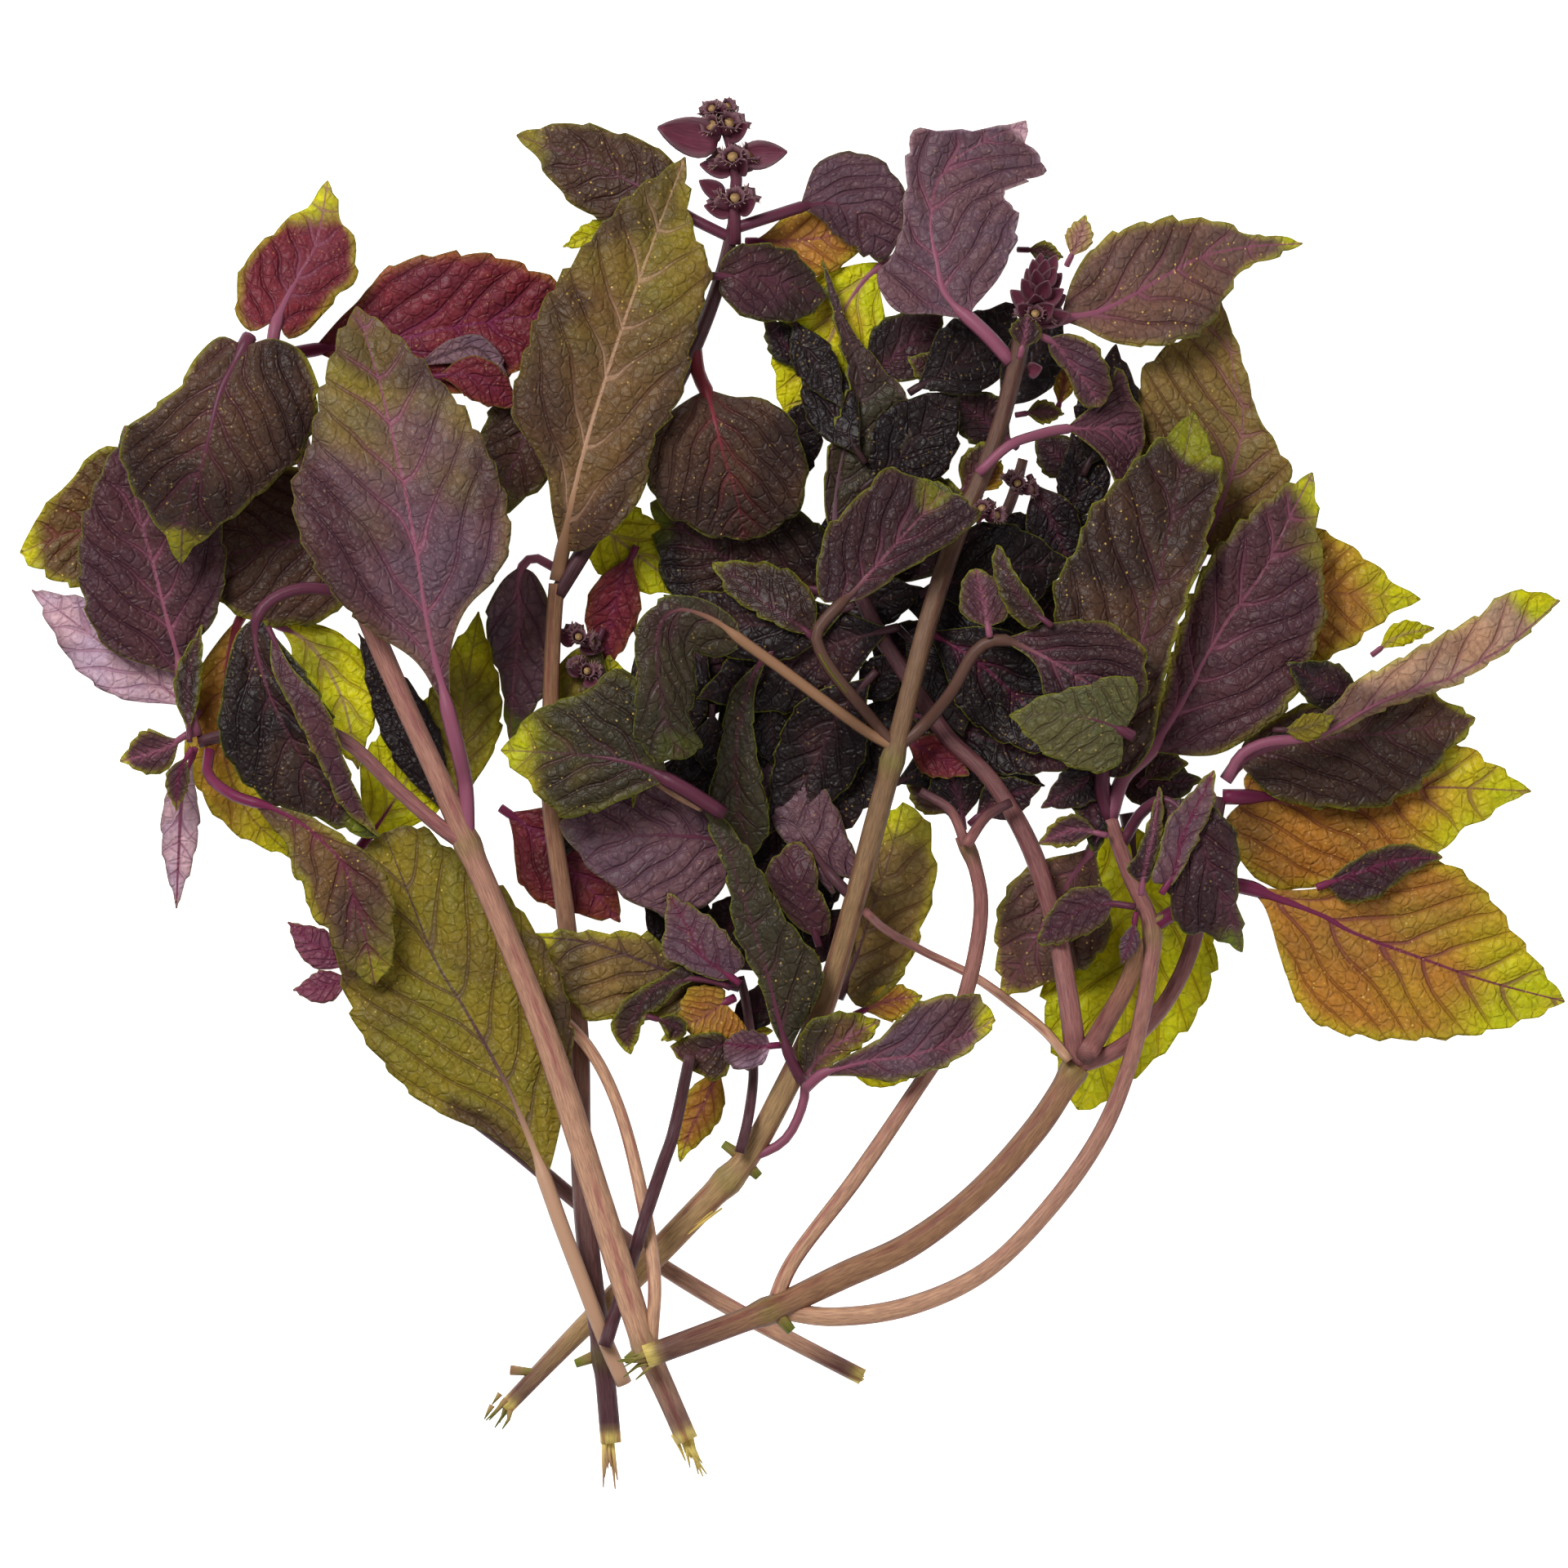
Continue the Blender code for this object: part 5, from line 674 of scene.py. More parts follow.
        (-33, 104.7), (-27.7, 110), (-23.1, 113.1)], [(-37, 44.5), (-31.5, 48), (-26.5, 54.5),
        (-24.6, 63.3), (-19.6, 71.8), (-17.3, 82.5), (-14.3, 94), (-15.4, 98), (-17.7, 103), (-18.6, 110)],
        Look("brown", "umber", "olive", "tan", 0.55, 0.7, 0.6, stalk="fawn"), "back_stem",
        bend=(12, 0, 12, 0), arch=(2, 10, 5)),
]


# Routes and outlines


def smooth_route(points, step):
    """Points every step along the smooth curve through the given ones, as an array of rows."""
    given = np.array(points, float)
    before, after = 2 * given[0] - given[1], 2 * given[-1] - given[-2]
    given = np.vstack([before, given, after])
    fine = []
    for a, b, c, d in zip(given, given[1:], given[2:], given[3:]):
        for t in np.arange(CURVE_PARTS) / CURVE_PARTS:
            square = (2 * a - 5 * b + 4 * c - d) * t**2
            cube = (3 * b - a - 3 * c + d) * t**3
            fine.append(0.5 * (2 * b + (c - a) * t + square + cube))
    fine.append(given[-2])
    return resampled(np.array(fine), step)


def resampled(route, step):
    """The route with points about step apart."""
    run = np.concatenate([[0], np.cumsum(np.linalg.norm(np.diff(route, axis=0), axis=1))])
    stops = np.linspace(0, run[-1], max(3, round(run[-1] / step) + 1))
    return np.column_stack([np.interp(stops, run, column) for column in route.T])


def directions(points):
    """Unit direction of travel at each point of a route."""
    along = np.gradient(points, axis=0)
    return along / np.linalg.norm(along, axis=1, keepdims=True)


def clear_of_stem(route, stem, half_width):
    """The route without its first stretch, which would lie inside the stem that it grows on."""
    axis = smooth_route(stem.route, GRID)
    reach = max(stem.radii) + half_width + JOINT_GAP
    gaps = np.linalg.norm(route[:, None] - axis[None], axis=2).min(axis=1)
    inside = np.flatnonzero(gaps[: len(gaps) // 2] < reach)
    return route[inside[-1] + 1:] if len(inside) else route


def blade_outline(u, widest):
    """Half width of a blade, as a share of its widest, at u from 0 at its foot to 1 at its tip."""
    foot_fullness = TIP_FULLNESS * widest / (1 - widest)
    peak = widest**foot_fullness * (1 - widest) ** TIP_FULLNESS
    return u**foot_fullness * (1 - u) ** TIP_FULLNESS / peak


PROFILE = [(0, 0.03), (0.05, 0.09), (0.11, 0.27), (0.19, 0.58), (0.30, 0.88), (0.42, 1.0), (0.54, 0.97),
           (0.66, 0.83), (0.77, 0.60), (0.87, 0.34), (0.95, 0.13), (1, 0)]
PROFILE_WIDEST = 0.44


def drawn_outline(u, widest, roundness):
    """Half width of a finished blade, as a share of its widest: a drawn-out foot and tip, or a round foot."""
    given = np.array(PROFILE)
    line = np.where(u < widest, u / widest * PROFILE_WIDEST,
                    PROFILE_WIDEST + (u - widest) / (1 - widest) * (1 - PROFILE_WIDEST))
    places = np.interp(line, given[:, 0], np.arange(len(given)))
    for _ in range(2):
        places = np.convolve(np.pad(places, 1, mode="edge"), (0.25, 0.5, 0.25), "valid")
    drawn = np.clip(eased(given[:, 1], places), 0, 1)
    full = blade_outline(u, widest)
    foot = smooth_step(1 - u / widest) * roundness
    return drawn * (1 - foot) + full * foot


def arch_height(arch, share):
    """Height of the curve through the arch's start, middle and end."""
    start, middle, end = arch
    crown = 2 * middle - (start + end) / 2
    return start * (1 - share) ** 2 + 2 * crown * share * (1 - share) + end * share**2


def bent_half(half_width, inner, outer):
    """Offset from the midrib and rise of the middle and the edge of half a blade. It is flat on a stalk."""
    strip, fold = half_width / 2, math.radians(min(1, half_width / FULL_BEND_AT))
    middle = (strip * math.cos(fold * inner), strip * math.sin(fold * inner))
    out, up = strip * math.cos(fold * outer), strip * math.sin(fold * outer)
    return middle, (middle[0] + out, middle[1] + up)


def smooth_step(x):
    x = np.clip(x, 0, 1)
    return x * x * (3 - 2 * x)


def eased(values, places):
    """Rows of the array at fractional row numbers, on a smooth curve through them."""
    last = len(values) - 1
    low = np.clip(np.floor(places).astype(int), 0, last - 1)
    t = (places - low).reshape((-1,) + (1,) * (values.ndim - 1))
    a, b = values[np.maximum(low - 1, 0)], values[low]
    c, d = values[low + 1], values[np.minimum(low + 2, last)]
    square = (2 * a - 5 * b + 4 * c - d) * t**2
    cube = (3 * b - a - 3 * c + d) * t**3
    return 0.5 * (2 * b + (c - a) * t + square + cube)


# Where the solid model lies


def solid_points(name):
    """The points of a solid, in the lists' millimetres."""
    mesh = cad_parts[name].data
    points = np.empty(len(mesh.vertices) * 3, np.float32)
    mesh.vertices.foreach_get("co", points)
    points = points.reshape(-1, 3) / MM + BUNCH_MIDDLE
    return np.unique(np.round(points, 3), axis=0)


def drawn_side(side, foot, tip):
    """The whole margin of a side given by points of it. One given by its half width stays a number."""
    return smooth_route([tuple(foot), *side, tuple(tip)], ROUTE_STEP) if isinstance(side, list) else side


def half_blade(side, centre, across, u, outline, least):
    """Half width at each row on one side of a leaf, and the direction that it lies in."""
    if isinstance(side, (int, float)):
        return np.maximum(side * outline, least), across
    stops = u * (len(side) - 1)
    margin = np.column_stack([np.interp(stops, np.arange(len(side)), line) for line in side.T])
    spare = least * (1 - np.sin(np.pi * u))
    reach = margin - centre + across * spare[:, None]
    reach = np.where(u[:, None] > 0, reach, across * least[:, None])
    width = np.linalg.norm(reach, axis=1)
    return width, reach / width[:, None]


def stalk_of(leaf, whole, route):
    return max(2.0, leaf.stalk - ROUTE_STEP * (len(whole) - len(route)))


def solid_heights(leaf, route, stalk):
    """How high the solid leaf lies at its rows and its five lines along, without its own bend and arch."""
    length = ROUTE_STEP * (len(route) - 1)
    stalk_rows = max(1, round(stalk / STALK_ROW))
    blade_rows = max(4, round((length - stalk) / BLADE_ROW))
    blade_stops = np.linspace(stalk, length, blade_rows + 1)
    stops = np.concatenate([np.linspace(0, stalk, stalk_rows + 1)[:-1], blade_stops])
    places = np.minimum(np.round(stops / ROUTE_STEP).astype(int), len(route) - 1)
    centre, headings = route[places], directions(route)[places]
    to_left = np.column_stack([-headings[:, 1], headings[:, 0]])
    u = np.clip((stops - stalk) / (length - stalk), 0, 1)
    least = STALK_HALF_WIDTH + (TIP_HALF_WIDTH - STALK_HALF_WIDTH) * u
    outline = blade_outline(u, leaf.widest)
    rise = arch_height(leaf.arch, stops / length)
    points = solid_points(leaf.name)
    lying = np.empty((len(stops), 5))

    def lie(row, column, spot, lift):
        nearest = np.argsort(np.linalg.norm(points[:, :2] - spot, axis=1))[:2]
        lying[row, column] = points[nearest, 2].mean() - rise[row] - lift

    ends = centre[stalk_rows], route[-1]
    for row, spot in enumerate(centre):
        lie(row, 2, spot, 0)
    sides = ((1, leaf.left, leaf.bend[:2], (3, 4)), (-1, leaf.right, leaf.bend[2:], (1, 0)))
    for sign, side, bend, columns in sides:
        width, way = half_blade(drawn_side(side, *ends), centre, sign * to_left, u, outline, least)
        for row, size in enumerate(width):
            for column, (out, up) in zip(columns, bent_half(size, *bend)):
                lie(row, column, centre[row] + way[row] * out, up)
    return stops, lying


def settle(need):
    """Lowers a springy strip from above until it hangs between the places that it must clear."""
    height = np.full(len(need), need.max())
    for _ in range(600):
        padded = np.pad(height, 1, mode="edge")
        height = np.maximum(need, (padded[:-2] + 2 * height + padded[2:]) / 4 - 0.04)
    return height


def joined_foot(lying, foot_height, stops):
    """Heights of a piece that falls from its foot, on its stem, until it meets where it would lie."""
    falling = foot_height - 0.35 * stops
    hung = (lying + falling + np.sqrt((lying - falling) ** 2 + 4)) / 2
    left = np.maximum(0, 1 - stops / 8)
    return hung + (foot_height - hung[0]) * left * left * (3 - 2 * left)


def stem_height(axis, place):
    """Height of a stem's axis at its nearest point to a place."""
    return axis[np.linalg.norm(axis[:, :2] - place[:2], axis=1).argmin(), 2]


def resting_heights(leaf, route, stalk):
    """How high a small leaf lies on the pieces before it, at places along it and at five lines."""
    length = ROUTE_STEP * (len(route) - 1)
    stops = np.linspace(0, length, max(5, round(length / 2)))
    centre = np.column_stack([np.interp(stops, ROUTE_STEP * np.arange(len(route)), line) for line in route.T])
    headings = directions(centre)
    u = np.clip((stops - stalk) / (length - stalk), 0, 1)
    to_left = np.column_stack([-headings[:, 1], headings[:, 0]])
    outline = blade_outline(u, leaf.widest)
    least = np.full(len(u), 0.6)
    ends = route[round(stalk / ROUTE_STEP)], route[-1]
    shares = np.array([0.05, 0.35, 0.65, 0.9])
    spots = []
    for sign, side in ((1, leaf.left), (-1, leaf.right)):
        width, way = half_blade(drawn_side(side, *ends), centre, sign * to_left, u, outline, least)
        spots.append(centre[:, None] + (way * width[:, None])[:, None] * shares[None, :, None])
    spots = np.concatenate(spots, axis=1)
    need = layers.resting(spots[..., 0], spots[..., 1]).max(axis=1) - arch_height(leaf.arch, stops / length)
    lying = settle(np.maximum(need, 0.3))
    if leaf.grows_on in axes:
        foot = stem_height(axes[leaf.grows_on], route[0]) - leaf.arch[0]
        lying = joined_foot(lying, foot, stops)
    return stops, np.repeat(lying[:, None], 5, axis=1)


class Layers:
    """Where each laid piece is on a square grid over the table, and how high its top is there."""

    def __init__(self):
        self.cells = int(2 * GRID_HALF / GRID) + 2
        self.tops = {}
        self.pile = np.zeros((self.cells, self.cells))

    def resting(self, x, y):
        """The least height there for the middle of another thin piece."""
        i = np.clip(np.round((x + GRID_HALF) / GRID).astype(int), 0, self.cells - 1)
        j = np.clip(np.round((y + GRID_HALF) / GRID).astype(int), 0, self.cells - 1)
        top = self.pile[i, j]
        return np.where(top > 0, top + SMALL_AIR, 0.3)

    def cover(self, name, x, y, z):
        top = np.full((self.cells, self.cells), -1.0)
        i = np.floor((x + GRID_HALF) / GRID).astype(int)
        j = np.floor((y + GRID_HALF) / GRID).astype(int)
        for corner in [(i, j), (i + 1, j), (i, j + 1), (i + 1, j + 1)]:
            np.maximum.at(top, corner, z)
        self.tops[name] = top
        self.pile = np.maximum(self.pile, top)

    def at(self, grid, x, y):
        i = np.clip((x + GRID_HALF) / GRID, 0, self.cells - 2)
        j = np.clip((y + GRID_HALF) / GRID, 0, self.cells - 2)
        a, b = np.floor(i).astype(int), np.floor(j).astype(int)
        s, t = i - a, j - b
        low = grid[a, b] * (1 - t) + grid[a, b + 1] * t
        high = grid[a + 1, b] * (1 - t) + grid[a + 1, b + 1] * t
        return low * (1 - s) + high * s

    def light(self, name):
        """How much of the table's light reaches the underside of a piece, from 0 to 1, over the grid."""
        own = self.tops[name]
        beneath = np.zeros_like(own)
        for other, top in self.tops.items():
            if other != name:
                beneath += (top >= 0) & (top < np.where(own >= 0, own, 99) - 0.2)
        passed = 0.38 ** np.minimum(beneath, 4)
        for _ in range(SHADOW_BLUR):
            for axis in (0, 1):
                passed = (np.roll(passed, 1, axis) + 2 * passed + np.roll(passed, -1, axis)) / 4
        return passed


layers = Layers()
axes = {}


# Making meshes


def only(piece):
    bpy.ops.object.select_all(action="DESELECT")
    piece.select_set(True)
    bpy.context.view_layer.objects.active = piece


def in_model(points):
    """Places in the lists' millimetres as points of the model in metres."""
    return (np.asarray(points) - BUNCH_MIDDLE) * MM


def sheet(name, points):
    """A grid laid through rows of points. In a tube the last column lies on the first."""
    rows, columns = points.shape[0] - 1, points.shape[1] - 1
    bpy.ops.object.select_all(action="DESELECT")
    bpy.ops.mesh.primitive_grid_add(x_subdivisions=rows, y_subdivisions=columns, size=1, calc_uvs=True)
    piece = bpy.context.active_object
    piece.name = piece.data.name = name
    flat = np.empty(len(piece.data.vertices) * 3, np.float32)
    piece.data.vertices.foreach_get("co", flat)
    flat = flat.reshape(-1, 3)
    row = np.round((flat[:, 0] + 0.5) * rows).astype(int)
    column = np.round((flat[:, 1] + 0.5) * columns).astype(int)
    piece.data.vertices.foreach_set("co", in_model(points[row, column]).astype(np.float32).ravel())
    piece.data.update()
    return piece, row, column


def paint(piece, name, values, kind="FLOAT_COLOR"):
    """Gives each point of a piece a colour, or three numbers."""
    attribute = piece.data.attributes.new(name, kind, "POINT")
    if kind == "FLOAT_COLOR":
        values = np.column_stack([values, np.ones(len(values))])
        attribute.data.foreach_set("color", values.astype(np.float32).ravel())
    else:
        attribute.data.foreach_set("vector", values.astype(np.float32).ravel())


def read_paint(piece, name):
    attribute = piece.data.attributes[name]
    values = np.empty(len(attribute.data) * 3, np.float32)
    attribute.data.foreach_get("vector", values)
    return values.reshape(-1, 3)


def lay_uv(piece, u, v):
    """Gives the piece's own UV map the two numbers of each of its points, in units of 10 mm."""
    corners = np.empty(len(piece.data.loops), np.int32)
    piece.data.loops.foreach_get("vertex_index", corners)
    both = np.column_stack([u, v])[corners] / 10
    piece.data.uv_layers[0].data.foreach_set("uv", both.astype(np.float32).ravel())


def thicken(piece, thickness):
    only(piece)
    modifier = piece.modifiers.new("Blade thickness", "SOLIDIFY")
    modifier.thickness = thickness * MM
    modifier.offset = 0
    bpy.ops.object.modifier_apply(modifier=modifier.name)


def joined(pieces):
    """One object of several."""
    bpy.ops.object.select_all(action="DESELECT")
    for piece in pieces:
        piece.select_set(True)
    bpy.context.view_layer.objects.active = pieces[0]
    if len(pieces) > 1:
        bpy.ops.object.join()
    return pieces[0]


def finished(piece, material, slot, *nodes):
    only(piece)
    bpy.ops.object.shade_smooth()
    piece.data.materials.clear()
    piece.data.materials.append(material)
    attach(piece, "root")
    if nodes:
        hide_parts(*nodes)
    return piece


# Leaves


@dataclass
class Blade:
    """The fine form of a leaf: rows of points across it and what is known at each."""

    points: np.ndarray
    along: np.ndarray  # u of each row, under 0 on the stalk
    across: np.ndarray  # share of the half width at each column, under 0 on the right
    offset: np.ndarray  # mm from the midrib
    margin: np.ndarray  # mm from the edge
    vein: np.ndarray  # whole numbers on the side veins
    pitch: float
    half: float  # its widest half
    run: np.ndarray


def cross_section(bend, shares):
    """Offset and rise of half a blade of half width 1 at shares of its width."""
    steps = np.linspace(0, 1, 101)
    turn = smooth_step((steps - 0.25) / 0.5)
    angle = np.radians(bend[0] + (bend[1] - bend[0]) * turn)
    out = np.concatenate([[0], np.cumsum((np.cos(angle[1:]) + np.cos(angle[:-1])) / 2)]) / 100
    up = np.concatenate([[0], np.cumsum((np.sin(angle[1:]) + np.sin(angle[:-1])) / 2)]) / 100
    return np.interp(shares, steps, out), np.interp(shares, steps, up)


def fine_blade(leaf, seed):
    noise = np.random.default_rng(seed)
    stems = {piece.name: piece for piece in PIECES if isinstance(piece, Stem)}
    whole = smooth_route(leaf.midrib, ROUTE_STEP)
    route = clear_of_stem(whole, stems[leaf.grows_on], STALK_HALF_WIDTH) if leaf.grows_on else whole
    cut = ROUTE_STEP * (len(whole) - len(route))
    stalk = stalk_of(leaf, whole, route)
    length = ROUTE_STEP * (len(route) - 1)
    heights_of = solid_heights if leaf.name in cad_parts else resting_heights
    coarse_stops, lying = heights_of(leaf, route, stalk)
    blade_length = length - stalk
    stalk_count = max(3, round((stalk + cut) / STALK_FINE_ROW))
    blade_count = max(16, round(blade_length / FINE_ROW))
    stops = np.concatenate([np.linspace(-cut, stalk, stalk_count + 1)[:-1],
                            np.linspace(stalk, length, blade_count + 1)])
    run = ROUTE_STEP * np.arange(len(whole)) - cut
    centre = np.column_stack([np.interp(stops, run, line) for line in whole.T])
    headings = directions(centre)
    to_left = np.column_stack([-headings[:, 1], headings[:, 0]])
    u = (stops - stalk) / blade_length
    inside = np.clip(u, 0, 1)
    least = 0.35 - 0.2 * inside
    outline = drawn_outline(inside, leaf.widest, leaf.roundness)
    solid_least = STALK_HALF_WIDTH + (TIP_HALF_WIDTH - STALK_HALF_WIDTH) * inside
    solid_outline = blade_outline(inside, leaf.widest)
    ends = centre[stalk_count], whole[-1]
    halves = []
    for sign, side in ((1, leaf.left), (-1, leaf.right)):
        margin = drawn_side(side, *ends)
        width, way = half_blade(margin, centre, sign * to_left, inside, outline, least)
        solid_width = half_blade(margin, centre, sign * to_left, inside, solid_outline, solid_least)[0]
        halves.append((width, way, solid_width))
    half = max(halves[0][0].max(), halves[1][0].max())
    half_count = max(5, round(half / FINE_COLUMN))
    across = np.linspace(-1, 1, 2 * half_count + 1)
    left_side = across[None, :] >= 0
    wide = np.where(left_side, halves[0][0][:, None], halves[1][0][:, None])
    solid_wide = np.where(left_side, halves[0][2][:, None], halves[1][2][:, None])
    ways = np.where(left_side[..., None], halves[0][1][:, None], halves[1][1][:, None])
    share = np.abs(across)[None, :]

    # Teeth that lean towards the tip
    teeth = max(4, round(blade_length * 0.72 / 5.0))
    deep = min(0.95, 0.05 * half + 0.28)
    phase = np.where(across[None, :] < 0, noise.random(), noise.random())
    tooth = (inside[:, None] - 0.25) / 0.72 * teeth + phase
    beat = tooth - np.floor(tooth)
    saw = np.where(beat < 0.8, (beat / 0.8) ** 0.8, (1 - beat) / 0.2)
    jag = 1 + 0.45 * np.sin(np.floor(tooth) * 2.4 + 7 * phase)
    window = smooth_step((inside - 0.18) / 0.15) * smooth_step((1 - inside) / 0.06)
    bite = deep * jag * window[:, None] * (saw - 0.55)
    reach = share**6

    offsets = np.empty((len(stops), len(across)))
    rises = np.empty_like(offsets)
    roll = leaf.roll or leaf.bend
    for side, bend in ((1, roll[:2]), (-1, roll[2:])):
        columns = np.flatnonzero(np.sign(across) * side >= 0)
        for row in range(len(stops)):
            fold = min(1.0, wide[row, columns[-1]] / FULL_BEND_AT)
            out, up = cross_section((bend[0] * fold, bend[1] * fold), np.abs(across[columns]))
            offsets[row, columns] = out * wide[row, columns]
            rises[row, columns] = up * wide[row, columns]
    offsets += bite * reach
    forward = 0.45 * deep * window[:, None] * saw * reach

    # Heights
    rows = np.interp(stops, coarse_stops, np.arange(len(coarse_stops)))
    lines = eased(lying, rows)
    columns = np.clip(2 + 2 * across[None, :] * wide / solid_wide, 0, 4)
    heights = np.stack([eased(line, places) for line, places in zip(lines, columns)])
    arch = arch_height(leaf.arch, np.clip(stops / length, 0, 1))
    heights = heights + arch[:, None] + rises

    # Side veins and the swellings between them
    pitch = blade_length / max(5, round(4 + blade_length / 22))
    distance = share * wide
    climb = (1.75 - 0.95 * inside)[:, None] * distance + 0.026 * distance**2
    sway = 0.16 * np.sin(inside * 9 + 6 * noise.random())[:, None] + 0.1 * np.sin(inside * 23)[:, None]
    vein = ((inside * blade_length)[:, None] - climb) / pitch + 0.2 + sway
    vein = vein + np.where(across[None, :] < 0, 0.14, -0.14) * np.minimum(1, distance / 2)
    swell = np.sin(np.pi * vein) ** 2 - 0.5
    quilt = smooth_step(distance / 3) * smooth_step((wide - distance) / 3)
    quilt = quilt * smooth_step(inside / 0.1)[:, None]
    heights += 1.0 * min(1.0, half / 12) * swell * quilt

    # Waves along the margin
    waves = 0
    for count, size in ((2.3, 0.5), (4.1, 0.35), (7.7, 0.2)):
        turn = noise.random(2) * 2 * np.pi
        place = 2 * np.pi * count * inside[:, None]
        waves = waves + size * np.where(across[None, :] < 0, np.sin(place + turn[0]), np.sin(place + turn[1]))
    heights += 0.055 * waves * distance * share**2 * window[:, None]

    points = np.empty((*offsets.shape, 3))
    points[..., :2] = centre[:, None] + ways * offsets[..., None] + headings[:, None] * forward[..., None]
    points[..., 2] = heights
    lowest = BLADE_THICKNESS / 2 + 0.05
    points[..., 2] = np.maximum(points[..., 2], lowest)
    margin = (1 - share) * wide
    return Blade(points, u, across, distance, margin, vein, pitch, half, stops)


def rib_tube(leaf, blade):
    """The leaf's stalk, which runs on under and over the blade as its midrib."""
    middle = blade.points[:, len(blade.across) // 2]
    inside = np.clip(blade.along, 0, 1)
    on_blade = smooth_step(blade.along / 0.08)
    girth = 0.45 + 0.75 * min(1.0, blade.half / 17)
    if leaf.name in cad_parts:
        girth *= 1.2
    radius = girth * (0.1 + 0.9 * (1 - inside) ** 1.6) * (1 - 0.35 * on_blade)
    headings = directions(middle)
    side = np.column_stack([-headings[:, 1], headings[:, 0], np.zeros(len(middle))])
    side /= np.linalg.norm(side, axis=1, keepdims=True)
    up = np.cross(headings, side)
    angles = np.linspace(0, 2 * np.pi, RIB_SIDES + 1)
    rings = []
    for angle in angles:
        rise = np.sin(angle) * radius
        flat = np.where(rise > 0, 1 - 0.55 * on_blade, 1.0)
        rings.append(middle + side * (np.cos(angle) * radius)[:, None] + up * (rise * flat)[:, None])
    points = np.stack(rings, axis=1)
    points[..., 2] = np.maximum(points[..., 2], 0.05)
    piece, row, column = sheet(leaf.name + "_rib", points)
    count = len(row)
    blank = np.zeros(count)
    paint(piece, "vein_place", np.column_stack([blank + 0.5, blank, blank + 9]), "FLOAT_VECTOR")
    paint(piece, "vein_size", np.column_stack([blank + 9, blank + 1, blank]), "FLOAT_VECTOR")
    look = leaf.look
    flank = np.sin(angles)[column]
    on_leaf = smooth_step(blade.along[row] / 0.4)[:, None]
    colour = TONES[look.stalk or look.vein] * (1 - on_leaf) + TONES[look.vein] * on_leaf
    # Painted shade: the rib is darker towards its lower side
    colour = colour * (0.5 + 0.5 * smooth_step((flank + 0.1) / 0.7))[:, None]
    paint(piece, "tone", colour)
    paint(piece, "vein_tone", colour)
    paint(piece, "rim_tone", colour)
    lay_uv(piece, blade.run[row], column * 0.8)
    return closed_up(piece)


def build_leaf(leaf, blade, seed):
    piece, row, column = sheet(leaf.name, blade.points)
    light = layers.at(layers.light(leaf.name), blade.points[..., 0], blade.points[..., 1])[row, column]
    u = np.clip(blade.along, 0, 1)[row]
    margin = blade.margin[row, column]
    offset = blade.offset[row, column]
    vein = blade.vein[row, column]
    look = leaf.look
    reach = look.greening
    x, y = blade.points[row, column, 0], blade.points[row, column, 1]
    patches = np.sin(x / 3.1 + seed) + np.sin(y / 2.3 + x / 5 + seed * 2) + np.sin((x - y) / 6.7)
    tip = smooth_step((u - (1 - reach) + 0.05 * patches) / max(reach, 0.01))
    border = 0.45 * smooth_step(1 - margin / (0.6 + 5 * reach)) * smooth_step(u / 0.3)
    green = np.clip(np.maximum(tip, border), 0, 1)[:, None]
    # Painted light: the tone takes the glow colour where the table's light would come through from below, and
    # the darker shade colour where other pieces lie beneath; the vein colour is painted brighter with the
    # glow too
    glow = smooth_step((light - 0.2) / 0.7)[:, None]
    spots = 0.45 * smooth_step((patches - 0.2) / 1.8)[:, None]
    lit = TONES[look.glow] * (1 - spots) + TONES[look.shade] * spots
    lit = lit * (1 - green) + TONES[look.edge] * green
    deep = green * 0.4
    shaded = TONES[look.shade] * (1 - deep) + TONES[look.edge] * 0.6 * deep
    colour = shaded * (1 - glow) + lit * glow
    vein_colour = TONES[look.vein] * (0.75 + 0.25 * glow)
    rib_width = 0.3 * (1 - u) + 0.12
    pink = smooth_step(1 - offset / (0.45 * blade.half))[:, None]
    vein_colour = vein_colour * look.veins + colour * (1 - look.veins)
    vein_colour = vein_colour * pink + (colour * (0.60, 0.44, 0.55)) * (1 - pink)
    paint(piece, "tone", colour)
    paint(piece, "vein_tone", vein_colour)
    rim = 0.55 * TONES["green"] + 0.15 * TONES["lime"]
    paint(piece, "rim_tone", colour * (1 - look.rim) + rim * look.rim)
    paint(piece, "vein_place", np.column_stack([vein, offset, margin]), "FLOAT_VECTOR")
    sizes = np.column_stack([np.full(len(u), blade.pitch * 0.64), rib_width, np.zeros(len(u))])
    paint(piece, "vein_size", sizes, "FLOAT_VECTOR")
    lay_uv(piece, blade.run[row], np.sign(blade.across[column]) * offset)
    thicken(piece, BLADE_THICKNESS)
    underside(piece, look)
    rib = rib_tube(leaf, blade)
    whole = joined([piece, rib])
    nodes = [leaf.name] if leaf.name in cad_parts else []
    return finished(whole, MATERIALS[leaf.slot], leaf.slot, *nodes)


def underside(piece, look):
    """Tells the lower side of a thickened blade from the upper, and makes it paler."""
    count = len(piece.data.vertices)
    half = count // 2
    normals = np.empty(count * 3, np.float32)
    piece.data.vertices.foreach_get("normal", normals)
    normals = normals.reshape(-1, 3)
    first_up = normals[:half, 2].mean() > 0
    lower = np.zeros(count, bool)
    lower[half:] = first_up
    lower[:half] = not first_up
    size = read_paint(piece, "vein_size")
    size[:, 2] = lower
    piece.data.attributes["vein_size"].data.foreach_set("vector", size.ravel())
    attribute = piece.data.attributes["tone"]
    colour = np.empty(count * 4, np.float32)
    attribute.data.foreach_get("color", colour)
    colour = colour.reshape(-1, 4)
    colour[lower, :3] = 0.55 * colour[lower, :3] + 0.45 * TONES[look.under]
    attribute.data.foreach_set("color", colour.ravel())


# Stems


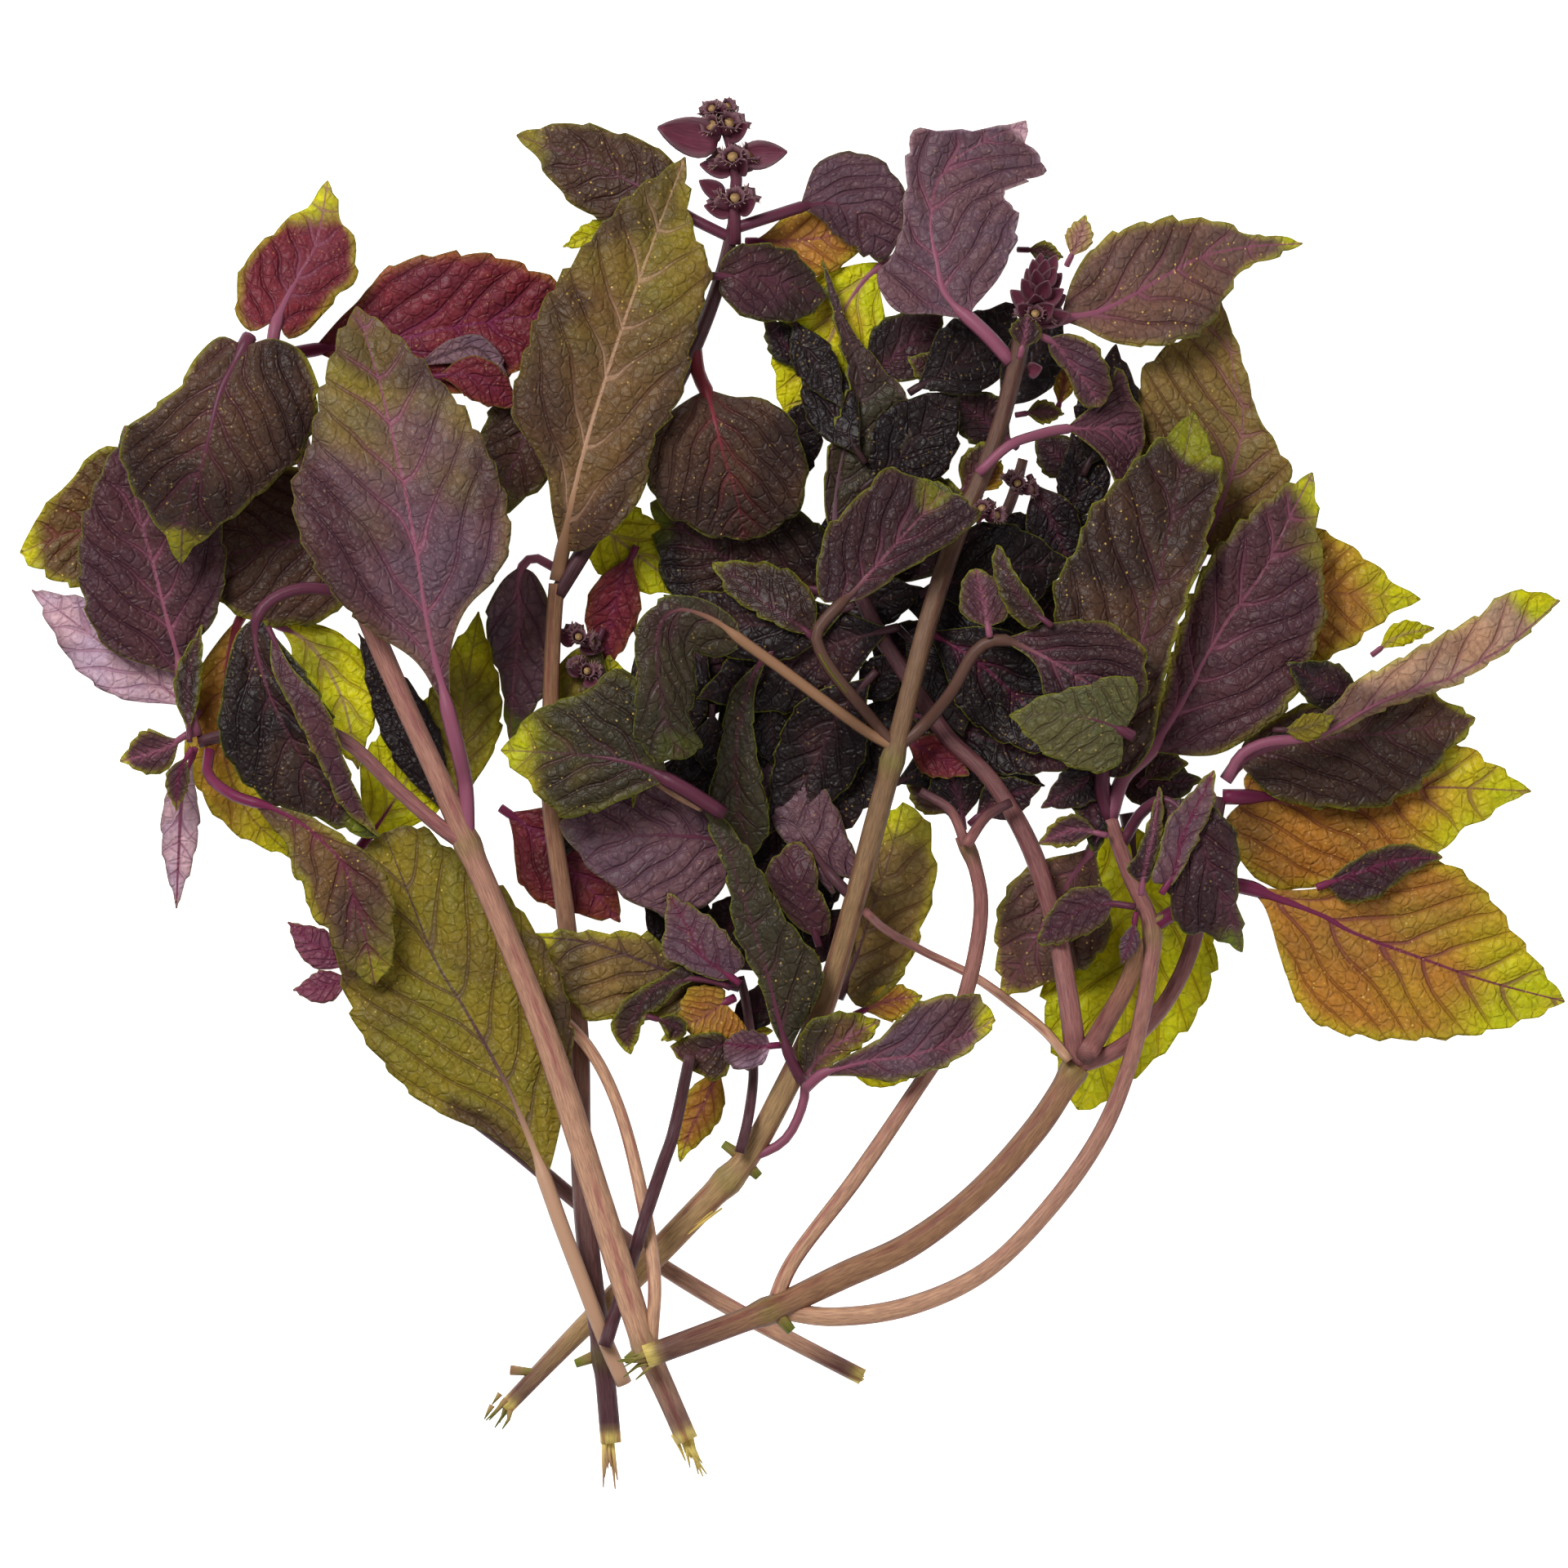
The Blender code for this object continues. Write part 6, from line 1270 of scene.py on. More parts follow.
def stem_axis(stem):
    """The stem's middle line with its heights."""
    route = smooth_route(stem.route, STEM_STEP)
    if stem.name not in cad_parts:
        return resting_axis(stem, route)
    points = solid_points(stem.name)
    reach = max(stem.radii) * 1.3
    heights = np.full(len(route), np.nan)
    for k, spot in enumerate(route):
        gaps = np.linalg.norm(points[:, :2] - spot, axis=1)
        near = gaps < reach
        if near.sum() >= 6:
            weight = np.exp(-((gaps[near] / reach) ** 2))
            heights[k] = (points[near, 2] * weight).sum() / weight.sum()
    known = np.flatnonzero(~np.isnan(heights))
    heights = np.interp(np.arange(len(route)), known, heights[known])
    for _ in range(12):
        padded = np.pad(heights, 1, mode="edge")
        heights = (padded[:-2] + 2 * padded[1:-1] + padded[2:]) / 4
    return np.column_stack([route, heights])


def resting_axis(stem, route):
    """The middle line of a twig that lies on the pieces before it and joins the stem that it grows on, if
    any, at its foot.
    """
    radius = max(stem.radii)
    need = layers.resting(route[:, 0], route[:, 1]) + radius
    heights = settle(need)
    stops = STEM_STEP * np.arange(len(route))
    if stem.grows_on in axes:
        heights = joined_foot(heights, stem_height(axes[stem.grows_on], route[0]), stops)
    return np.column_stack([route, heights])


def build_stem(stem, axis, seed):
    noise = np.random.default_rng(seed)
    share = np.linspace(0, 1, len(axis))
    length = STEM_STEP * len(axis)
    radius = stem.radii[0] + (stem.radii[1] - stem.radii[0]) * share
    swelling = np.zeros(len(axis))
    for node in stem.nodes:
        swelling += np.exp(-(((share - node) * length / 2.2) ** 2))
    tapered = stem.end + (1 - stem.end) * smooth_step(share * length / TAPERED_END)
    radius = radius * (1 + 0.22 * swelling) * tapered
    headings = directions(axis)
    side = np.column_stack([-headings[:, 1], headings[:, 0], np.zeros(len(axis))])
    side /= np.linalg.norm(side, axis=1, keepdims=True)
    up = np.cross(headings, side)
    angles = np.linspace(0, 2 * np.pi, STEM_SIDES + 1)
    twist = noise.random() * 0.8 + share * (noise.random() - 0.5) * 1.5
    rings = []
    edges = []
    for angle in angles:
        place = 4 * (angle + twist)
        form = 1 + 0.055 * np.cos(place) - 0.03 * np.cos(2 * place)
        wander = 1 + 0.03 * np.sin(share * length / 7 + angle * 2 + seed)
        full = radius * form * wander
        rings.append(axis + side * (np.cos(angle) * full)[:, None] + up * (np.sin(angle) * full)[:, None])
        edges.append(np.cos(place))
    points = np.stack(rings, axis=1)
    edge = np.stack(edges, axis=1)
    points[..., 2] = np.maximum(points[..., 2], 0.05)
    piece, row, column = sheet(stem.name, points)
    first, last = TONES[stem.tones[0]], TONES[stem.tones[1]]
    blend = smooth_step(share[row])[:, None]
    colour = first * (1 - blend) + last * blend
    colour = colour * (1 - 0.35 * swelling[row])[:, None] + TONES["green"] * (0.35 * swelling[row])[:, None]
    # Painted shade: the stem is darker, and more plum, towards its lower side
    flank = np.sin(angles)[column]
    lit = smooth_step((flank - 0.05) / 0.65)[:, None]
    colour = colour * lit + (0.5 * colour + 0.3 * TONES["plum"]) * (1 - lit)
    if stem.end < 1:
        dark = smooth_step(1 - share[row] * length / PURPLE_END)[:, None] * 0.75
        torn = smooth_step(1 - share[row] * length / TORN_END)[:, None]
        colour = (colour * (1 - dark) + TONES["plum"] * dark) * (1 - torn) + TONES["straw"] * torn
    paint(piece, "tone", colour)
    paint(piece, "ridge", np.column_stack([edge[row, column], share[row] * length, swelling[row]]),
          "FLOAT_VECTOR")
    lay_uv(piece, share[row] * length, column / STEM_SIDES * 2 * np.pi * stem.radii[0])
    closed_up(piece)
    nodes = [stem.name] if stem.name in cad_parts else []
    return finished(piece, MATERIALS[stem.slot], stem.slot, *nodes)


# Materials


class Nodes:
    """A node tree with short ways to add to it."""

    def __init__(self, tree):
        self.tree = tree

    def add(self, kind, **settings):
        node = self.tree.nodes.new("ShaderNode" + kind)
        for name, value in settings.items():
            setattr(node, name, value)
        return node

    def set(self, socket, value):
        if isinstance(value, bpy.types.NodeSocket):
            self.tree.links.new(value, socket)
        elif isinstance(value, (tuple, list, np.ndarray)) and socket.type == "RGBA":
            socket.default_value = (*[float(x) for x in value[:3]], 1)
        else:
            socket.default_value = value

    def math(self, operation, a, b=None, clamp=False):
        node = self.add("Math", operation=operation, use_clamp=clamp)
        self.set(node.inputs[0], a)
        if b is not None:
            self.set(node.inputs[1], b)
        return node.outputs[0]

    def mix(self, share, a, b, blend="MIX"):
        node = self.add("Mix", data_type="RGBA", blend_type=blend)
        self.set(node.inputs["Factor"], share)
        self.set(node.inputs["A"], a)
        self.set(node.inputs["B"], b)
        return node.outputs["Result"]

    def ramp(self, value, low, high):
        """From 0 where the value is at low to 1 where it is at high."""
        node = self.add("MapRange", interpolation_type="SMOOTHSTEP")
        self.set(node.inputs["Value"], value)
        self.set(node.inputs["From Min"], low)
        self.set(node.inputs["From Max"], high)
        return node.outputs["Result"]

    def attribute(self, name, output="Vector"):
        return self.add("Attribute", attribute_name=name).outputs[output]

    def parts(self, vector):
        node = self.add("SeparateXYZ")
        self.set(node.inputs[0], vector)
        return node.outputs

    def noise(self, vector, scale, detail=2.0, roughness=0.5):
        node = self.add("TexNoise")
        self.set(node.inputs["Vector"], vector)
        self.set(node.inputs["Scale"], scale)
        node.inputs["Detail"].default_value = detail
        node.inputs["Roughness"].default_value = roughness
        return node.outputs["Fac"]

    def voronoi(self, vector, scale, feature="F1"):
        node = self.add("TexVoronoi", feature=feature)
        self.set(node.inputs["Vector"], vector)
        self.set(node.inputs["Scale"], scale)
        return node.outputs


def group(name, inputs, outputs):
    """A new node group: its tree, with sockets given as {name: (kind, value)} and {name: kind}."""
    made = bpy.data.node_groups.new(name, "ShaderNodeTree")
    for label, (kind, value) in inputs.items():
        socket = made.interface.new_socket(name=label, in_out="INPUT", socket_type="NodeSocket" + kind)
        if value is not None:
            socket.default_value = value
    for label, kind in outputs.items():
        made.interface.new_socket(name=label, in_out="OUTPUT", socket_type="NodeSocket" + kind)
    nodes = Nodes(made)
    start = made.nodes.new("NodeGroupInput")
    end = made.nodes.new("NodeGroupOutput")
    return made, nodes, start.outputs, end.inputs


def vein_group():
    """Midrib, side veins, the fine net between them, and the relief that they give."""
    made, n, given, out = group(
        "Leaf veins",
        {"Net Size": ("Float", 420.0), "Pucker Size": ("Float", 1150.0)},
        {"Midrib": "Float", "Side Veins": "Float", "Halo": "Float", "Net": "Float", "Relief": "Float"},
    )
    number, offset, margin = n.parts(n.attribute("vein_place"))[:3]
    pitch, width, lower = n.parts(n.attribute("vein_size"))[:3]
    here = n.add("TexCoord").outputs["Object"]
    wobble = n.math("MULTIPLY", n.math("SUBTRACT", n.noise(here, 180, 2), 0.5), 0.16)
    number = n.math("ADD", number, wobble)
    beat = n.math("ABSOLUTE", n.math("SUBTRACT", n.math("FRACT", n.math("ADD", number, 0.5)), 0.5))
    gap = n.math("MULTIPLY", beat, pitch)
    fade = n.ramp(margin, 0.3, 5.0)
    thick = n.math("ADD", n.math("MULTIPLY", fade, 0.26), 0.12)
    side = n.math("SUBTRACT", 1.0, n.ramp(n.math("DIVIDE", gap, thick), 0.45, 1.5))
    halo = n.math("SUBTRACT", 1.0, n.ramp(gap, 0.2, 1.8))
    midrib = n.math("SUBTRACT", 1.0, n.ramp(n.math("DIVIDE", offset, width), 0.8, 1.5))
    cells = n.voronoi(here, given["Net Size"], "DISTANCE_TO_EDGE")["Distance"]
    net = n.math("SUBTRACT", 1.0, n.ramp(cells, 0.02, 0.13))
    puckers = n.math("SUBTRACT", 1.0, n.ramp(n.voronoi(here, given["Pucker Size"])["Distance"], 0.0, 0.75))
    n.set(out["Midrib"], midrib)
    n.set(out["Side Veins"], side)
    n.set(out["Halo"], halo)
    blade = n.math("SUBTRACT", 1.0, n.ramp(pitch, 8.0, 8.8))
    net = n.math("MULTIPLY", net, blade)
    n.set(out["Net"], net)
    lines = n.math("MAXIMUM", n.math("MULTIPLY", side, 1.0), n.math("MULTIPLY", net, 0.45))
    sign = n.math("SUBTRACT", n.math("MULTIPLY", lower, 2.0), 1.0)
    swellings = n.math("MULTIPLY", puckers, n.math("MULTIPLY", blade, -0.3))
    n.set(out["Relief"], n.math("MULTIPLY", n.math("ADD", lines, swellings), sign))
    return made


def surface_group():
    """Blotches, grain and oil glands of a leaf, and its thin bright rim. The glands are gold dots: partly
    their own colour, partly a painted glint.
    """
    made, n, given, out = group(
        "Leaf surface",
        {"Colour": ("Color", None), "Blotches": ("Float", 0.5), "Gland Glints": ("Float", 0.5)},
        {"Colour": "Color", "Rim": "Float", "Gland Glint": "Float", "Grain": "Float"},
    )
    here = n.add("TexCoord").outputs["Object"]
    margin = n.parts(n.attribute("vein_place"))[2]
    wide = n.noise(here, 90, 3, 0.6)
    fine = n.noise(here, 900, 2, 0.7)
    warm = n.mix(n.ramp(wide, 0.35, 0.65), (0.80, 0.92, 1.02), (1.18, 1.06, 0.88))
    blotched = n.mix(given["Blotches"], given["Colour"], n.mix(1.0, given["Colour"], warm, "MULTIPLY"))
    speck = n.mix(n.ramp(fine, 0.3, 0.7), (0.86, 0.86, 0.86), (1.12, 1.12, 1.12))
    n.set(out["Colour"], n.mix(1.0, blotched, speck, "MULTIPLY"))
    cells = n.voronoi(here, 1000)
    dot = n.math("SUBTRACT", 1.0, n.ramp(cells["Distance"], 0.12, 0.26))
    chance = n.parts(cells["Color"])[0]
    some = n.ramp(chance, 0.55, 1.0)
    patch = n.ramp(n.noise(here, 60, 2), 0.38, 0.6)
    gland_glint = n.math("MULTIPLY", n.math("MULTIPLY", dot, some), n.math("MULTIPLY", patch, given["Gland Glints"]))
    blade = n.math("SUBTRACT", 1.0, n.ramp(n.parts(n.attribute("vein_size"))[0], 8.0, 8.8))
    gland_glint = n.math("MULTIPLY", gland_glint, blade)
    n.set(out["Gland Glint"], gland_glint)
    n.set(out["Grain"], fine)
    n.set(out["Rim"], n.math("SUBTRACT", 1.0, n.ramp(margin, 0.06, 0.32)))
    return made


def leaf_material(name, veins, surface, vein_share, net_share, gland_glints, rim, roughness, through):
    made = bpy.data.materials.new(name)
    made.use_nodes = True
    n = Nodes(made.node_tree)
    shader = made.node_tree.nodes["Principled BSDF"]
    end = made.node_tree.nodes["Material Output"]
    lines = n.add("Group", node_tree=veins).outputs
    skin = n.add("Group", node_tree=surface)
    n.set(skin.inputs["Colour"], n.attribute("tone", "Color"))
    skin.inputs["Gland Glints"].default_value = gland_glints
    vein_tone = n.attribute("vein_tone", "Color")
    colour = skin.outputs["Colour"]
    dark = n.mix(1.0, colour, (0.62, 0.50, 0.62), "MULTIPLY")
    colour = n.mix(n.math("MULTIPLY", lines["Net"], net_share), colour, dark)
    colour = n.mix(n.math("MULTIPLY", lines["Halo"], vein_share * 0.35), colour, vein_tone)
    colour = n.mix(n.math("MULTIPLY", lines["Side Veins"], vein_share), colour, vein_tone)
    colour = n.mix(n.math("MULTIPLY", lines["Midrib"], min(1.0, vein_share + 0.3)), colour, vein_tone)
    # Gold gland dots: partly the glands' own colour, partly a painted glint
    colour = n.mix(skin.outputs["Gland Glint"], colour, TONES["gold"])
    colour = n.mix(n.math("MULTIPLY", skin.outputs["Rim"], rim), colour, n.attribute("rim_tone", "Color"))
    n.set(shader.inputs["Base Color"], colour)
    rough = n.math("ADD", n.math("MULTIPLY", skin.outputs["Grain"], 0.2), roughness - 0.1)
    n.set(shader.inputs["Roughness"], rough)
    shader.inputs["Specular IOR Level"].default_value = 0.2
    height = n.math("ADD", lines["Relief"], n.math("MULTIPLY", skin.outputs["Grain"], 0.12))
    bump = n.add("Bump")
    bump.inputs["Strength"].default_value = 0.6
    bump.inputs["Distance"].default_value = 0.0007
    n.set(bump.inputs["Height"], height)
    n.set(shader.inputs["Normal"], bump.outputs["Normal"])
    beyond = n.add("BsdfTranslucent")
    n.set(beyond.inputs["Color"], colour)
    n.set(beyond.inputs["Normal"], bump.outputs["Normal"])
    both = n.add("MixShader")
    both.inputs["Fac"].default_value = through
    n.set(both.inputs[1], shader.outputs[0])
    n.set(both.inputs[2], beyond.outputs[0])
    n.set(end.inputs["Surface"], both.outputs[0])
    return made


def stem_material(name, roughness):
    made = bpy.data.materials.new(name)
    made.use_nodes = True
    n = Nodes(made.node_tree)
    shader = made.node_tree.nodes["Principled BSDF"]
    edge = n.parts(n.attribute("ridge"))[0]
    here = n.add("UVMap").outputs["UV"]
    stretch = n.add("Mapping")
    n.set(stretch.inputs["Vector"], here)
    stretch.inputs["Scale"].default_value = (0.12, 1.0, 1.0)
    fibres = n.noise(stretch.outputs["Vector"], 26, 3, 0.6)
    place = n.add("TexCoord").outputs["Object"]
    blotch = n.noise(place, 70, 2)
    fine = n.noise(place, 1200, 2)
    base = n.attribute("tone", "Color")
    streaks = n.mix(n.ramp(fibres, 0.3, 0.7), (0.72, 0.66, 0.66), (1.2, 1.18, 1.1))
    colour = n.mix(1.0, base, streaks, "MULTIPLY")
    purple = n.mix(n.ramp(edge, 0.2, 0.9), colour, n.mix(1.0, colour, (0.72, 0.52, 0.62), "MULTIPLY"))
    colour = n.mix(n.ramp(blotch, 0.4, 0.6), colour, purple)
    n.set(shader.inputs["Base Color"], colour)
    n.set(shader.inputs["Roughness"], n.math("ADD", n.math("MULTIPLY", fine, 0.25), roughness - 0.1))
    shader.inputs["Specular IOR Level"].default_value = 0.25
    bump = n.add("Bump")
    bump.inputs["Strength"].default_value = 0.6
    bump.inputs["Distance"].default_value = 0.0003
    ridges, grain = n.math("MULTIPLY", fibres, 0.7), n.math("MULTIPLY", fine, 0.2)
    n.set(bump.inputs["Height"], n.math("ADD", ridges, grain))
    n.set(shader.inputs["Normal"], bump.outputs["Normal"])
    return made


VEINS = vein_group()
SURFACE = surface_group()
MATERIALS = {
    "dark_leaf": leaf_material("Dark basil leaf", VEINS, SURFACE, 0.7, 0.25, 0.3, 0.9, 0.42, 0.08),
    "purple_leaf": leaf_material("Purple basil leaf", VEINS, SURFACE, 0.8, 0.25, 0.2, 0.9, 0.44, 0.08),
    "olive_leaf": leaf_material("Olive basil leaf", VEINS, SURFACE, 0.7, 0.30, 0.7, 0.9, 0.44, 0.1),
    "lime_leaf": leaf_material("Lime basil leaf", VEINS, SURFACE, 0.7, 0.25, 0.6, 0.5, 0.46, 0.12),
    "amber_leaf": leaf_material("Amber basil leaf", VEINS, SURFACE, 0.8, 0.35, 0.9, 0.7, 0.44, 0.12),
    "crimson_leaf": leaf_material("Crimson basil leaf", VEINS, SURFACE, 0.9, 0.35, 0.3, 0.8, 0.44, 0.12),
    "green_leaf": leaf_material("Green basil leaf", VEINS, SURFACE, 0.6, 0.30, 0.5, 0.9, 0.44, 0.08),
    "pale_leaf": leaf_material("Pale underside", VEINS, SURFACE, 0.7, 0.25, 0.2, 0.8, 0.5, 0.1),
    "stem": stem_material("Basil stem", 0.5),
    "shoot": stem_material("Basil shoot", 0.5),
    "flower": stem_material("Basil flower", 0.55),
}


# Flowers, cut ends and stubs


def closed_up(piece):
    """Merges the points that meet, closes the open ends and turns the faces outward."""
    only(piece)
    bpy.ops.object.mode_set(mode="EDIT")
    bpy.ops.mesh.select_all(action="SELECT")
    bpy.ops.mesh.remove_doubles(threshold=0.000001)
    bpy.ops.mesh.fill_holes(sides=0)
    bpy.ops.mesh.normals_make_consistent(inside=False)
    bpy.ops.object.mode_set(mode="OBJECT")
    return piece


def lay_plain(piece, row, column):
    """The ridges and UV map of a small part that has no ribs."""
    paint(piece, "ridge", np.zeros((len(row), 3)), "FLOAT_VECTOR")
    lay_uv(piece, row.astype(float), column.astype(float))


def rod(name, line, radii, sides, colours):
    """A thin round rod along a line, which runs from one colour to another."""
    line = np.array(line, float)
    share = np.linspace(0, 1, len(line))
    radius = radii[0] + (radii[1] - radii[0]) * share
    headings = directions(line)
    side = np.cross(headings, (0.13, 0.21, 0.97))
    side /= np.linalg.norm(side, axis=1, keepdims=True)
    up = np.cross(side, headings)
    rings = []
    for angle in np.linspace(0, 2 * np.pi, sides + 1):
        rings.append(line + (side * np.cos(angle) + up * np.sin(angle)) * radius[:, None])
    piece, row, column = sheet(name, np.stack(rings, axis=1))
    colour = TONES[colours[0]] * (1 - share[row, None]) + TONES[colours[1]] * share[row, None]
    paint(piece, "tone", colour)
    lay_plain(piece, row, column)
    return closed_up(piece)


def flower_cup():
    """A flower cup that opens along X, with five teeth and pale hairs around its mouth."""
    profile = [(0, 0), (0.2, 0.6), (0.7, 1.0), (1.5, 1.3), (2.4, 1.35), (3.1, 1.5), (3.7, 1.9)]
    rings = []
    for angle in np.linspace(0, 2 * np.pi, 21):
        tooth = 0.5 + 0.5 * math.cos(5 * angle)
        ring = []
        for x, radius in profile:
            full = radius * (1 + 0.06 * math.cos(10 * angle))
            ring.append((x + 0.8 * tooth * (x / 3.7) ** 4, full * math.cos(angle), full * math.sin(angle)))
        rings.append(ring)
    points = np.array(rings).transpose(1, 0, 2) + BUNCH_MIDDLE
    piece, row, column = sheet("cup", points)
    share = (row / (len(profile) - 1))[:, None]
    pale = smooth_step((share - 0.6) / 0.4)
    paint(piece, "tone", TONES["wine"] * (1 - pale) + TONES["mauve"] * 1.3 * pale)
    lay_plain(piece, row, column)
    only(piece)
    bpy.ops.object.mode_set(mode="EDIT")
    bpy.ops.mesh.select_all(action="SELECT")
    bpy.ops.mesh.remove_doubles(threshold=0.000001)
    bpy.ops.object.mode_set(mode="OBJECT")
    thicken(piece, 0.2)
    throat = np.array([(0.8, 0, 0), (2.2, 0, 0), (3.3, 0, 0)]) + BUNCH_MIDDLE
    parts = [piece, rod("throat", throat, (0.4, 1.0), 9, ("bark", "oat"))]
    for turn in np.linspace(0, 2 * np.pi, 15)[:-1]:
        way = np.array([0.5, math.cos(turn), math.sin(turn)])
        start = np.array([3.2, 1.5 * way[1], 1.5 * way[2]]) + BUNCH_MIDDLE
        line = [start, start + way * 0.5, start + way * 1.1]
        parts.append(rod("hair", line, (0.1, 0.04), 3, ("straw", "lilac")))
    return joined(parts)


def flower_bract():
    """A small pointed leaf that lies along X, cupped upwards."""
    points = np.empty((9, 7, 3))
    share = np.linspace(0, 1, 9)
    across = np.linspace(-1, 1, 7)
    wide = 1.9 * blade_outline(np.clip(share, 0.02, 0.99), 0.35)
    points[..., 0] = 6.0 * share[:, None]
    points[..., 1] = wide[:, None] * across[None]
    points[..., 2] = 0.45 * wide[:, None] * across[None] ** 2 + 1.1 * share[:, None] ** 2
    piece, row, column = sheet("bract", points + BUNCH_MIDDLE)
    edge = smooth_step((np.abs(across[column]) - 0.55) / 0.45)[:, None]
    paint(piece, "tone", (0.5 * TONES["magenta"] + 0.5 * TONES["plum"]) * (1 - edge) + TONES["mauve"] * edge)
    lay_plain(piece, row, column)
    thicken(piece, 0.25)
    return piece


def copied(master, place, way, turn, size):
    """A copy of a small part, with its own mesh, that starts at a place and points along a direction."""
    copy = master.copy()
    copy.data = master.data.copy()
    bpy.context.scene.collection.objects.link(copy)
    facing = Vector(way).to_track_quat("X", "Z").to_matrix().to_4x4()
    lay = Matrix.Translation(in_model(place)) @ facing @ Matrix.Rotation(turn, 4, "X") @ Matrix.Scale(size, 4)
    copy.data.transform(lay)
    return copy


def around(middle, along, angle, spread):
    """The direction that leaves a stalk at an angle around it, spread from 0 along it to 1 square to it."""
    along = np.array(along) / np.linalg.norm(along)
    side = np.cross(along, (0, 0, 1))
    side /= np.linalg.norm(side)
    up = np.cross(side, along)
    out = side * math.cos(angle) + up * math.sin(angle)
    return along * (1 - spread) + out * spread, np.array(middle) + out * 0.7


def flower_whorl(cup, bract, middle, along, cups, bracts, size, start):
    """A ring of flower cups with bracts below them."""
    parts = []
    for k in range(cups):
        way, foot = around(middle, along, start + 2 * np.pi * k / cups, 0.62)
        parts.append(copied(cup, foot, way, 0.7 * k, size))
    below = np.array(middle) - np.array(along) * 0.8
    for k in range(bracts):
        way, foot = around(below, along, start + 0.5 + 2 * np.pi * k / bracts, 0.75)
        parts.append(copied(bract, foot, way, 0, size))
    return parts


def build_flowers():
    cup, bract = flower_cup(), flower_bract()
    middle = cad_middle("top_flower_spike")
    line = [(-10, 100), (-10, 106), (-9.6, 112), (-10.6, 118), (-12.5, 124)]
    line = [(*at, middle) for at in line]
    parts = [rod("spike", line, (1.3, 0.9), 10, ("wine", "wine"))]
    for at, cups, bracts, size, start in (
        ((-10, 107), 5, 3, 0.95, 0.2),
        ((-9.8, 114.5), 6, 3, 1.0, 0.6),
        ((-12, 120.5), 6, 2, 1.0, 0.1),
        ((-12.8, 124), 5, 1, 0.7, 0.8),
    ):
        parts += flower_whorl(cup, bract, (*at, middle), (-0.15, 1, 0.05), cups, bracts, size, start)
    for at, way, size in (
        ((-13, 118.5, middle + 1), (-1, 0.25, 0.05), 1.9),
        ((-8.5, 116, middle + 1), (1, 0.1, 0.1), 1.4),
        ((-12, 109, middle), (-1, 0.6, 0.2), 0.9),
    ):
        parts.append(copied(bract, at, way, 0, size))
    finished(joined(parts), MATERIALS["flower"], "flower", "top_flower_spike")

    middle = cad_middle("right_flower_spike")
    foot, tip = np.array([45.0, 86.0, middle]), np.array([47.0, 97.5, middle + 1])
    parts = [rod("bud", [foot, (foot + tip) / 2, tip], (1.3, 0.5), 8, ("plum", "ink"))]
    for k in range(22):
        share = k / 22
        way, place = around(foot + (tip - foot) * share * 0.75, tip - foot, 2.4 * k, 0.72 - 0.55 * share)
        parts.append(copied(bract, place, way, 0, 0.98 - 0.3 * share))
    parts += flower_whorl(cup, bract, foot, tip - foot, 5, 2, 0.8, 0.4)
    finished(joined(parts), MATERIALS["flower"], "flower", "right_flower_spike")

    for whorls in (((42, 55.5), (36, 50.5)), ((-38.5, 27.5), (-37.5, 21.5))):  # in the middle, on the left
        parts = []
        for x, y in whorls:
            height = float(layers.resting(np.array([x]), np.array([y]))[0]) + 2.2
            parts += flower_whorl(cup, bract, (x, y, height), (0.5, 1, 0.2), 5, 2, 0.72, x)
        finished(joined(parts), MATERIALS["flower"], "flower")
    for master in (cup, bract):
        bpy.data.objects.remove(master)


def cad_middle(name):
    """Height of the middle of a solid, in the lists' millimetres."""
    heights = solid_points(name)[:, 2]
    return float(heights.min() + heights.max()) / 2


FRAYED = [  # stem, how many fibres, their length, their spread, their colours
    ("left_stem", 16, 8.0, 0.12, ("straw", "straw")),
    ("back_stem", 9, 10.0, 0.10, ("straw", "tan")),
    ("centre_stem", 9, 5.0, 0.35, ("oat", "green")),
    ("right_stem", 16, 6.0, 0.25, ("oat", "green")),
    ("slanting_stem", 8, 2.0, 0.3, ("green", "straw")),
]
STUBS = [  # stem, from, to, radius
    ("left_stem", (-26, -101), (-29.5, -103.5), 1.1),
    ("back_stem", (-35, -103), (-39, -104.5), 1.0),
    ("back_stem", (-35, -103), (-33, -99.5), 0.8),
    ("centre_stem", (-8, -68), (-5.5, -70.5), 1.1),
    ("centre_stem", (-8.5, -67), (-12, -64.5), 1.0),
    ("centre_stem", (-51, -106), (-45.5, -106.5), 0.8),
    ("right_stem", (-3, -94), (0.5, -98), 1.2),
    ("outer_stem", (66, -24.5), (69.5, -22), 1.0),
]


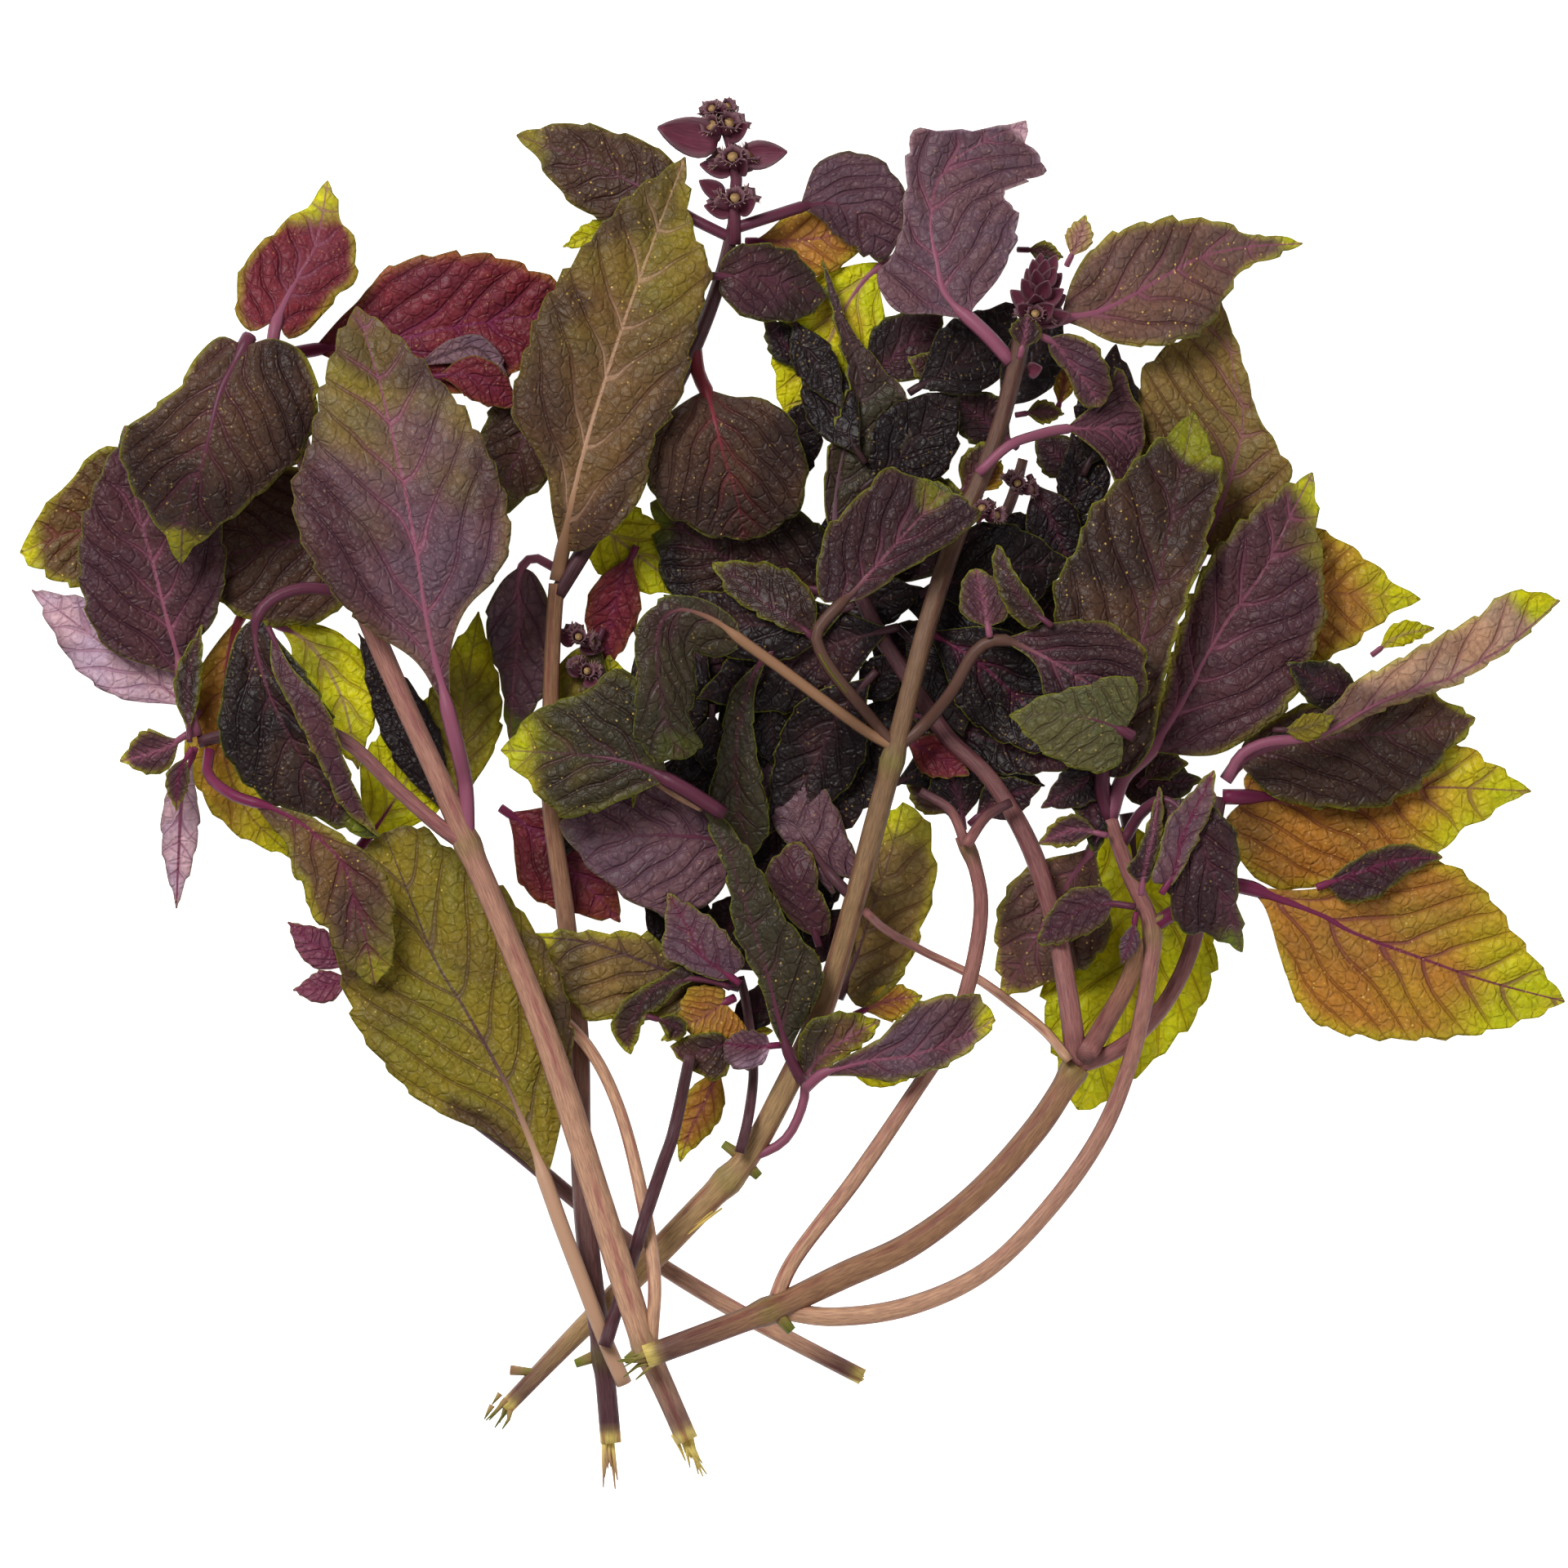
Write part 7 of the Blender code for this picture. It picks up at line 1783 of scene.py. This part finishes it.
def build_cut_ends():
    """Fibres at the torn ends of the stems, and the stubs of leaves that were pulled off."""
    noise = np.random.default_rng(7)
    radii = {piece.name: piece.radii for piece in PIECES if isinstance(piece, Stem)}
    parts = []
    for name, count, length, spread, colours in FRAYED:
        axis = axes[name]
        way = (axis[0] - axis[2]) / np.linalg.norm(axis[0] - axis[2])
        for _ in range(count):
            off = noise.normal(0, 0.38, 3) * radii[name][0] * (1, 1, 0.7)
            out = (way + noise.normal(0, spread, 3) * (1, 1, 0.4)) * length * (0.4 + 0.6 * noise.random())
            start = axis[0] + off - way * 1.5
            start[2] = max(start[2], 0.6)
            line = [start, start + out * 0.5, start + out + noise.normal(0, 0.3, 3)]
            line = [np.array([x, y, max(z, 0.4)]) for x, y, z in line]
            parts.append(rod("fibre", line, (0.62, 0.12), 5, colours))
    for shift in np.linspace(-1.2, 1.2, 7):  # where the skin has come away from the longest stem
        foot, tip = np.array([-23.5, -83.5]), np.array([-14, -75.5]) + 0.8 * noise.normal(0, 1, 2)
        line = [foot + (tip - foot) * along + np.array([-0.63, 0.77]) * shift for along in (0, 0.35, 0.7, 1)]
        lift = math.sqrt(4.0 - shift**2) - 0.15
        line = [(*at, stem_height(axes["centre_stem"], at) + lift) for at in line]
        parts.append(rod("fibre", line, (0.4, 0.2), 5, ("gold", "straw")))
    for name, foot, tip, radius in STUBS:
        height = stem_height(axes[name], np.array(foot))
        half_way = ((foot[0] + tip[0]) / 2, (foot[1] + tip[1]) / 2, height + 0.3)
        line = [(*foot, height), half_way, (*tip, height + 0.5)]
        parts.append(rod("stub", line, (radius * 1.2, radius * 0.8), 9, ("fawn", "green")))
    piece = joined(parts)
    piece.name = piece.data.name = "cut_ends"
    finished(piece, MATERIALS["stem"], "stem")


def build_bunch():
    blades = {}
    for number, piece in enumerate(PIECES):
        if isinstance(piece, Stem):
            axis = stem_axis(piece)
            axes[piece.name] = axis
            offsets = np.array([-0.9, -0.45, 0, 0.45, 0.9]) * max(piece.radii)
            headings = directions(axis[:, :2])
            x = axis[:, None, 0] - headings[:, None, 1] * offsets[None]
            y = axis[:, None, 1] + headings[:, None, 0] * offsets[None]
            layers.cover(piece.name, x, y, np.broadcast_to(axis[:, None, 2] + max(piece.radii), x.shape))
        else:
            blade = fine_blade(piece, 100 + number)
            blades[piece.name] = blade
            layers.cover(piece.name, blade.points[..., 0], blade.points[..., 1], blade.points[..., 2])
    for number, piece in enumerate(PIECES):
        if isinstance(piece, Stem):
            build_stem(piece, axes[piece.name], 200 + number)
        else:
            build_leaf(piece, blades[piece.name], 300 + number)


# The table, the light and the camera

FLOOR_SIDE = 6.0
VIEW_HEIGHT = 2.4
VIEW_WIDTH = 0.288
VIEW_MIDDLE = (-0.0006, -0.00255)


def build_table():
    bpy.ops.object.select_all(action="DESELECT")
    bpy.ops.mesh.primitive_plane_add(size=FLOOR_SIDE, location=(0, 0, -0.0002))
    floor = bpy.context.active_object
    floor.name = "bright_table"
    made = bpy.data.materials.new("Bright table")
    made.use_nodes = True
    shader = made.node_tree.nodes["Principled BSDF"]
    shader.inputs["Base Color"].default_value = (0.9, 0.9, 0.9, 1)
    shader.inputs["Roughness"].default_value = 0.8
    shader.inputs["Emission Color"].default_value = (1, 1, 1, 1)
    shader.inputs["Emission Strength"].default_value = 0.95
    floor.data.materials.append(made)


def build_light():
    world = bpy.data.worlds.new("Studio")
    bpy.context.scene.world = world
    world.use_nodes = True
    world.node_tree.nodes["Background"].inputs["Color"].default_value = (1, 1, 1, 1)
    world.node_tree.nodes["Background"].inputs["Strength"].default_value = 0.2
    for name, place, size, power in (("key", (-0.5, 0.6, 1.0), 0.5, 15), ("fill", (0.7, -0.5, 1.1), 1.0, 5)):
        light = bpy.data.lights.new(name, "AREA")
        light.size = size
        light.energy = power
        lamp = bpy.data.objects.new(name, light)
        bpy.context.scene.collection.objects.link(lamp)
        lamp.location = place
        lamp.rotation_euler = (-Vector(place)).to_track_quat("-Z", "Y").to_euler()


def build_camera():
    camera = bpy.data.cameras.new("overhead")
    camera.lens = 36 * VIEW_HEIGHT / VIEW_WIDTH
    camera.sensor_width = 36
    camera.clip_end = 20
    made = bpy.data.objects.new("overhead", camera)
    bpy.context.scene.collection.objects.link(made)
    made.location = (*VIEW_MIDDLE, VIEW_HEIGHT)
    bpy.context.scene.camera = made
    bpy.context.scene.view_settings.view_transform = "Standard"


build_bunch()
build_flowers()
build_cut_ends()
build_table()
build_light()
build_camera()
